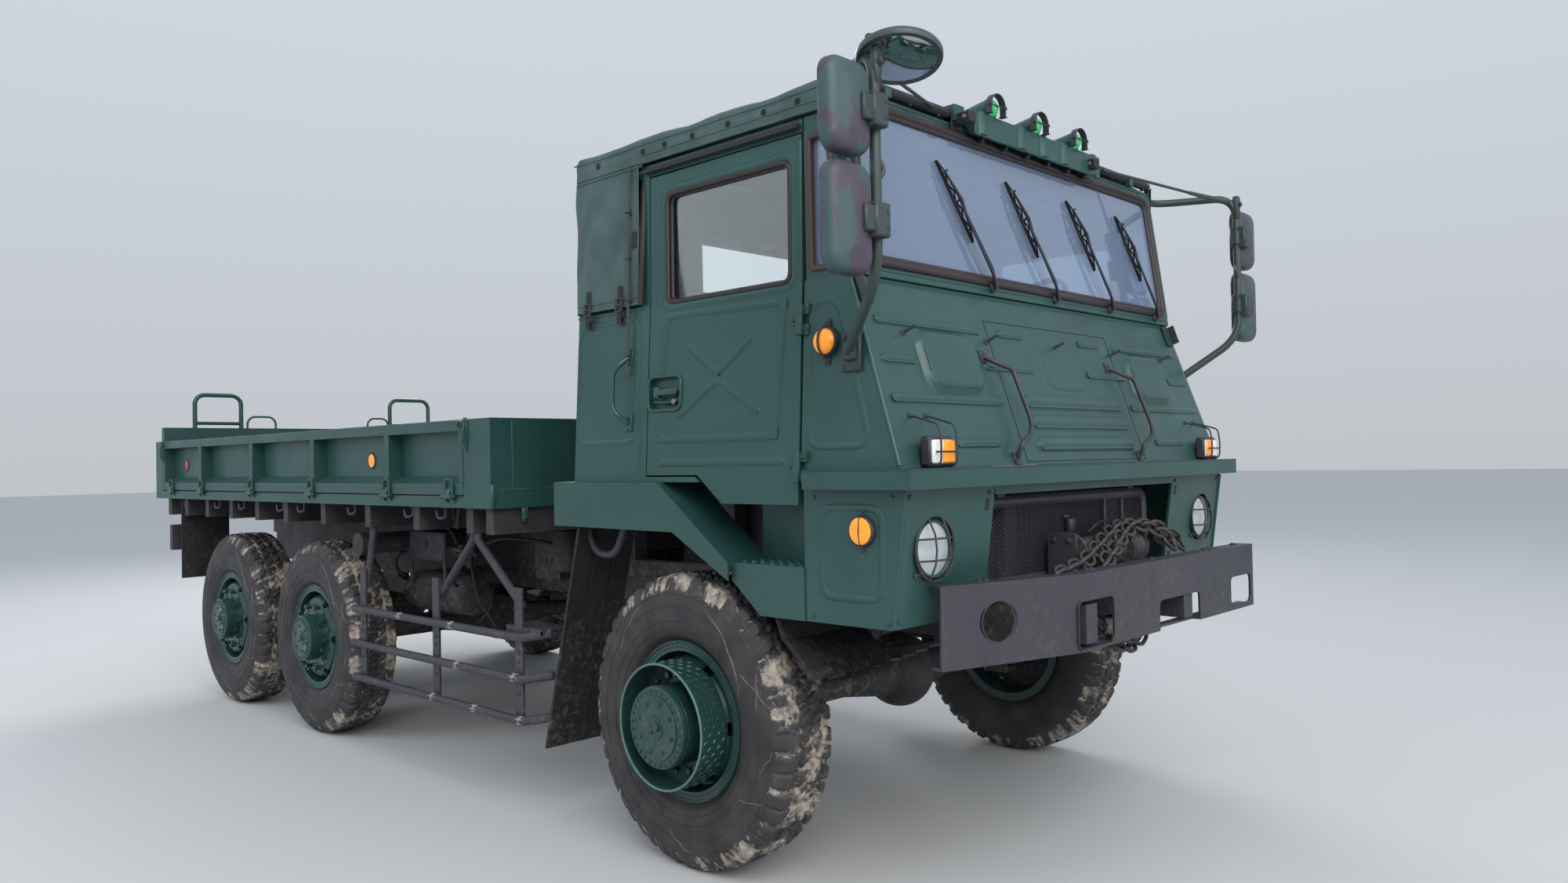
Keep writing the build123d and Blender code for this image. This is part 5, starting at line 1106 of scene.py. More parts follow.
def dress_skirt():
    pressed = Piece()
    trim = Piece()
    dark_holes = Piece()
    for side in (-1, 1):
        outward = Vector((side, 0, 0))
        raised = ((-0.692, 1.052), (-0.944, 1.052), (-0.944, 1.34), (-0.692, 1.34))
        pressed.bead(
            loop_on(lambda a, b: on_skirt_side(side, a, b), raised, 0.055), outward, 0.028, 0.007, closed=True
        )
        for a, b in ((-0.985, 1.372), (-0.66, 1.372), (-0.96, 0.985), (-0.65, 0.985)):
            trim.bolt(on_skirt_side(side, a, b), outward, 0.0075)
        for x, z in ((1.16, 1.375), (0.72, 1.375), (1.16, 0.99), (0.72, 0.99)):
            trim.bolt(on_skirt(side * x, z), skirt_out, 0.0075)
        # Black plates where the skirt's slots are: painted shade in the openings.
        for x, z in ((0.728, 1.335), (0.728, 1.05)):
            dark_holes.block(
                on_skirt(side * x, z, 0.0006), (0.02, 0.0014, 0.042), 0,
                (Vector((1, 0, 0)), skirt_out, Vector((1, 0, 0)).cross(skirt_out))
            )
        trim.rod(on_skirt(side * 1.187, 1.392, 0.001), on_skirt(side * 1.187, 0.968, 0.001), 0.007, 8)
    pressed.build("skirt_beads", green, 60)
    trim.build("skirt_bolts", green, 40)
    dark_holes.build("skirt_slots", black, 30)

    seam = Piece()
    for side in (-1, 1):
        seam.slab(
            (side * 1.2365 - 0.001, front_y - 1.09, 1.4555), (side * 1.2365 + 0.001, front_y - 0.652, 1.4595), 0.0004
        )
    seam.slab((-1.235, front_y - 1.0935, 1.4565), (1.235, front_y - 1.0915, 1.4595), 0.0004)
    seam.build("ledge_seam", dark, 40)

    reflectors = Piece()
    bands = Piece()
    for side in (-1, 1):
        centre = on_skirt_side(side, -0.868, 1.268, 0.0)
        outward = Vector((side, 0, 0))
        reflectors.lathe(
            centre, outward, ((0.008, 0.043), (0.016, 0.043), (0.02, 0.036), (0.022, 0.02), (0.0225, 0.002)), 36
        )
        bands.lathe(centre, outward, ((0.001, 0.05), (0.01, 0.05), (0.014, 0.047)), 36)
        bands.sweep(
            [
                centre + outward * 0.016 + Vector((0, 0, 0.06)), centre + outward * 0.0245,
                centre + outward * 0.016 - Vector((0, 0, 0.06))
            ],
            0.0022, 6
        )
        for step in (-0.062, 0.062):
            bands.bolt(centre + Vector((0, 0, step)), outward, 0.006)
    reflectors.build("skirt_reflectors", amber, 50)
    bands.build("skirt_reflector_bands", dark, 40)


# The headlamp glass's 0.1 emission is a painted glow that lights it from within.
lamp_white = lens("headlamp_lens", srgb(168, 174, 176), 0.1)


def dress_headlamps():
    bowls = Piece()
    panes = Piece()
    rims = Piece()
    wires = Piece()
    for side in (-1, 1):
        x, z = lamp_spot
        centre = Vector((side * x, lamp_y, z))
        ahead = Vector((0, -1, 0))
        bowl = [(-0.06, 0.012), (-0.056, 0.03), (-0.044, 0.052), (-0.026, 0.07), (-0.006, 0.082), (0.004, 0.0855)]
        bowls.lathe(centre, ahead, bowl, 40)
        rims.lathe(
            centre, ahead,
            ((-0.05, 0.0925), (0.0, 0.0945), (0.01, 0.094), (0.015, 0.09), (0.012, 0.0845), (0.004, 0.0835)), 48
        )
        pane_radius = 0.0845
        points = []
        for row in range(13):
            radius = pane_radius * (1 - row / 12) ** 0.85
            for step in range(64):
                turn = 2 * math.pi * step / 64
                x_off, z_off = radius * math.cos(turn), radius * math.sin(turn)
                flute = 0.0009 * math.cos(x_off * 2 * math.pi / 0.014) * (1 - (radius / pane_radius) ** 6)
                depth = 0.006 + 0.013 * (1 - (radius / pane_radius) ** 2) + flute
                points.append(centre + Vector((x_off, -depth, z_off)))
        panes.add(points, quads(13, 64) + caps(13, 64)[:1])
        ring = ring_of(centre + ahead * 0.018, ahead, guard_radius, 36)
        wires.sweep(ring, 0.0036, 8, closed=True)
        for upright, reach, halfway, front in ((True, 0.036, 0.044, 0.05), (False, 0.034, 0.042, 0.047)):
            for step in (-reach, reach):
                half = math.sqrt(guard_radius**2 - step**2)
                curve = ((-half, 0.02), (-half * 0.5, halfway), (0, front), (half * 0.5, halfway), (half, 0.02))
                wires.sweep(
                    [
                        centre + Vector((step, -out, run) if upright else (run, -out, step)) for run, out in curve
                    ], 0.0034, 8
                )
        for angle in (0.7, 2.4, 3.9, 5.5):
            cosine, sine = math.cos(angle), math.sin(angle)
            spot = centre + Vector((cosine * guard_radius, -0.018, sine * guard_radius))
            wires.rod(spot, spot + Vector((cosine * 0.01, 0.014, sine * 0.01)), 0.0036, 8)
            wires.disc(spot + Vector((cosine * 0.012, 0.018, sine * 0.012)), ahead, 0.009, 0.005, 12)
    bowls.build("headlamp_bowls", silver, 60)
    rims.build("headlamp_rims", green, 50)
    panes_piece = panes.build("headlamp_glass", lamp_white, 60)
    wires.build("headlamp_guards", dark, 50)
    shells = Piece()
    for side in (-1, 1):
        x, z = lamp_spot
        centre = Vector((side * x, lamp_y, z))
        shells.lathe(centre, (0, -1, 0), ((-0.0615, 0.02), (-0.058, 0.06), (-0.045, 0.088), (-0.04, 0.0915)), 40)
        shells.slab((side * x - 0.02, front_y - 0.916, z), (side * x + 0.02, front_y - 0.886, 1.3697), 0.003)
    shells.build("headlamp_shells", under, 50)
    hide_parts("headlamps")


dress_skirt()
dress_headlamps()


def ribbon(piece, path, across, width, thickness):
    """A flat band along a path; across is the direction of its width."""
    points = [Vector(p) for p in path]
    across = Vector(across).normalized()
    corners = []
    for index, point in enumerate(points):
        ahead = points[min(index + 1, len(points) - 1)]
        behind = points[max(index - 1, 0)]
        normal = (ahead - behind).normalized().cross(across).normalized()
        for a, b in ((-1, -1), (1, -1), (1, 1), (-1, 1)):
            corners.append(point + across * a * width / 2 + normal * b * thickness / 2)
    piece.add(corners, quads(len(points), 4) + caps(len(points), 4))


def outline_of(half_wide, half_tall, corner, steps=6):
    """Points round a rectangle with rounded corners, about its middle."""
    points = []
    corner = max(0.0008, min(corner, half_wide, half_tall))
    for quarter, (a, b) in enumerate(((1, 1), (-1, 1), (-1, -1), (1, -1))):
        for step in range(steps + 1):
            angle = math.pi / 2 * (quarter + step / steps)
            points.append(
                (
                    a * (half_wide - corner) + corner * math.cos(angle),
                    b * (half_tall - corner) + corner * math.sin(angle)
                )
            )
    return points


def pillow(piece, centre, axes, half_wide, half_tall, corner, depth, soft, crown=0.0, rings=7):
    """A moulded shell that stands depth proud of a plane, its rim eased over soft metres and its face crowned."""
    right, up, out = axes
    centre = Vector(centre)
    levels = [(0.0, 0.0)]
    for step in range(1, rings + 1):
        angle = math.pi / 2 * step / rings
        levels.append((soft * (1 - math.cos(angle)), depth - soft + soft * math.sin(angle)))
    for inset in (0.35, 0.65, 0.9):
        reach = soft + (min(half_wide, half_tall) - soft) * inset
        levels.append((reach, depth + crown * (1 - (1 - inset) ** 2)))
    loops = []
    for inset, rise in levels:
        ring = outline_of(
            max(half_wide - inset, 0.002), max(half_tall - inset, 0.002), max(corner - inset * 0.8, 0.004)
        )
        loops.append([centre + right * a + up * b + out * rise for a, b in ring])
    count = len(loops[0])
    piece.add([p for loop in loops for p in loop], caps(len(loops), count) + quads(len(loops), count))


# Windscreen: rubber, corner gussets and the rail over it

screen_corners = ((-1.112, 2.141), (1.112, 2.141), (1.074, 2.686), (-1.074, 2.686))
roof_rail_y = -0.752
roof_rail_z = 2.757


def dress_windscreen():
    rubber = Piece()
    edge = loop_on(lambda a, b: on_screen(a, b, 0.005), screen_corners, 0.055)
    rubber.sweep(edge, 0.015, 10, closed=True)
    inner = ((-1.094, 2.157), (1.094, 2.157), (1.058, 2.67), (-1.058, 2.67))
    rubber.sweep(loop_on(lambda a, b: on_screen(a, b, 0.0), inner, 0.045), 0.012, 8, closed=True)
    rubber.build("windscreen_rubber", seal, 60)
    frame_edge = Piece()
    outer = ((-1.146, 2.118), (1.146, 2.118), (1.108, 2.718), (-1.108, 2.718))
    frame_edge.sweep(loop_on(lambda a, b: on_screen(a, b, 0.002), outer, 0.03), 0.0085, 8, closed=True)
    for side in (-1, 1):
        for z in (2.2, 2.4, 2.6):
            lean = (z - 2.141) / 0.545 * 0.038
            frame_edge.bolt(on_screen(side * (1.134 - lean), z, 0.006), screen_out, 0.006)
    for x in (-0.95, -0.6, -0.25, 0.1, 0.45, 0.8, 1.0):
        frame_edge.bolt(on_screen(x, 2.706, 0.006), screen_out, 0.005)
    frame_edge.build("windscreen_edge", green, 50)

    rail = Piece()
    y = front_y + roof_rail_y
    rail.sweep([(-1.105, y, roof_rail_z), (-0.45, y, roof_rail_z)], 0.0185, 14)
    rail.sweep([(0.53, y, roof_rail_z), (1.105, y, roof_rail_z)], 0.0185, 14)
    for side in (-1, 1):
        rail.sweep(
            rounded(
                [(side * 1.095, y, roof_rail_z), (side * 1.125, y + 0.004, 2.742), (side * 1.14, y + 0.02, 2.665)],
                0.03
            ),
            0.013, 10
        )
        rail.plate(
            [
                (side * 1.118, y - 0.016, 2.752), (side * 1.118, y + 0.05, 2.7), (side * 1.15, y + 0.06, 2.64),
                (side * 1.152, y + 0.006, 2.636)
            ],
            (side * 0.006, 0, 0)
        )
        for x in (0.58, 0.75, 0.93, 1.06):
            rail.disc((side * x, y, roof_rail_z - 0.004), (0, 0, -1), 0.01, 0.02, 12)
    rail.build("roof_rail_cover", black, 50)

    stubs = Piece()
    ends = Piece()
    for x in (-0.49, 0.445):
        stubs.slab((x - 0.022, y - 0.092, roof_rail_z - 0.044), (x + 0.022, y - 0.01, roof_rail_z - 0.004), 0.003)
        stubs.slab((x - 0.03, y - 0.02, roof_rail_z - 0.06), (x + 0.03, y + 0.02, roof_rail_z + 0.012), 0.004)
        ends.bolt((x + 0.0225, y - 0.068, roof_rail_z - 0.024), (1, 0, 0), 0.007)
        ends.bolt((x - 0.0225, y - 0.068, roof_rail_z - 0.024), (-1, 0, 0), 0.007)
    for x in (-0.36, -0.2, -0.04, 0.12, 0.28, 0.42):
        stubs.slab((x - 0.008, y - 0.052, 2.672), (x + 0.008, y - 0.024, 2.694), 0.002)
        stubs.rod((x, y - 0.04, 2.69), (x, y - 0.04, 2.716), 0.005, 8)
    stubs.build("light_bar_clamps", black, 40)
    ends.build("light_bar_bolts", steel, 30)


def dress_light_bar():
    bar = Piece()
    front = front_y + roof_rail_y - 0.062
    top = roof_rail_z + 0.019
    low = top - 0.086
    for x in (-0.38, -0.105, 0.06, 0.225, 0.47):
        wide, narrow = 0.026, 0.014
        path = [
            (low + 0.001, 0.0), (low + 0.004, 0.01), (top - 0.006, 0.01), (top + 0.006, 0.002), (top + 0.006, -0.1)
        ]
        rows = []
        for z, out in path:
            for a, lift in ((-wide, -0.002), (-narrow, 1.0), (narrow, 1.0), (wide, -0.002)):
                rise = out if lift == 1.0 else min(out, 0.0) - 0.0005
                height = z if lift == 1.0 else min(z, top - 0.0005)
                rows.append((x + a, front - rise, height))
        bar.add(rows, quads(len(path), 4, round_about=False))
    for x in (-0.43, 0.52):
        bar.plate(
            [
                (x, front, low), (x, front, top), (x, front + 0.1, top), (x, front + 0.06, top - 0.02),
                (x, front + 0.02, low)
            ],
            (0.004 if x > 0 else -0.004, 0, 0)
        )
    bar.rod((-0.43, front + 0.001, low), (0.52, front + 0.001, low), 0.0045, 8)
    bar.build("light_bar_ribs", green, 45)

    shells = Piece()
    lenses = Piece()
    hoops = Piece()
    lamp_z = top + 0.0305
    for index in (-1, 0, 1):
        x = index * 0.315
        centre = Vector((x, front_y + roof_rail_y - 0.03, lamp_z))
        ahead = Vector((0, -1, 0.02))
        shells.lathe(
            centre, ahead,
            (
                (-0.118, 0.006), (-0.114, 0.016), (-0.1, 0.021), (0.01, 0.0365), (0.02, 0.0385), (0.03, 0.0385),
                (0.032, 0.034), (0.02, 0.032)
            ),
            28
        )
        shells.slab((x - 0.016, centre.y - 0.012, top), (x + 0.016, centre.y + 0.016, lamp_z - 0.02), 0.003)
        shells.slab((x - 0.03, centre.y - 0.03, top - 0.001), (x + 0.03, centre.y + 0.034, top + 0.006), 0.003)
        dome = [(0.022, 0.0335)] + [
            (0.024 + 0.03 * math.sin(t), 0.0335 * math.cos(t)) for t in (0.15, 0.4, 0.7, 1.0, 1.3, 1.5)
        ]
        lenses.lathe(centre, ahead, dome, 28)
        arch = [
            Vector((x + 0.047 * math.cos(t), centre.y - 0.05, lamp_z + 0.002 + 0.046 * math.sin(t)))
            for t in [math.pi * k / 18 for k in range(19)]
        ]
        arch = [Vector((x + 0.047, centre.y - 0.05, top)), *arch, Vector((x - 0.047, centre.y - 0.05, top))]
        ribbon(hoops, arch, (0, 1, 0), 0.026, 0.0035)
        hoops.rod(
            (x - 0.062, centre.y - 0.058, lamp_z + 0.004), (x + 0.062, centre.y - 0.058, lamp_z + 0.004), 0.0028, 8
        )
        for end in (-1, 1):
            hoops.bolt((x + end * 0.05, centre.y - 0.058, lamp_z + 0.004), (end, 0, 0), 0.006)
            hoops.slab(
                (x + end * 0.047 - 0.01, centre.y - 0.064, top),
                (x + end * 0.047 + 0.01, centre.y - 0.036, top + 0.004), 0.001
            )
    shells.build("roof_lamp_shells", green, 50)
    lenses.build("roof_lamp_lenses", green_lens, 60)
    hoops_piece = hoops.build("roof_lamp_hoops", dark, 40)
    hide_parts("marker_lamps")


def dress_wipers():
    arms = Piece()
    blades = Piece()
    for x in (-0.356, 0.102, 0.569, 1.005):
        pivot = on_screen(x, 2.121, 0.016)
        arms.disc(on_screen(x, 2.121, 0.006), screen_out, 0.019, 0.014, 20)
        arms.bolt(on_screen(x, 2.121, 0.018), screen_out, 0.009, 0.01)
        head = on_screen(x - 0.022, 2.165, 0.036)
        elbow = on_screen(x - 0.18, 2.405, 0.034)
        arms.sweep(
            [on_screen(x, 2.112, 0.024), pivot + screen_out * 0.012, head, head.lerp(elbow, 0.5), elbow],
            [0.016, 0.015, 0.011, 0.008, 0.0055], 8, flat=0.55
        )
        arms.sweep(
            [on_screen(x + 0.03, 2.13, 0.014), on_screen(x - 0.002, 2.19, 0.026), on_screen(x - 0.15, 2.392, 0.028)],
            0.0028, 6
        )
        low = Vector((x - 0.092, 2.282, 0))
        high = Vector((x - 0.272, 2.56, 0))

        def along_blade(t, out, shift=0.0):
            spot = low.lerp(high, t)
            return on_screen(spot.x + shift * 0.84, spot.y + shift * 0.54, out)

        blades.sweep([along_blade(0.0, 0.005), along_blade(0.5, 0.004), along_blade(1.0, 0.005)], 0.0038, 6)
        blades.sweep([along_blade(t, 0.012) for t in (0.0, 0.5, 1.0)], 0.003, 6)
        for start, end in ((0.02, 0.3), (0.3, 0.5), (0.5, 0.72), (0.72, 0.98)):
            centre = (start + end) / 2
            blades.sweep([along_blade(start, 0.012), along_blade(centre, 0.024), along_blade(end, 0.012)], 0.0036, 6)
        blades.sweep(
            [along_blade(0.16, 0.024), along_blade(0.5, 0.038), along_blade(0.85, 0.024)], [0.004, 0.008, 0.004], 6
        )
        for t in (0.16, 0.5, 0.85):
            blades.rod(along_blade(t, 0.026, -0.012), along_blade(t, 0.026, 0.012), 0.0045, 8)
        blades.sweep(
            [along_blade(0.36, 0.02, 0.01), along_blade(0.52, 0.03, 0.013), along_blade(0.7, 0.02, 0.01)], 0.0032, 6
        )
    arms.build("wiper_arms", dark, 40)
    blades_piece = blades.build("wiper_blades", black, 40)
    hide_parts("wipers")


mirror_axes = (Vector((1, 0, 0)), Vector((0, 0, 1)), Vector((0, -1, 0)))
glass_axes = (mirror_axes[0], mirror_axes[1], Vector((0, 1, 0)))
mirror_heights = ((2.365, 2.64), (2.02, 2.345))
mirror_x = 1.465
mirror_y = front_y - 1.045
mirror_half = 0.0945
foot_y = front_y - 0.83
foot_z = 1.834


def dress_mirrors():
    tubes = Piece()
    clamps = Piece()
    shells = Piece()
    faces = Piece()
    bolts = Piece()
    pole_y = front_y - 1.075
    for side in (-1, 1):
        pole_x = side * 1.352
        foot_skin = sill_x - (foot_z - sill_z) * side_lean
        foot = Vector((side * (foot_skin + 0.03), foot_y, foot_z))
        path = [
            foot, (pole_x, pole_y, 2.03), (pole_x, pole_y, 2.69), (side * 1.198, front_y + roof_rail_y, 2.69),
            (side * 1.118, front_y + roof_rail_y, 2.69)
        ]
        tubes.sweep(rounded(path, 0.1), 0.017, 14)
        outward = side_out(side)
        axes = turned_axes(outward)
        clamps.block((side * (foot_skin + 0.008), foot_y, foot_z), (0.074, 0.016, 0.124), 0.006, axes)
        clamps.block((side * (foot_skin + 0.024), front_y - 0.832, 1.836), (0.044, 0.03, 0.06), 0.006, axes)
        for a, b in ((-0.026, -0.048), (0.026, -0.048), (-0.026, 0.048), (0.026, 0.048)):
            bolts.bolt(Vector((side * (foot_skin + 0.016), foot_y + a, foot_z + b)), outward, 0.007)
        for z0, z1 in mirror_heights:
            x = side * mirror_x
            half_tall = (z1 - z0) / 2
            middle_z = (z0 + z1) / 2
            pillow(shells, (x, mirror_y, middle_z), mirror_axes, mirror_half, half_tall, 0.055, 0.046, 0.036, 0.01)
            pillow(shells, (x, mirror_y, middle_z), glass_axes, mirror_half, half_tall, 0.055, 0.012, 0.006)
            pillow(
                faces, (x, front_y - 1.0345, middle_z), glass_axes, 0.083, half_tall - 0.012, 0.046, 0.0022, 0.0016
            )
            clamps.block((side * 1.372, front_y - 1.083, middle_z), (0.068, 0.074, 0.1), 0.006)
            clamps.block((side * 1.412, front_y - 1.094, middle_z), (0.064, 0.036, 0.076), 0.005)
            for step in (-0.022, 0.022):
                bolts.bolt((side * 1.352, front_y - 1.118, middle_z + step), (0, -1, 0), 0.006)
        corner = (Vector((1, 0, 0)), Vector((0, -nose_lean, -1)).normalized(), nose_out)
        spot = on_nose(side * 1.118, 2.04, 0.007)
        clamps.block(spot, (0.052, 0.1, 0.006), 0.001, corner)
        clamps.block(spot + nose_out * 0.016 + Vector((side * 0.028, 0, 0)), (0.006, 0.086, 0.036), 0.001, corner)
        for step in (-0.03, 0.0, 0.03):
            bolts.bolt(spot + corner[1] * step + nose_out * 0.003, nose_out, 0.007)
        for z in (2.18, 2.5):
            tubes.rod((pole_x, pole_y, z - 0.03), (pole_x, pole_y, z + 0.03), 0.0225, 16)
            bolts.bolt((pole_x, pole_y - 0.022, z), (0, -1, 0), 0.008)
        tubes.sweep(
            rounded(
                [
                    (pole_x + side * 0.002, pole_y, 2.3), (pole_x - side * 0.028, pole_y - 0.006, 2.33),
                    (pole_x - side * 0.028, pole_y - 0.006, 2.35), (pole_x, pole_y, 2.38)
                ],
                0.02
            ),
            0.008, 8
        )
        tubes.block((pole_x - side * 0.004, pole_y - 0.004, 2.64), (0.03, 0.03, 0.11), 0.006)
        bolts.bolt((pole_x - side * 0.004, pole_y - 0.02, 2.655), (0, -1, 0), 0.011)
        strut_start = Vector((pole_x - side * 0.01, pole_y + 0.02, 2.665))
        strut_end = Vector((side * 0.64, front_y + roof_rail_y - 0.02, 2.752))
        tubes.rod(strut_start, strut_start.lerp(strut_end, 0.12), 0.01, 10, 0.013)
        tubes.rod(strut_start.lerp(strut_end, 0.12), strut_start.lerp(strut_end, 0.34), 0.013, 10, 0.008)
        tubes.rod(strut_start.lerp(strut_end, 0.34), strut_end, 0.0065, 10)
    tubes.build("mirror_tubes", pole_paint, 50)
    clamps.build("mirror_clamps", pole_paint, 40)
    shells.build("mirror_shells", mirror_paint, 60)
    faces.build("mirror_faces", silver, 60)
    bolts_piece = bolts.build("mirror_bolts", dark, 30)
    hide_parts("mirrors")


def dress_convex_mirror():
    """Round mirror over the right front corner that shows the ground ahead."""
    down = Vector((-0.212, -0.154, -0.965)).normalized()
    centre = Vector((-1.25, front_y - 1.092, 2.7))
    rim = Piece()
    rim.lathe(
        centre, down,
        (
            (0.02, 0.125), (0.022, 0.128), (0.016, 0.131), (0.004, 0.131), (-0.002, 0.127), (-0.02, 0.104),
            (-0.036, 0.066), (-0.044, 0.028), (-0.045, 0.004)
        ),
        56
    )
    mount = centre - down * 0.04 + Vector((-0.04, 0.045, 0.004))
    rim.block(mount, (0.058, 0.046, 0.03), 0.008)
    rim.disc(centre - down * 0.036, -down, 0.034, 0.012, 24)
    rim.build("convex_mirror_shell", plain("convex_shell", srgb(56, 66, 68), 0.45), 50)
    glass = Piece()
    dome = [(0.016, 0.1245)] + [
        (0.016 + 0.02 * (1 - r * r), 0.1245 * r) for r in (0.94, 0.84, 0.7, 0.54, 0.36, 0.18, 0.02)
    ]
    glass.lathe(centre, down, dome, 56)
    glass.build("convex_mirror_glass", silver, 70)
    stem = Piece()
    ball = mount + Vector((-0.036, 0.006, 0.002))
    stem.sweep(
        rounded(
            [
                (-1.348, front_y - 1.072, 2.664), (-1.345, front_y - 1.085, 2.705), (-1.335, front_y - 1.07, 2.722),
                ball + Vector((-0.01, 0.0, -0.05)), ball
            ],
            0.03
        ),
        0.0095, 12
    )
    stem.lathe(ball, (1, 0, 0), ((-0.014, 0.006), (-0.01, 0.012), (0.0, 0.015), (0.01, 0.012), (0.02, 0.008)), 20)
    stem.build("convex_mirror_stem", dark, 50)


dress_windscreen()
dress_light_bar()
dress_wipers()
dress_mirrors()
dress_convex_mirror()


# Canvas roof: one sheet over the bows, down the quarters and across the rear

cloth_front = -0.7
cloth_rear = 0.667
curtain_front = 0.24
cloth_low = 2.106
valance_low = 2.646
cloth_half_low = 1.1735
cloth_half_top = 1.166
shoulder_z = 2.752
crown_z = 2.8
cloth_bend = 0.022  # radius of the bend from the valance to the crown
rear_round = 0.03  # radius of the rear panel's corners
window_half = 0.46
window_low = 2.23
window_high = 2.5
eyelet_spots = (-0.6, -0.44, -0.26, -0.07, 0.085, 0.215, 0.5)


def cloth_side_x(z):
    return cloth_half_top + (header_z - min(z, header_z)) / (header_z - cloth_low) * (cloth_half_low - cloth_half_top)


def cloth_crown(x):
    return crown_z - (crown_z - shoulder_z) * (x / cloth_half_top) ** 2


def cloth_shift(x, y, z):
    """How far the cloth stands off its smooth form, for folds and sag."""
    spot = Vector((x * 1.3, y * 3.1, z * 2.2))
    fold = noise.noise(spot * 2.1) * 0.0028 + noise.noise(spot * 6.3 + Vector((3, 1, 2))) * 0.0011
    if z < 2.7:
        drape = min(1.0, (2.7 - z) / 0.15) * min(1.0, max(0.0, (z - cloth_low) / 0.16))
        slant = (x if abs(y - cloth_rear) < 0.04 else y) + z * 0.6
        diagonal = math.sin(slant * 30 + 2.6 * noise.noise(Vector((y * 4, z * 2.5, x * 2)))) * noise.noise(
            Vector((y * 3.3, z * 3.1, 5 + x * 2))
        )
        fold += drape * (0.015 * diagonal + 0.005 * noise.noise(Vector((y * 11 + x * 7, z * 4, x))))
    else:
        fold += 0.0034 * math.cos((y - cloth_front) / 0.455 * 2 * math.pi) - 0.0026
        fold += 0.005 * noise.noise(Vector((x * 1.1 + y * 5.5, y * 3.0 - x, 2.0))) * min(
            1.0, abs(y - cloth_front) / 0.15
        )
    return max(-0.012, min(0.0085, fold))


def between(low, high):
    """Faces between two rows of point numbers."""
    return [(low[k], low[k + 1], high[k + 1], high[k]) for k in range(len(low) - 1)]


def canvas_mesh():
    points = []
    index = {}

    def vertex(x, y, z, out):
        shift = cloth_shift(x, y, z)
        spot = (round(x, 4), round(y, 4), round(z, 4))
        if spot not in index:
            index[spot] = len(points)
            points.append(Vector((x, front_y + y, z)) + Vector(out) * shift)
        return index[spot]

    faces = []
    ys = stretch(cloth_front, cloth_rear - rear_round, 72)
    rise = shoulder_z - cloth_bend - valance_low
    cross = [("side", valance_low + rise * (k / 12)) for k in range(12)]
    cross += [("bend", k / 4) for k in range(5)]
    cross += [("top", k / 36) for k in range(1, 36)]

    def cross_point(kind, value, side):
        if kind == "side":
            return side * cloth_side_x(value), value, (side, 0, 0)
        if kind == "bend":
            angle = math.pi / 2 * value
            x = cloth_half_top - cloth_bend + cloth_bend * math.cos(angle)
            z = shoulder_z - cloth_bend + cloth_bend * math.sin(angle)
            return side * x, z, (side * math.cos(angle), 0, math.sin(angle))
        x = (cloth_half_top - cloth_bend) * (1 - value)
        drop = (cloth_crown(cloth_half_top - cloth_bend) - shoulder_z) * (x / cloth_half_top) ** 4
        return side * x, cloth_crown(x) - drop, (0, 0, 1)

    drop_heights = stretch(cloth_low, valance_low, 34)
    for side in (-1, 1):
        rows = []
        for kind, value in cross:
            x, z, out = cross_point(kind, value, side)
            rows.append([vertex(x, y, z, out) for y in ys])
        rows.append([vertex(0.0, y, crown_z, (0, 0, 1)) for y in ys])
        for low, high in zip(rows, rows[1:]):
            faces += between(low, high)
        start = next(k for k, y in enumerate(ys) if y >= curtain_front)
        rows = [[vertex(side * cloth_side_x(z), y, z, (side, 0, 0)) for y in ys[start:]] for z in drop_heights]
        for low, high in zip(rows, rows[1:]):
            faces += between(low, high)

    # Rear panel with its rounded corners, open where the window is
    corner_steps = 5
    across = [("corner", k / corner_steps) for k in range(corner_steps)] + [("flat", k / 44) for k in range(45)]
    across += [("mirror", 1 - k / corner_steps) for k in range(1, corner_steps + 1)]

    def rear_point(kind, value, z):
        half = cloth_side_x(z)
        if kind == "flat":
            return -(half - rear_round) + 2 * (half - rear_round) * value, cloth_rear, (0, 1, 0)
        angle = math.pi / 2 * value
        sign = -1 if kind == "corner" else 1
        x = sign * (half - rear_round + rear_round * math.cos(angle))
        y = cloth_rear - rear_round + rear_round * math.sin(angle)
        return x, y, (sign * math.cos(angle), math.sin(angle), 0)

    heights = drop_heights + [cross_point("side", value, 1)[1] for kind, value in cross if kind == "side"][1:]
    heights.append(shoulder_z - cloth_bend)
    grid = []
    for z in heights:
        spots = [rear_point(kind, value, z) for kind, value in across]
        grid.append([vertex(x, y, z, out) for x, y, out in spots])
    for low, high in zip(grid, grid[1:]):
        for face in between(low, high):
            centre = sum((points[i] for i in face), Vector()) / 4
            in_window = abs(centre.x) < window_half and window_low < centre.z < window_high
            if not (in_window and centre.y > front_y + 0.6):
                faces.append(face)
    # Lid strip that joins the rear panel to the crown
    top_edge = grid[-1]
    roof_edge = []
    for kind, value in across:
        x, y = rear_point(kind, value, shoulder_z)[:2]
        x = max(-(cloth_half_top - 0.002), min(cloth_half_top - 0.002, x))
        roof_edge.append(vertex(x * 0.985, y - 0.016, cloth_crown(x) - 0.004, (0, 0.5, 0.8)))
    faces += between(top_edge, roof_edge)
    inner = []
    for kind, value in across:
        x = rear_point(kind, value, shoulder_z)[0]
        x = max(-(cloth_half_top - cloth_bend), min(cloth_half_top - cloth_bend, x))
        inner.append(vertex(x * 0.98, cloth_rear - 0.04, cloth_crown(x * 0.98) - 0.0015, (0, 0, 1)))
    faces += between(roof_edge, inner)
    return outward_mesh("canvas_sheet", [tuple(p) for p in points], faces)


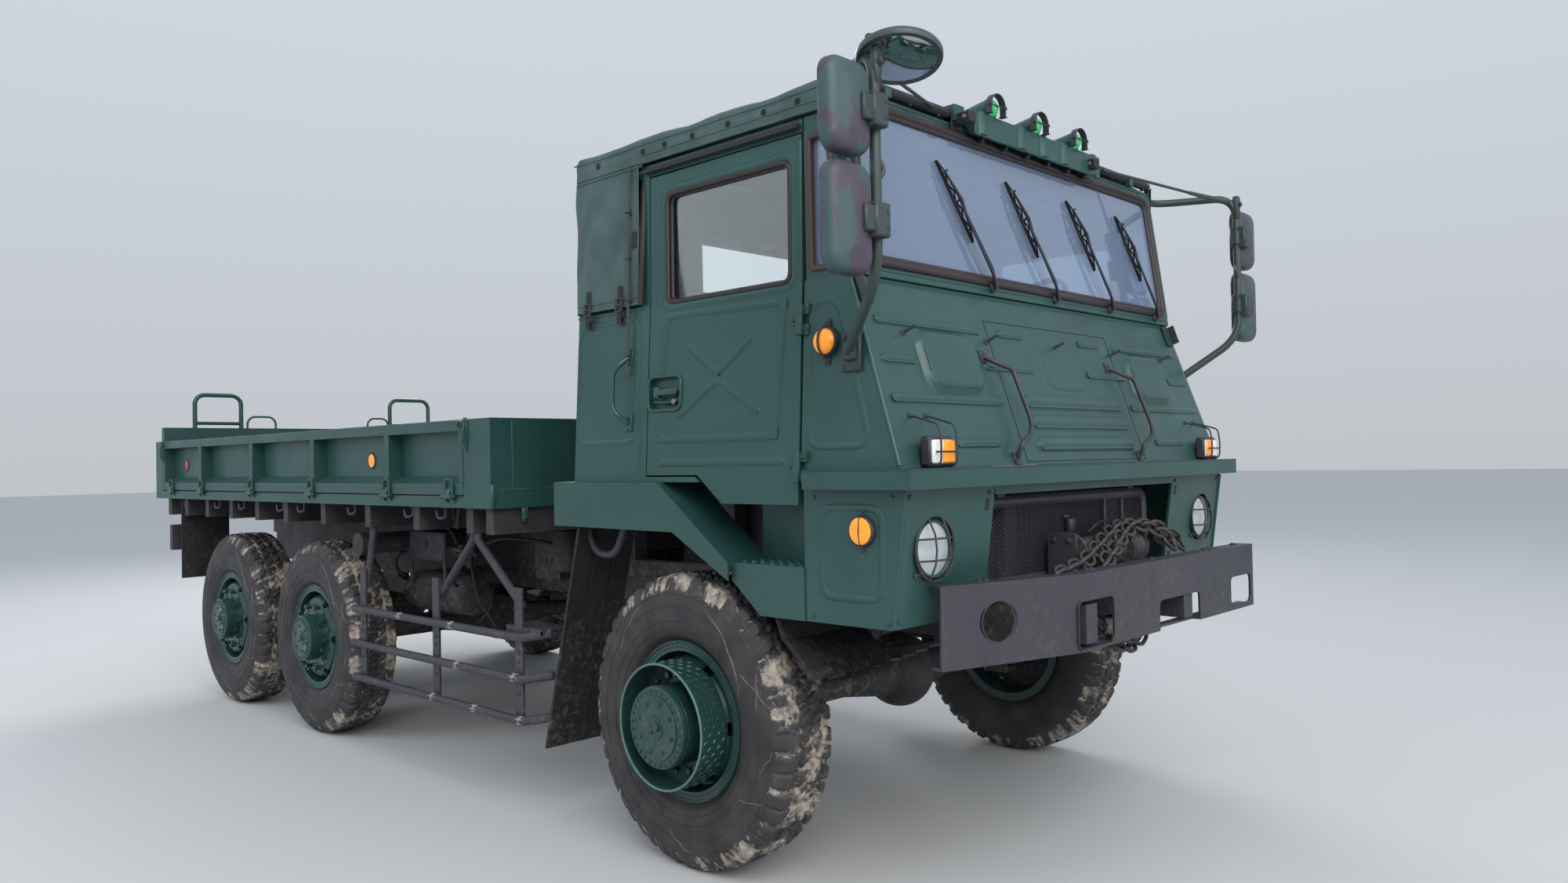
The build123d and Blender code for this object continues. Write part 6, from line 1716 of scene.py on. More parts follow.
def dress_canvas():
    mesh = canvas_mesh()
    cloth = dress(bpy.data.objects.new("canvas_sheet", mesh), canvas, "truck", 180)
    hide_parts("canvas_roof")
    hems = Piece()
    eyelets = Piece()
    for side in (-1, 1):
        def edge(y, z, out=0.003):
            return Vector(
                (side * (cloth_side_x(z) + out + cloth_shift(side * cloth_side_x(z), y, z)), front_y + y, z)
            )

        steps = stretch(cloth_front, curtain_front, 24)
        for z, radius in ((valance_low + 0.004, 0.0042), (valance_low + 0.034, 0.0022)):
            hems.sweep([edge(y, z, 0.001) for y in steps], radius, 6)
        seam = [cloth_front + 1.36 * k / 40 for k in range(41)]
        hems.sweep([edge(y, shoulder_z - 0.03, 0.0005) for y in seam], 0.003, 6)
        down = stretch(valance_low, cloth_low, 24)
        for y, radius in ((curtain_front + 0.006, 0.0042), (curtain_front + 0.04, 0.0022)):
            hems.sweep([edge(y, z, 0.001) for z in down], radius, 6)
        back = stretch(curtain_front, cloth_rear - rear_round, 16)
        for z, radius in ((cloth_low + 0.004, 0.0042), (cloth_low + 0.03, 0.0022)):
            hems.sweep([edge(y, z, 0.001) for y in back], radius, 6)
        run_start = curtain_front - 0.02
        rear_run = stretch(run_start, cloth_rear - rear_round, 20)
        for z in (2.64, 2.654):
            hems.sweep([edge(y, z, 0.001) for y in rear_run], 0.004, 6)
        for y in eyelet_spots:
            spot = edge(y, 2.694, 0.001)
            eyelets.sweep(ring_of(spot, (side, 0, 0), 0.0095, 16), 0.003, 6, closed=True)
            eyelets.disc(spot - Vector((side * 0.0008, 0, 0)), (side, 0, 0), 0.0062, 0.0012, 12)
    for z, radius in ((cloth_low + 0.004, 0.0042), (cloth_low + 0.03, 0.0022)):
        rear_line = [
            (x, front_y + cloth_rear + 0.001 + cloth_shift(x, cloth_rear, z), z) for x in stretch(-1.12, 1.12, 40)
        ]
        hems.sweep(rear_line, radius, 6)
    window = (
        (-window_half, window_low), (window_half, window_low), (window_half, window_high), (-window_half, window_high)
    )
    hems.sweep(
        loop_on(lambda a, b: Vector((a, front_y + cloth_rear + 0.002, b)), window, 0.012), 0.007, 8, closed=True
    )
    front_line = [(x, front_y + cloth_front + 0.003, cloth_crown(x) - 0.003) for x in stretch(-1.14, 1.14, 30)]
    hems.sweep(front_line, 0.0062, 8)
    hem_piece = hems.build("canvas_hems", canvas, 60)
    eyelet_piece = eyelets.build("canvas_eyelets", black, 50)


dress_canvas()


# Grille, winch, chain and bumper

grille_y = -0.93
grille_half = 0.64
grille_low = 1.02
grille_high = 1.352


def on_grille(x, z, out=0.0):
    return Vector((x, front_y + grille_y - out, z))


def strip_in_box(start, slope, low, high):
    """The part of a sloping line that lies inside a rectangle, or None."""
    (x0, z0), (x1, z1) = low, high
    spans = sorted(((z0 - start[1]) / slope + start[0], (z1 - start[1]) / slope + start[0]))
    left = max(x0, spans[0])
    right = min(x1, spans[1])
    if right - left < 0.004:
        return None
    return (left, start[1] + (left - start[0]) * slope), (right, start[1] + (right - start[0]) * slope)


def dress_grille():
    rim = Piece()
    corners = (
        (-grille_half + 0.02, grille_low + 0.02),
        (grille_half - 0.02, grille_low + 0.02),
        (grille_half - 0.02, grille_high - 0.02),
        (-grille_half + 0.02, grille_high - 0.02),
    )
    edge = loop_on(on_grille, corners, 0.055, 8)
    rim.bead([p + Vector((0, -0.003, 0)) for p in edge], Vector((0, -1, 0)), 0.042, 0.011, closed=True)
    rim.bead([p + Vector((0, 0.004, 0)) for p in edge], Vector((0, 1, 0)), 0.042, 0.009, closed=True)
    rim.sweep(edge, 0.0085, 8, closed=True)
    for x in (0.262, 0.412):
        rim.slab(
            (x - 0.008, front_y + grille_y - 0.01, grille_low + 0.02),
            (x + 0.008, front_y + grille_y + 0.004, grille_high - 0.02), 0.002
        )
    rim.slab((-0.06, front_y + grille_y - 0.032, 1.196), (-0.018, front_y + grille_y - 0.002, 1.252), 0.006)
    rim.slab((-0.068, front_y + grille_y - 0.01, 1.252), (-0.03, front_y + grille_y - 0.002, 1.264), 0.002)
    for x in (-0.5, 0.5):
        rim.slab(
            (x - 0.025, front_y + grille_y - 0.006, grille_high - 0.01),
            (x + 0.025, front_y + grille_y + 0.012, grille_high + 0.04), 0.003
        )
    rim.build("grille_rim", dark, 50)
    net = Piece()
    low = (-grille_half + 0.03, grille_low + 0.03)
    high = (grille_half - 0.03, grille_high - 0.03)
    pitch = 0.026
    for sign in (-1, 1):
        depth = 0.0015 * sign
        for index in range(-12, 62):
            start = (low[0] + index * pitch, low[1] if sign > 0 else high[1])
            cut = strip_in_box(start, sign * 0.56, low, high)
            if cut is None:
                continue
            (xa, za), (xb, zb) = cut
            across = Vector((-(zb - za), 0, xb - xa)).normalized() * 0.0013
            a = on_grille(xa, za, depth)
            b = on_grille(xb, zb, depth)
            net.plate([a - across, b - across, b + across, a + across], (0, 0.0022, 0))
    net_piece = net.build("grille_net", dark, 30)
    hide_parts("grille")
    behind = Piece()
    core_y = front_y - 0.86
    behind.slab((-0.52, core_y, 1.02), (0.52, core_y + 0.05, 1.33), 0.004)
    behind.slab((-0.9, core_y + 0.052, 0.985), (0.9, core_y + 0.06, 1.392), 0.0)
    behind.slab((-0.545, core_y - 0.014, 1.326), (0.545, core_y + 0.06, 1.372), 0.014)
    behind.slab((-0.545, core_y - 0.01, 0.99), (0.545, core_y + 0.056, 1.026), 0.01)
    for index in range(54):
        z = 1.032 + index * 0.0055
        behind.slab((-0.516, core_y - 0.003, z), (0.516, core_y + 0.002, z + 0.0018), 0.0)
    for index in range(27):
        x = -0.507 + index * 0.039
        behind.slab((x, core_y - 0.006, 1.026), (x + 0.003, core_y + 0.002, 1.326), 0.0)
    behind.sweep(
        rounded(
            [
                (-0.4, core_y + 0.02, 1.352), (-0.44, core_y - 0.03, 1.4), (-0.3, core_y - 0.03, 1.424),
                (0.06, core_y - 0.02, 1.404)
            ],
            0.05
        ),
        0.017, 12
    )
    behind.sweep(
        rounded(
            [
                (0.2, core_y - 0.02, 1.384), (0.24, core_y - 0.04, 1.43), (0.46, core_y - 0.03, 1.41),
                (0.52, core_y, 1.3)
            ],
            0.05
        ),
        0.011, 10
    )
    behind.build("radiator", under, 30)


def chain(piece, path, pitch, wire):
    """Round-wire links along a path, each one a quarter turn from the last."""
    points = [Vector(p) for p in path]
    lengths = [0.0]
    for a, b in zip(points, points[1:]):
        lengths.append(lengths[-1] + (b - a).length)

    def at(distance):
        distance = max(0.0, min(lengths[-1], distance))
        for index in range(len(points) - 1):
            if distance <= lengths[index + 1]:
                return points[index].lerp(
                    points[index + 1], (distance - lengths[index]) / (lengths[index + 1] - lengths[index])
                )
        return points[-1]

    count = int(lengths[-1] / pitch)
    for index in range(count):
        head = at(index * pitch)
        tail = at((index + 1) * pitch)
        along = (tail - head).normalized()
        across = along.cross(Vector((0, 0, 1))).normalized()
        lift = across.cross(along)
        turn = math.pi / 4 + (math.pi / 2 if index % 2 else 0.0) + 0.12 * math.sin(index * 2.3)
        wide = across * math.cos(turn) + lift * math.sin(turn)
        centre = (head + tail) / 2
        half_long = pitch / 2 + wire * 0.95
        half_wide = wire * 1.65
        loop = []
        straight = half_long - half_wide
        for step in range(8):
            angle = -math.pi / 2 + math.pi * step / 7
            loop.append(
                centre + along * (straight + half_wide * math.cos(angle)) + wide * half_wide * math.sin(angle)
            )
        for step in range(8):
            angle = math.pi / 2 + math.pi * step / 7
            loop.append(
                centre + along * (-straight + half_wide * math.cos(angle)) + wide * half_wide * math.sin(angle)
            )
        piece.sweep(loop, wire / 2, 8, closed=True)


def bumper_line(x):
    """Y of the bumper's face; its right end is bent back."""
    return front_y - 1.228 + bend_slope * max(0.0, bend_x - x)


chain_paths = (
    # The first two lie over the winch, the last hangs under the bumper
    (
        (-0.5, -1.135, 1.075),
        (-0.25, -1.12, 1.108),
        (0.05, -1.06, 1.19),
        (0.23, -1.03, 1.216),
        (0.43, -1.06, 1.204),
        (0.52, -1.09, 1.16),
        (0.6, -1.12, 1.095),
    ),
    ((-0.18, -1.15, 1.085), (0.06, -1.095, 1.165), (0.24, -1.062, 1.216), (0.4, -1.085, 1.185), (0.5, -1.12, 1.11)),
    ((-0.11, -1.075, 0.88), (-0.06, -1.09, 0.8), (0.06, -1.095, 0.756), (0.22, -1.09, 0.76), (0.32, -1.08, 0.86)),
)
winch_z = 1.12
bend_slope = 0.306  # how far back the bumper's right end leads, per metre across
bend_x = -0.466


def dress_chain_and_bumper():
    links = Piece()
    for path in chain_paths:
        chain(links, from_axle(path, 0.06), 0.052, 0.0165)
    links.build("tow_chain", chain_steel, 50)

    gear = Piece()
    winch_y = front_y - 1.012
    axis = Vector((1, 0, 0))
    gear.lathe(
        (0.222, winch_y, winch_z), axis,
        (
            (0.0, 0.06), (0.01, 0.078), (0.07, 0.08), (0.082, 0.066), (0.15, 0.06), (0.158, 0.048), (0.176, 0.046),
            (0.18, 0.02)
        ),
        40
    )
    for index in range(8):
        angle = math.pi / 4 * index
        spot = Vector((0.303, winch_y + 0.055 * math.cos(angle), winch_z + 0.055 * math.sin(angle)))
        gear.bolt(spot, axis, 0.0065)
    gear.lathe((-0.19, winch_y, winch_z), axis, ((0.0, 0.088), (0.006, 0.09), (0.01, 0.09), (0.014, 0.058)), 40)
    gear.lathe((0.176, winch_y, winch_z), axis, ((0.0, 0.058), (0.004, 0.09), (0.01, 0.09), (0.014, 0.088)), 40)
    for index in range(24):
        gear.sweep(
            ring_of(Vector((-0.166 + index * 0.0145, winch_y, winch_z)), (1, 0.06, 0), 0.058, 22), 0.0055, 6,
            closed=True
        )
    for side in (-1, 1):
        for z in (1.06, 1.18):
            gear.bolt((side * 0.2225, winch_y - 0.03, z), (side, 0, 0), 0.009)
            gear.bolt((side * 0.2225, winch_y + 0.03, z), (side, 0, 0), 0.009)
    gear.sweep(from_axle([(0.05, -0.975, 1.192), (0.075, -1.0, 1.226), (0.085, -1.035, 1.242)], 0.03), 0.006, 8)
    gear.build("winch_gear", under, 40)

    fittings = Piece()
    for x in (-0.85, -0.825, -0.36, -0.325, 0.15, 0.64, 0.675, 0.94):
        fittings.bolt((x, bumper_line(x) + 0.045, bumper_high.z - 0.001), (0, 0, 1), 0.011)
    for centre, wide, tall in (
        ((-0.37, 0.915), 0.255, 0.165), ((0.3, 0.855), 0.37, 0.17), ((0.905, 0.905), 0.22, 0.122)
    ):
        def lip(a, b):
            return Vector((a, front_y - 1.2265, b))

        a0, a1 = centre[0] - wide / 2, centre[0] + wide / 2
        b0, b1 = max(centre[1] - tall / 2, bumper_low.z + 0.002), centre[1] + tall / 2
        if b0 > centre[1] - tall / 2:
            fittings.sweep(rounded([lip(a0, b0), lip(a0, b1), lip(a1, b1), lip(a1, b0)], 0.03), 0.0026, 6)
        else:
            fittings.sweep(loop_on(lip, ((a0, b0), (a1, b0), (a1, b1), (a0, b1)), 0.03), 0.0026, 6, closed=True)
    hole = Vector((-0.82, bumper_line(-0.82) + 0.001, 0.962))
    facing = Vector((-bend_slope, -1, 0)).normalized()
    fittings.sweep(ring_of(hole, facing, 0.0675, 40), 0.0026, 6, closed=True)
    fittings.sweep(
        from_axle([(-0.4, -1.15, 0.85), (-0.385, -1.165, 0.905), (-0.355, -1.15, 0.96), (-0.35, -1.1, 0.985)], 0.04),
        0.0085, 10
    )
    fittings.rod((-0.44, front_y - 1.13, 0.912), (-0.31, front_y - 1.13, 0.912), 0.016, 14)
    fittings.build("bumper_fittings", dark, 40)


dress_grille()
dress_chain_and_bumper()


# Inside the cab: two covered seats, the dash with its dials, the steering wheel and levers

seat_x = 0.56
seat_half = 0.24
dash_face_y = -0.64


def dress_seats():
    for side, word in sides:
        x = side * seat_x
        cushion = Piece()
        flat_axes = (Vector((1, 0, 0)), Vector((0, 1, 0)), Vector((0, 0, 1)))
        pillow(cushion, (x, front_y + 0.18, 1.572), flat_axes, seat_half - 0.004, 0.236, 0.06, 0.104, 0.042, 0.022, 9)
        cushion_piece = cushion.build(f"seat_cushion_{word}", seat_cloth, 70)
        back = Piece()
        upright = (Vector((-1, 0, 0)), Vector((0, 0, 1)), Vector((0, -1, 0)))
        pillow(back, (x, front_y + 0.53, 1.93), upright, seat_half - 0.004, 0.305, 0.07, 0.09, 0.04, 0.018, 9)
        back_piece = back.build(f"seat_back_{word}", seat_cloth, 70)
        rest = Piece()
        rest.slab((x - 0.15, front_y + 0.02, 1.4), (x + 0.15, front_y + 0.34, 1.56), 0.01)
        rest.slab(
            (x - seat_half + 0.01, front_y - 0.045, 1.556), (x + seat_half - 0.01, front_y + 0.41, 1.574), 0.005
        )
        for end in (-1, 1):
            rest.sweep(
                from_axle(
                    [
                        (x + end * 0.215, 0.38, 1.566), (x + end * 0.215, 0.505, 1.64),
                        (x + end * 0.215, 0.534, 2.18), (x, 0.534, 2.225)
                    ],
                    0.05
                ),
                0.01, 10
            )
        rest.build(f"seat_frame_{word}", dark, 45)


def dress_dash():
    board = Piece()
    board.slab((-1.046, front_y - 0.76, 1.862), (1.046, front_y + dash_face_y - 0.004, 2.03), 0.012)
    board.slab((-1.04, front_y - 0.758, 2.026), (1.04, front_y + dash_face_y + 0.004, 2.04), 0.006)
    board.slab((0.33, front_y - 0.662, 1.878), (0.79, front_y + dash_face_y, 2.026), 0.006)
    for side in (-1, 1):
        board.slab((side * 0.882, front_y - 0.738, 1.404), (side * 0.918, front_y - 0.662, 1.862), 0.004)
    board.slab((-0.9, front_y - 0.655, 1.9), (-0.36, front_y + dash_face_y - 0.001, 1.985), 0.004)
    board.build("dashboard", cab_lining, 40)
    dials = Piece()
    faces = Piece()
    toward = Vector((0, 1, 0))
    for x, z, radius in (
        (0.43, 1.96, 0.042), (0.56, 1.965, 0.052), (0.69, 1.96, 0.042), (0.37, 1.905, 0.022), (0.75, 1.905, 0.022)
    ):
        spot = Vector((x, front_y + dash_face_y - 0.002, z))
        dials.lathe(
            spot, toward, ((-0.004, radius), (0.006, radius), (0.008, radius - 0.003), (0.002, radius - 0.005)), 32
        )
        faces.disc(spot, toward, radius - 0.006, 0.0022, 28)
        tip = math.radians(40 + 70 * x)
        faces.rod(
            spot + Vector((0, 0.003, 0)),
            spot + Vector((math.sin(tip) * radius * 0.6, 0.003, math.cos(tip) * radius * 0.6)), 0.0012, 6
        )
    for index in range(7):
        spot = Vector((-0.84 + index * 0.07, front_y + dash_face_y - 0.001, 1.942))
        dials.disc(spot, toward, 0.012, 0.005, 16)
        dials.rod(spot, spot + Vector((0, 0.018, 0.004)), 0.0035, 8, 0.005)
    dials.build("dial_rims", black, 45)
    faces.build("dial_faces", plain("dial_face", srgb(196, 198, 190), 0.5), 40)

    wheel = Piece()
    hub = Vector((seat_x, front_y - 0.42, 2.11))
    axis = Vector((0, 230, 210)).normalized()
    wheel.sweep(ring_of(hub, axis, 0.225, 56), 0.0125, 12, closed=True)
    wheel.lathe(hub, axis, ((-0.03, 0.026), (-0.01, 0.04), (0.008, 0.038), (0.016, 0.024)), 28)
    for spoke in ring_of(hub, axis, 0.222, 3, 0.5):
        wheel.sweep(
            [hub.lerp(spoke, 0.12), hub.lerp(spoke, 0.6) - axis * 0.01, spoke], [0.009, 0.007, 0.008], 8, flat=0.6
        )
    wheel.build("steering_wheel", black, 60)
    column = Piece()
    foot = Vector((seat_x, front_y - 0.65, 1.9))
    column.rod(foot, hub - axis * 0.02, 0.022, 20, 0.02)
    column.rod(foot.lerp(hub, 0.02), foot.lerp(hub, 0.45), 0.032, 20)
    column.sweep(
        [
            foot.lerp(hub, 0.7), foot.lerp(hub, 0.7) + Vector((0.07, 0.01, 0.02)),
            foot.lerp(hub, 0.7) + Vector((0.15, 0.02, 0.06))
        ],
        [0.005, 0.004, 0.006], 8
    )
    column.build("steering_column", dark, 45)

    visors = Piece()
    for side in (-1, 1):
        x = side * 0.56
        visors.slab((x - 0.3, front_y - 0.7, 2.572), (x + 0.3, front_y - 0.684, 2.69), 0.006)
        visors.rod((x - 0.3, front_y - 0.692, 2.69), (x + 0.3, front_y - 0.692, 2.69), 0.005, 8)
    visors_piece = visors.build("sun_visors", plain("visor_cover", srgb(40, 42, 42), 0.7), 40)
    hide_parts("cab_interior")


dress_seats()
dress_dash()


# Cargo bed: gate fittings, reflectors, rope hooks, lamp lenses

bed_half = 1.235
gate_post_start = 2.206
gate_post_pitch = 0.885
gate_hinges = (1.578, 2.195, 3.099, 3.964, 4.82, 5.404)


def lozenge(piece, centre, along, normal, length, width, rise):
    """One raised mark of a tread plate."""
    across = normal.cross(along)
    ends = [
        centre - along * length / 2, centre - across * width / 2, centre + along * length / 2,
        centre + across * width / 2
    ]
    ends = [p - normal * 0.0004 for p in ends]
    tops = [centre - along * length * 0.3 + normal * rise, centre + along * length * 0.3 + normal * rise]
    piece.add(ends + tops, [(0, 1, 4), (1, 5, 4), (1, 2, 5), (2, 3, 5), (3, 4, 5), (3, 0, 4)])


def dress_gates():
    for side, word in sides:
        gate = f"side_gate_{word}"
        loops = Piece()
        pins = Piece()
        for station in gate_hinges:
            y = front_y + station
            x = side * (bed_half + 0.008)
            wire = rounded(
                [(x, y - 0.032, 1.356), (x, y - 0.03, 1.432), (x, y + 0.03, 1.432), (x, y + 0.032, 1.356)], 0.02
            )
            loops.sweep(wire, 0.0065, 8)
            pins.rod((side * 1.25, y - 0.052, 1.352), (side * 1.25, y + 0.052, 1.352), 0.0085, 12)
            for end in (-1, 1):
                pins.lathe(
                    (side * 1.25, y + end * 0.052, 1.352), (0, end, 0),
                    ((0.0, 0.0085), (0.004, 0.0095), (0.008, 0.004)), 12
                )
        loops.build(f"gate_loops_{word}", green, 45, gate)
        pins.build(f"gate_pins_{word}", dark, 45)

        seams = Piece()
        outward = Vector((side, 0, 0))
        low = front_y + 1.47
        high = front_y + 5.6
        seams.bead([(side * bed_half, low, 1.404), (side * bed_half, high, 1.404)], outward, 0.01, 0.0022)
        seams.bead([(side * bed_half, low, 1.7), (side * bed_half, high, 1.7)], outward, 0.012, 0.0026)
        for station in (1.478, 5.594):
            seams.bead(
                [(side * bed_half, front_y + station, 1.382), (side * bed_half, front_y + station, 1.7)], outward,
                0.01, 0.0022
            )
        for index in range(4):
            y = front_y + gate_post_start + index * gate_post_pitch
            for edge in (-0.024, 0.024):
                seams.bead(
                    [(side * (bed_half - 0.0005), y + edge, 1.42), (side * (bed_half - 0.0005), y + edge, 1.65)],
                    outward, 0.006, 0.0018
                )
        seams.build(f"gate_seams_{word}", green, 45, gate)

        latches = Piece()
        for y0, turn in ((front_y + 1.452, 1), (front_y + 5.618, -1)):
            x = side * bed_half
            latches.slab(
                (min(x, x + side * 0.006), y0 - 0.03, 1.56), (max(x, x + side * 0.006), y0 - 0.004, 1.716), 0.002
            )
            latches.sweep(
                rounded(
                    [
                        (x + side * 0.008, y0 - 0.016, 1.7), (x + side * 0.016, y0 - 0.016, 1.64),
                        (x + side * 0.016, y0 - 0.014, 1.6), (x + side * 0.006, y0 - 0.014, 1.575)
                    ],
                    0.02
                ),
                0.0065, 8
            )
            latches.sweep(
                rounded(
                    [
                        (x + side * 0.008, y0 - 0.016, 1.694), (x + side * 0.018, y0 + turn * 0.016, 1.7),
                        (x + side * 0.014, y0 + turn * 0.03, 1.684), (x + side * 0.006, y0 + turn * 0.03, 1.67)
                    ],
                    0.012
                ),
                0.0055, 8
            )
            for z in (1.585, 1.7):
                latches.bolt((x + side * 0.006, y0 - 0.018, z), outward, 0.0065)
        latches.slab(
            (side * (bed_half - 0.012) - 0.014, front_y + 1.224, 1.298),
            (side * (bed_half - 0.012) + 0.016, front_y + 1.46, 1.412), 0.006
        )
        latches.slab(
            (side * 1.06 - 0.016, front_y + 1.226, 1.236), (side * 1.06 + 0.016, front_y + 1.236, 1.3), 0.004
        )
        latches.bolt((side * 1.06, front_y + 1.226, 1.256), (0, -1, 0), 0.008)
        latches.build(f"gate_latches_{word}", green, 45)

        hooks = Piece()
        for station in (1.7, 2.02, 2.65, 3.3, 3.6, 4.2, 4.62, 5.2):
            y = front_y + station
            x = side * 1.19
            hooks.sweep(
                rounded(
                    [
                        (x, y, 1.3), (x, y, 1.252), (x + side * 0.012, y + 0.036, 1.246),
                        (x + side * 0.012, y + 0.06, 1.252), (x + side * 0.012, y + 0.062, 1.284)
                    ],
                    0.02
                ),
                0.008, 8
            )
            hooks.slab((x - 0.012, y - 0.016, 1.294), (x + 0.012, y + 0.016, 1.301), 0.002)
        hooks.build(f"rope_hooks_{word}", dark, 45)

        for name, station, height, look, radius in (
            ("amber", 2.503, 1.53, amber, 0.04), ("red", 5.325, 1.537, red, 0.038)
        ):
            spot = Vector((side * (bed_half - 0.0715), front_y + station, height))
            if abs((station - gate_post_start) % gate_post_pitch - gate_post_pitch / 2) > 0.44:
                spot.x = side * bed_half
            glass = Piece()
            glass.lathe(
                spot, outward,
                ((0.0, radius - 0.003), (0.006, radius - 0.003), (0.0095, radius * 0.7), (0.0105, radius * 0.3)), 32
            )
            glass.build(f"{name}_reflector_{word}", look, 60, gate)
            ring = Piece()
            ring.lathe(
                spot, outward,
                ((-0.001, radius + 0.005), (0.004, radius + 0.005), (0.008, radius + 0.001), (0.007, radius - 0.004)),
                32
            )
            ring.build(f"{name}_reflector_rim_{word}", dark, 60, gate)


def dress_bed_front():
    seams = Piece()
    y = front_y + 1.23
    ahead = Vector((0, -1, 0))
    for z in (1.384, 1.7):
        seams.bead([(-1.18, y, z), (1.18, y, z)], ahead, 0.012, 0.0026)
    for x in (-1.12, -0.56, 0.0, 0.56, 1.12):
        seams.bead([(x, y, 1.392), (x, y, 1.694)], ahead, 0.01, 0.0024)
    seams.build("bed_front_seams", green, 45)


def dress_tail_lamps():
    lamp_back = span("tail_lamps")[1].y
    shells = Piece()
    for side in (-1, 1):
        for x, look, radius, label in (
            (0.972, red, 0.036, "brake"), (1.065, amber, 0.036, "turn"), (1.152, white_lens, 0.03, "reverse")
        ):
            spot = Vector((side * x, lamp_back - 0.006, 1.02))
            cap = Piece()
            cap.lathe(
                spot, (0, 1, 0),
                ((0.0, radius), (0.008, radius - 0.001), (0.0105, radius * 0.7), (0.0115, radius * 0.3)), 28
            )
            cap.build(f"{label}_lens_{'right' if side < 0 else 'left'}", look, 60)
            shells.lathe(
                spot, (0, 1, 0), ((-0.002, radius + 0.006), (0.003, radius + 0.006), (0.005, radius + 0.001)), 28
            )
        for x in (0.945, 1.185):
            shells.bolt((side * x, lamp_back - 0.008, 1.02), (0, 1, 0), 0.006)
    shells.build("tail_lamp_rims", dark, 45)


dress_gates()
dress_bed_front()
dress_tail_lamps()


# Underbody: valve plate and pipes, air tank bands, guard posts, flaps and steps

guard_x = -1.222
tank_axis = Vector((-0.76, 0, 0.8))
tank_start = 2.18
tank_end = 2.75
tank_radius = 0.105


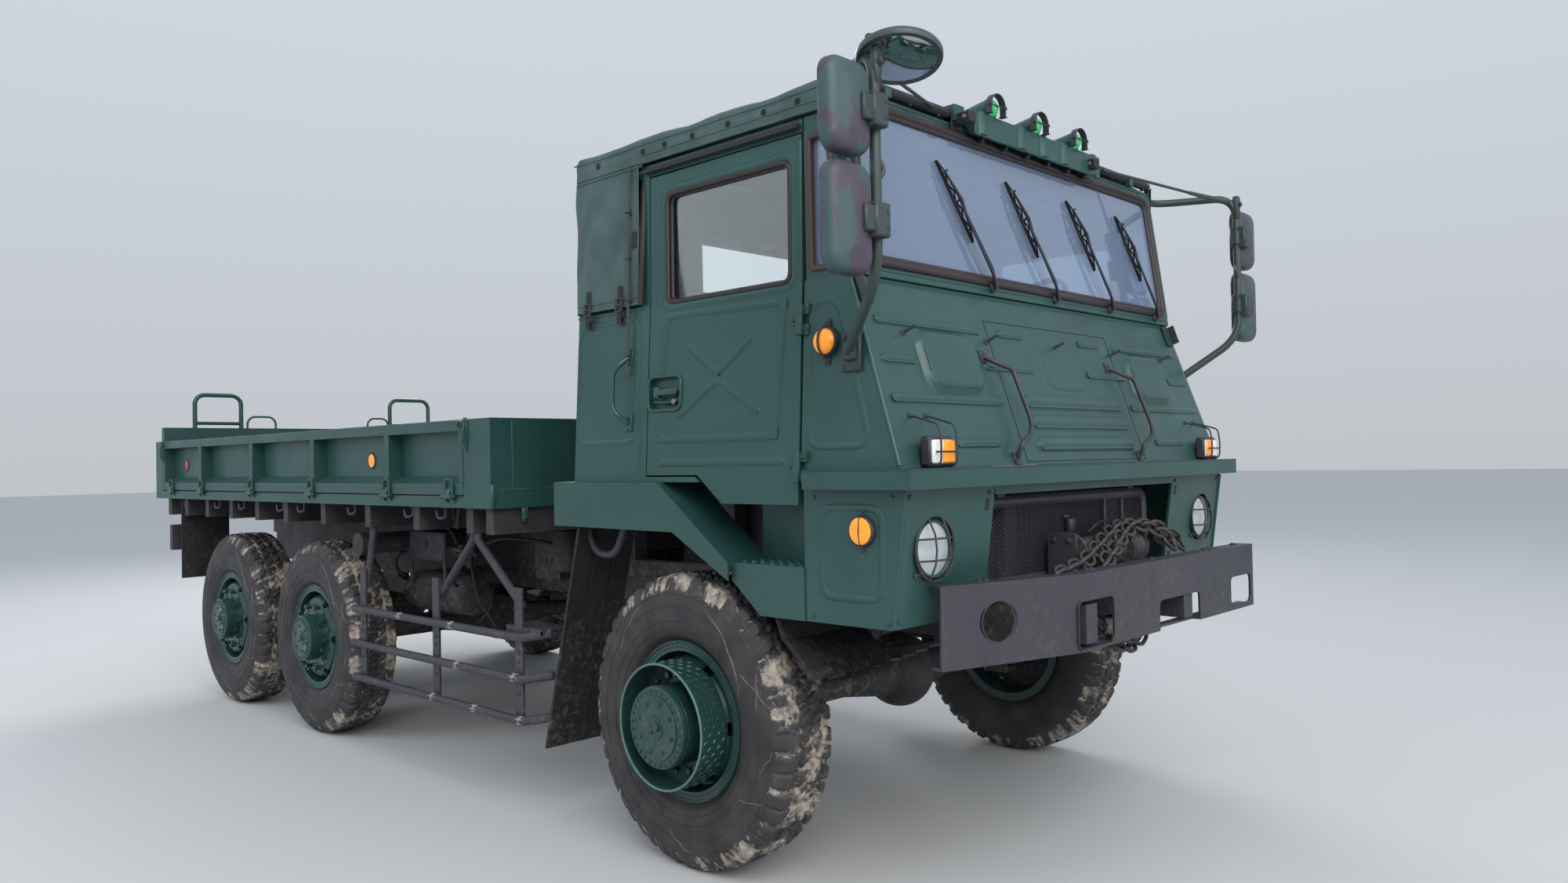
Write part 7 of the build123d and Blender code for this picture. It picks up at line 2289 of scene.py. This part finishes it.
def dress_air_tank():
    tank = Piece()
    for station in (2.3, 2.64):
        tank.sweep(
            ring_of(Vector((tank_axis.x, front_y + station, tank_axis.z)), (0, 1, 0), tank_radius + 0.001, 40),
            0.0045, 6, closed=True
        )
        tank.slab((-0.88, front_y + station - 0.01, 0.792), (-0.864, front_y + station + 0.01, 0.812), 0.003)
    for station, facing in ((tank_start, -1), (tank_end, 1)):
        tank.lathe(
            (tank_axis.x, front_y + station, tank_axis.z), (0, facing, 0),
            (
                (-0.014, tank_radius + 0.0015), (0.004, tank_radius), (0.014, tank_radius - 0.012), (0.024, 0.062),
                (0.029, 0.02)
            ),
            40
        )
        tank.lathe(
            (tank_axis.x, front_y + station, tank_axis.z), (0, facing, 0),
            ((0.02, 0.016), (0.044, 0.016), (0.048, 0.011)), 6
        )
    tank.bolt((tank_axis.x, front_y + 2.465, 0.694), (0, 0, -1), 0.012)
    tank.build("air_tank_fittings", under, 45)

    face_x = -0.869
    outward = Vector((-1, 0, 0))
    panel = Piece()
    panel.slab((face_x - 0.003, front_y + 2.296, 0.992), (face_x, front_y + 2.674, 1.129), 0.002)
    for y, z in ((2.312, 1.006), (2.658, 1.006), (2.312, 1.116), (2.658, 1.116)):
        panel.bolt((face_x - 0.003, front_y + y, z), outward, 0.0065)
    panel.slab((face_x - 0.002, front_y + 2.3, 1.129), (-0.8, front_y + 2.67, 1.137), 0.002)
    panel.build("valve_panel", dark, 40)
    # A black disc and rim where the panel's hole is: painted shade in the opening.
    dim = Piece()
    hole = [
        Vector((face_x - 0.0036, front_y + 2.485 + 0.016 * math.cos(t), 1.074 + 0.024 * math.sin(t)))
        for t in [2 * math.pi * k / 24 for k in range(24)]
    ]
    dim.plate(hole, (0.001, 0, 0))
    dim.sweep(hole, 0.0014, 6, closed=True)
    dim.build("valve_panel_hole", black, 40)

    valves = Piece()
    for station, x, low, high, radius in (
        (2.2, -0.82, 0.985, 1.08, 0.03), (2.13, -0.8, 1.0, 1.06, 0.022), (2.735, -0.83, 1.0, 1.075, 0.026),
        (2.25, -0.74, 0.94, 1.14, 0.034)
    ):
        spot = (x, front_y + station, low)
        height = high - low
        valves.lathe(
            spot, (0, 0, 1),
            (
                (0.0, radius * 0.6), (height * 0.12, radius), (height * 0.55, radius), (height * 0.62, radius * 0.72),
                (height * 0.9, radius * 0.7), (height, radius * 0.4)
            ),
            20
        )
        valves.lathe(
            (x - radius * 0.8, front_y + station, (low + high) / 2), (-1, 0, 0),
            ((0.0, 0.011), (0.02, 0.011), (0.024, 0.008)), 6
        )
        for end in (-1, 1):
            valves.lathe(
                (x, front_y + station + end * radius * 0.7, low + height * 0.35), (0, end, 0),
                ((0.0, 0.012), (0.022, 0.012), (0.026, 0.007)), 6
            )
    valves.slab((-0.86, front_y + 2.15, 1.04), (-0.78, front_y + 2.235, 1.06), 0.004)
    valves.build("air_valves", under, 40)

    lines = Piece()

    def hose(path, radius=0.0085, ease=0.05):
        lines.sweep(from_axle(path, ease), radius, 8)

    hose([(-0.845, 2.2, 1.01), (-0.875, 2.15, 0.96), (-0.89, 2.16, 0.9), (-0.86, 2.215, 0.86), (-0.8, 2.2, 0.85)])
    hose([(-0.85, 2.735, 1.02), (-0.885, 2.8, 1.0), (-0.89, 2.81, 0.92), (-0.85, 2.77, 0.88)])
    hose([(-0.82, 2.25, 1.08), (-0.84, 2.28, 1.16), (-0.84, 2.62, 1.165), (-0.83, 2.7, 1.14), (-0.83, 2.735, 1.075)])
    hose(
        [
            (-0.81, 2.12, 1.02), (-0.87, 2.02, 0.96), (-0.87, 1.96, 0.8), (-0.8, 1.9, 0.66), (-0.72, 1.96, 0.62),
            (-0.65, 2.06, 0.66)
        ],
        0.0075
    )
    hose([(-0.78, 2.13, 1.06), (-0.76, 1.9, 1.12), (-0.64, 1.7, 1.1), (-0.56, 1.62, 1.06)], 0.0075)
    hose([(-0.74, 2.25, 1.13), (-0.72, 2.2, 1.18), (-0.6, 2.0, 1.18), (-0.5, 1.8, 1.16)], 0.007)
    hose([(-0.7, 2.08, 0.86), (-0.78, 1.98, 0.76), (-0.8, 2.06, 0.68), (-0.74, 2.16, 0.68)], 0.0075)
    hose([(-1.12, 1.7, 1.29), (-1.12, 1.72, 1.2), (-1.08, 1.8, 1.2), (-1.08, 1.82, 1.29)], 0.012)
    lines.build("air_lines", black, 45)

    coil = Piece()
    coil.lathe(
        (-0.64, front_y + 1.5, 0.96), (0, 0, 1),
        ((0.0, 0.06), (0.01, 0.072), (0.17, 0.072), (0.18, 0.066), (0.2, 0.064), (0.214, 0.04)), 32
    )
    coil.lathe((-0.64, front_y + 1.5, 0.96), (0, 0, 1), ((0.086, 0.0745), (0.092, 0.0745), (0.093, 0.0725)), 32)
    coil.slab((-0.574, front_y + 1.47, 1.0), (-0.436, front_y + 1.53, 1.03), 0.004)
    coil.slab((-0.592, front_y + 1.64, 0.9), (-0.586, front_y + 1.86, 1.085), 0.003)
    coil.slab((-0.59, front_y + 1.64, 0.9), (-0.432, front_y + 1.65, 1.0), 0.003)
    coil.build("air_drier", under, 40)
    # Black ovals where the bracket's slots are: painted shade in the openings.
    slots = Piece()
    for y in (1.7, 1.755, 1.81):
        oval = [
            Vector((-0.5926, front_y + y + 0.012 * math.cos(t), 0.995 + 0.02 * math.sin(t)))
            for t in [2 * math.pi * k / 20 for k in range(20)]
        ]
        slots.plate(oval, (0.0006, 0, 0))
    slots.build("bracket_slots", black, 40)


def dress_guards():
    worn = Piece()
    scuffs = ((0.57, 1.55), (0.57, 1.075), (0.392, 1.78), (0.392, 1.4), (0.392, 1.03), (0.75, 2.1), (0.75, 1.6))
    for z, station in scuffs:
        y = front_y + station
        for turn in range(6):
            angle = math.radians(20 + turn * 28)
            length = 0.018 + 0.012 * math.sin(turn * 2.1 + station * 9)
            turned = angle - math.pi / 2
            leaned = Vector((guard_x - 0.019 * math.cos(turned + 0.4), y, z + 0.019 * math.sin(turned + 0.9)))
            spot = Vector((guard_x, y, z)) + (leaned - Vector((guard_x, y, z))).normalized() * 0.0188
            worn.sweep(
                [spot + Vector((0, -length, 0)), spot, spot + Vector((0, length, 0))], [0.0008, 0.003, 0.0008], 6
            )
    worn.build("guard_scuffs", plain("worn_paint", srgb(150, 148, 146), 0.6, spread=0.2), 60)
    fixings = Piece()
    for side in (-1, 1):
        outward = Vector((side, 0, 0))
        for station in (1.075, 1.79, 2.55):
            for z in (0.68, 0.5, 0.64):
                fixings.bolt((side * 1.2025, front_y + station, z), outward, 0.0065)
            fixings.slab(
                (side * 1.2015 - 0.0008, front_y + station - 0.006, 0.43),
                (side * 1.2015 + 0.0008, front_y + station + 0.006, 0.475), 0.0
            )
        for z in (0.57, 0.392):
            tip = Vector((side * 1.152, front_y + 0.89, z + 0.025))
            fixings.lathe(tip, (side * -0.07, -0.13, 0.025), ((-0.002, 0.019), (0.004, 0.016), (0.006, 0.006)), 16)
    fixings.build("guard_fixings", dark, 40)
    grating = Piece()
    for index in range(9):
        x = -1.195 + index * 0.016
        grating.slab((x, front_y + 0.905, 0.77), (x + 0.003, front_y + 1.18, 0.788), 0.0)
        for tooth in range(14):
            y = front_y + 0.912 + tooth * 0.0195
            grating.slab((x, y, 0.788), (x + 0.003, y + 0.009, 0.794), 0.0)
    for y in (0.905, 0.995, 1.085, 1.175):
        grating.slab((-1.2, front_y + y, 0.768), (-1.062, front_y + y + 0.005, 0.786), 0.0)
    grating.slab((-1.2, front_y + 0.905, 0.764), (-1.196, front_y + 1.18, 0.79), 0.0)
    grating.build("step_grating", dark, 30)


def dress_steps():
    plates = Piece()
    for side in (-1, 1):
        for row in range(8):
            for column in range(15):
                x = side * (1.022 + row * 0.0215)
                y = front_y - 0.608 + column * 0.0225
                turn = math.pi / 4 * (1 if (row + column) % 2 else -1)
                lozenge(
                    plates, Vector((x, y, 1.14)), Vector((math.cos(turn), math.sin(turn), 0)), Vector((0, 0, 1)),
                    0.021, 0.006, 0.0022
                )
        plates.bead(
            [(side * 1.1978, front_y - 0.447, 0.972), (side * 1.1978, front_y - 0.447, 1.132)], Vector((side, 0, 0)),
            0.006, 0.0016
        )
    plates.build("step_treads", green, 30)
    loops = Piece()
    for side in (-1, 1):
        loops.sweep(
            from_axle(
                [
                    (side * 1.135, 0.655, 1.395), (side * 1.135, 0.64, 1.2), (side * 1.135, 0.585, 1.125),
                    (side * 1.135, 0.47, 1.125), (side * 1.135, 0.405, 1.23), (side * 1.135, 0.385, 1.395)
                ],
                0.05
            ),
            0.0155, 12
        )
    loops.build("step_loops", dark, 45)
    ribs = Piece()
    bend = ((-0.466, 1.136), (-0.466, 0.954), (-0.494, 0.889), (-0.552, 0.842), (-0.616, 0.765))
    for side in (-1, 1):
        for x in (1.172, 1.06, 0.95, 0.84):
            ribs.sweep([(side * x, front_y + y - 0.0085, z) for y, z in bend], 0.0042, 6)
        path = [(side * 1.196, front_y + 0.583, 1.395), (side * 1.196, front_y + 0.882, 0.3)]
        ribs.sweep(path, 0.0065, 8)
        for x in (1.1, 1.0):
            ribs.sweep([(side * x, front_y + 0.59, 1.33), (side * x, front_y + 0.872, 0.305)], 0.003, 6)
        for z in (1.26, 1.285):
            for x in (0.93, 1.02, 1.1, 1.18):
                ribs.bolt((side * x, front_y + 5.2985, z), (0, 1, 0), 0.007)
    ribs.build("flap_ribs", flap, 45)


dress_air_tank()
dress_guards()
dress_steps()


# Wheels: lock ring, studs, hub bolts, the step ring's tread plate, sidewall lines

# A paler green, laid on the rounded lip of the step ring.
pale_lip_green = plain("pale_lip_green", srgb(74, 104, 96), 0.42, spread=0.3)
scratches = (
    # turn where it starts, turn it runs, radius at its start and end
    (1.9, 0.85, 0.455, 0.35),
    (2.05, 0.55, 0.44, 0.365),
    (2.6, 0.3, 0.47, 0.42),
    (2.9, -0.35, 0.475, 0.39),
    (3.2, 0.2, 0.48, 0.43),
    (0.6, 0.5, 0.4, 0.46),
    (4.6, 0.25, 0.47, 0.405),
    (3.6, 0.15, 0.482, 0.38),
)
scratch_colour = plain("scratched_rubber", srgb(150, 142, 136), 0.8, spread=0.2)


def sidewall_x(radius):
    """How far the tyre's outer skin stands from its middle at a radius."""
    for (x0, r0), (x1, r1) in zip(tyre_profile, tyre_profile[1:]):
        if r0 <= radius <= r1:
            return x0 + (x1 - x0) * (radius - r0) / (r1 - r0)
    return tyre_profile[-1][0]


def dress_wheel(name):
    centre = middle(f"tyre_{name}")
    side = 1 if name.endswith("left") else -1
    out = Vector((side, 0, 0))
    body = f"wheel_{name}"
    front = name.startswith("front")

    def at(x, radius, angle):
        return centre + out * x + Vector((0, math.cos(angle), math.sin(angle))) * radius

    def hoop(x, radius, start=0.0, sweep=2 * math.pi, count=72):
        return [at(x, radius, start + sweep * k / count) for k in range(count + (0 if sweep == 2 * math.pi else 1))]

    rings = Piece()
    rings.sweep(hoop(0.1085, 0.288, 1.5, 2 * math.pi - 0.045), 0.0052, 8)
    rings.sweep(hoop(0.1075, 0.272), 0.0034, 8, closed=True)
    rings.sweep(hoop(0.101, 0.259), 0.003, 8, closed=True)
    rings.sweep(hoop(0.0965, 0.216 if front else 0.217), 0.0022, 8, closed=True)
    for k in range(10):
        angle = math.radians(18 + 36 * k)
        for start, radius, height in ((0.112, 0.0185, 0.0035), (0.145, 0.0085, 0.011)):
            rings.disc(at(start, 0.176, angle), out, radius, height, 16)
    hub_r, hub_x, bolts, bolt_r = (0.147, 0.247, 28, 0.0058) if front else (0.126, 0.192, 24, 0.0056)
    for k in range(bolts):
        rings.bolt(at(hub_x, hub_r - 0.0155, 2 * math.pi * k / bolts + 0.05), out, bolt_r)
    rings.lathe(
        centre + out * hub_x, out,
        ((0.0, hub_r - 0.029), (0.0045, hub_r - 0.03), (0.005, hub_r - 0.036), (0.003, hub_r - 0.04), (0.003, 0.044)),
        48
    )
    cap_bolts, cap_radius = (8, 0.09) if front else (6, 0.07)
    for k in range(cap_bolts):
        rings.bolt(at(hub_x + 0.0035, cap_radius, 2 * math.pi * k / cap_bolts + 0.3), out, 0.0062)
    rings.disc(at(hub_x + 0.006, 0.012, 2.6), out, 0.017, 0.0085, 24)
    rings.disc(at(hub_x + 0.006, 0.019, -0.4), out, 0.012, 0.0075, 20)
    for x in (hub_x - 0.014, hub_x - 0.03):
        rings.sweep(hoop(x, hub_r + 0.0002), 0.0016, 6, closed=True)
    rings.rod(at(0.104, 0.244, 4.1), at(0.142, 0.238, 4.1), 0.0045, 10, 0.0038)
    rings.build(f"wheel_fittings_{name}", gloss_green, 40, body)
    backing = Piece()
    backing.lathe(centre + out * 0.036, out, ((0.0, 0.134), (0.0, 0.2395), (0.004, 0.2395), (0.004, 0.134)), 56)
    backing.build(f"brake_shield_{name}", under, 40, body)

    if front:
        tread = Piece()
        for k in range(56):
            angle = 2 * math.pi * k / 56
            normal = Vector((0, math.cos(angle), math.sin(angle)))
            tangent = Vector((0, -math.sin(angle), math.cos(angle)))
            for row in range(5):
                lean = 1 if (k + row) % 2 else -1
                along = (out + tangent * lean).normalized()
                lozenge(tread, at(0.1255 + row * 0.0215, 0.228, angle), along, normal, 0.024, 0.0066, 0.0022)
        tread.build(f"step_ring_tread_{name}", gloss_green, 30, body)
        lip = Piece()
        lip.sweep(hoop(0.227, 0.2245, count=96), 0.0047, 8, closed=True)
        lip.build(f"step_ring_lip_{name}", pale_lip_green, 60, body)

    lines = Piece()
    for radius in (0.3385, 0.37, 0.423, 0.469):
        lines.sweep(hoop(sidewall_x(radius) + 0.0002, radius, count=96), 0.0014, 6, closed=True)
    lines.build(f"sidewall_lines_{name}", tyre_skin, 60, body)
    if side < 0:
        marks = Piece()
        for start, turn, r0, r1 in scratches:
            path = []
            for k in range(9):
                radius = r0 + (r1 - r0) * k / 8 + 0.004 * math.sin(k * 1.7 + start * 5)
                path.append(at(sidewall_x(radius) + 0.0004, radius, start + turn * k / 8))
            marks.sweep(path, [0.0002] + [0.0006] * 7 + [0.0002], 5)
        marks.build(f"sidewall_scratches_{name}", scratch_colour, 60, body)


for wheel_name in wheel_names:
    dress_wheel(wheel_name)


# Floor, lamps and camera


def studio():
    """Pale floor under a soft, bright sky of one colour that darkens toward the horizon."""
    reach = 80
    mesh = bpy.data.meshes.new("floor")
    mesh.from_pydata(
        [(-reach, -reach, 0), (reach, -reach, 0), (reach, reach, 0), (-reach, reach, 0)], [], [(0, 1, 2, 3)]
    )
    mesh.materials.append(plain("floor", (0.5, 0.5, 0.495, 1), 0.75, scale=3, strength=0.0))
    floor = bpy.data.objects.new("floor", mesh)
    bpy.context.scene.collection.objects.link(floor)

    world = bpy.data.worlds.new("studio")
    bpy.context.scene.world = world
    world.use_nodes = True
    tree = world.node_tree
    back = tree.nodes["Background"]
    coords = tree.nodes.new("ShaderNodeTexCoord")
    split = tree.nodes.new("ShaderNodeSeparateXYZ")
    rise = tree.nodes.new("ShaderNodeMapRange")
    rise.inputs["From Min"].default_value = -0.02
    rise.inputs["From Max"].default_value = 0.75
    sky = tree.nodes.new("ShaderNodeMix")
    sky.data_type = "RGBA"
    sky.inputs[6].default_value = (0.62, 0.65, 0.69, 1)
    sky.inputs[7].default_value = (0.84, 0.93, 1.06, 1)
    tree.links.new(coords.outputs["Generated"], split.inputs[0])
    tree.links.new(split.outputs["Z"], rise.inputs["Value"])
    tree.links.new(rise.outputs["Result"], sky.inputs[0])
    tree.links.new(sky.outputs[2], back.inputs["Color"])
    back.inputs["Strength"].default_value = 0.85


def area_lamp(name, place, target, size, power, colour, mirrored=True):
    lamp = bpy.data.lights.new(name, "AREA")
    lamp.shape = "RECTANGLE"
    lamp.size, lamp.size_y = size
    lamp.energy = power
    lamp.color = colour
    holder = bpy.data.objects.new(name, lamp)
    holder.location = place
    holder.visible_glossy = mirrored
    holder.rotation_euler = (Vector(target) - Vector(place)).to_track_quat("-Z", "Y").to_euler()
    bpy.context.scene.collection.objects.link(holder)


def set_camera():
    """Camera where the picture was taken: 1.5 m up off the right front corner."""
    yaw, pitch, roll = (math.radians(angle) for angle in (46.356, 0.94, -1.065))
    place = Vector((-3.848, front_y - 3.066, 1.497))
    ahead = Vector((math.sin(yaw) * math.cos(pitch), math.cos(yaw) * math.cos(pitch), math.sin(pitch)))
    right = Vector((math.cos(yaw), -math.sin(yaw), 0))
    up = right.cross(ahead)
    turned_right = right * math.cos(roll) + up * math.sin(roll)
    turned_up = up * math.cos(roll) - right * math.sin(roll)
    data = bpy.data.cameras.new("camera")
    data.sensor_width = 36
    data.lens = 25.12
    data.clip_end = 300
    camera = bpy.data.objects.new("camera", data)
    camera.matrix_world = Matrix.Translation(place) @ Matrix(
        (
            (turned_right.x, turned_up.x, -ahead.x, 0),
            (turned_right.y, turned_up.y, -ahead.y, 0),
            (turned_right.z, turned_up.z, -ahead.z, 0),
            (0, 0, 0, 1),
        )
    )
    bpy.context.scene.collection.objects.link(camera)
    bpy.context.scene.camera = camera


studio()
area_lamp("key", (-6.5, -11.5, 9), (0, -1.5, 1.2), (9, 9), 1250, (1.0, 0.98, 0.95))
area_lamp("fill", (-10, 4, 5), (0, 0, 1.0), (6, 5), 460, (0.92, 0.96, 1.0), False)
area_lamp("front_fill", (1, -13, 5), (0, -3, 1.4), (8, 6), 300, (0.88, 0.95, 1.0))
area_lamp("rim", (6, 9, 8), (0, 0, 1.6), (6, 4), 700, (1.0, 1.0, 1.0))
set_camera()
bpy.context.scene.view_settings.view_transform = "Standard"
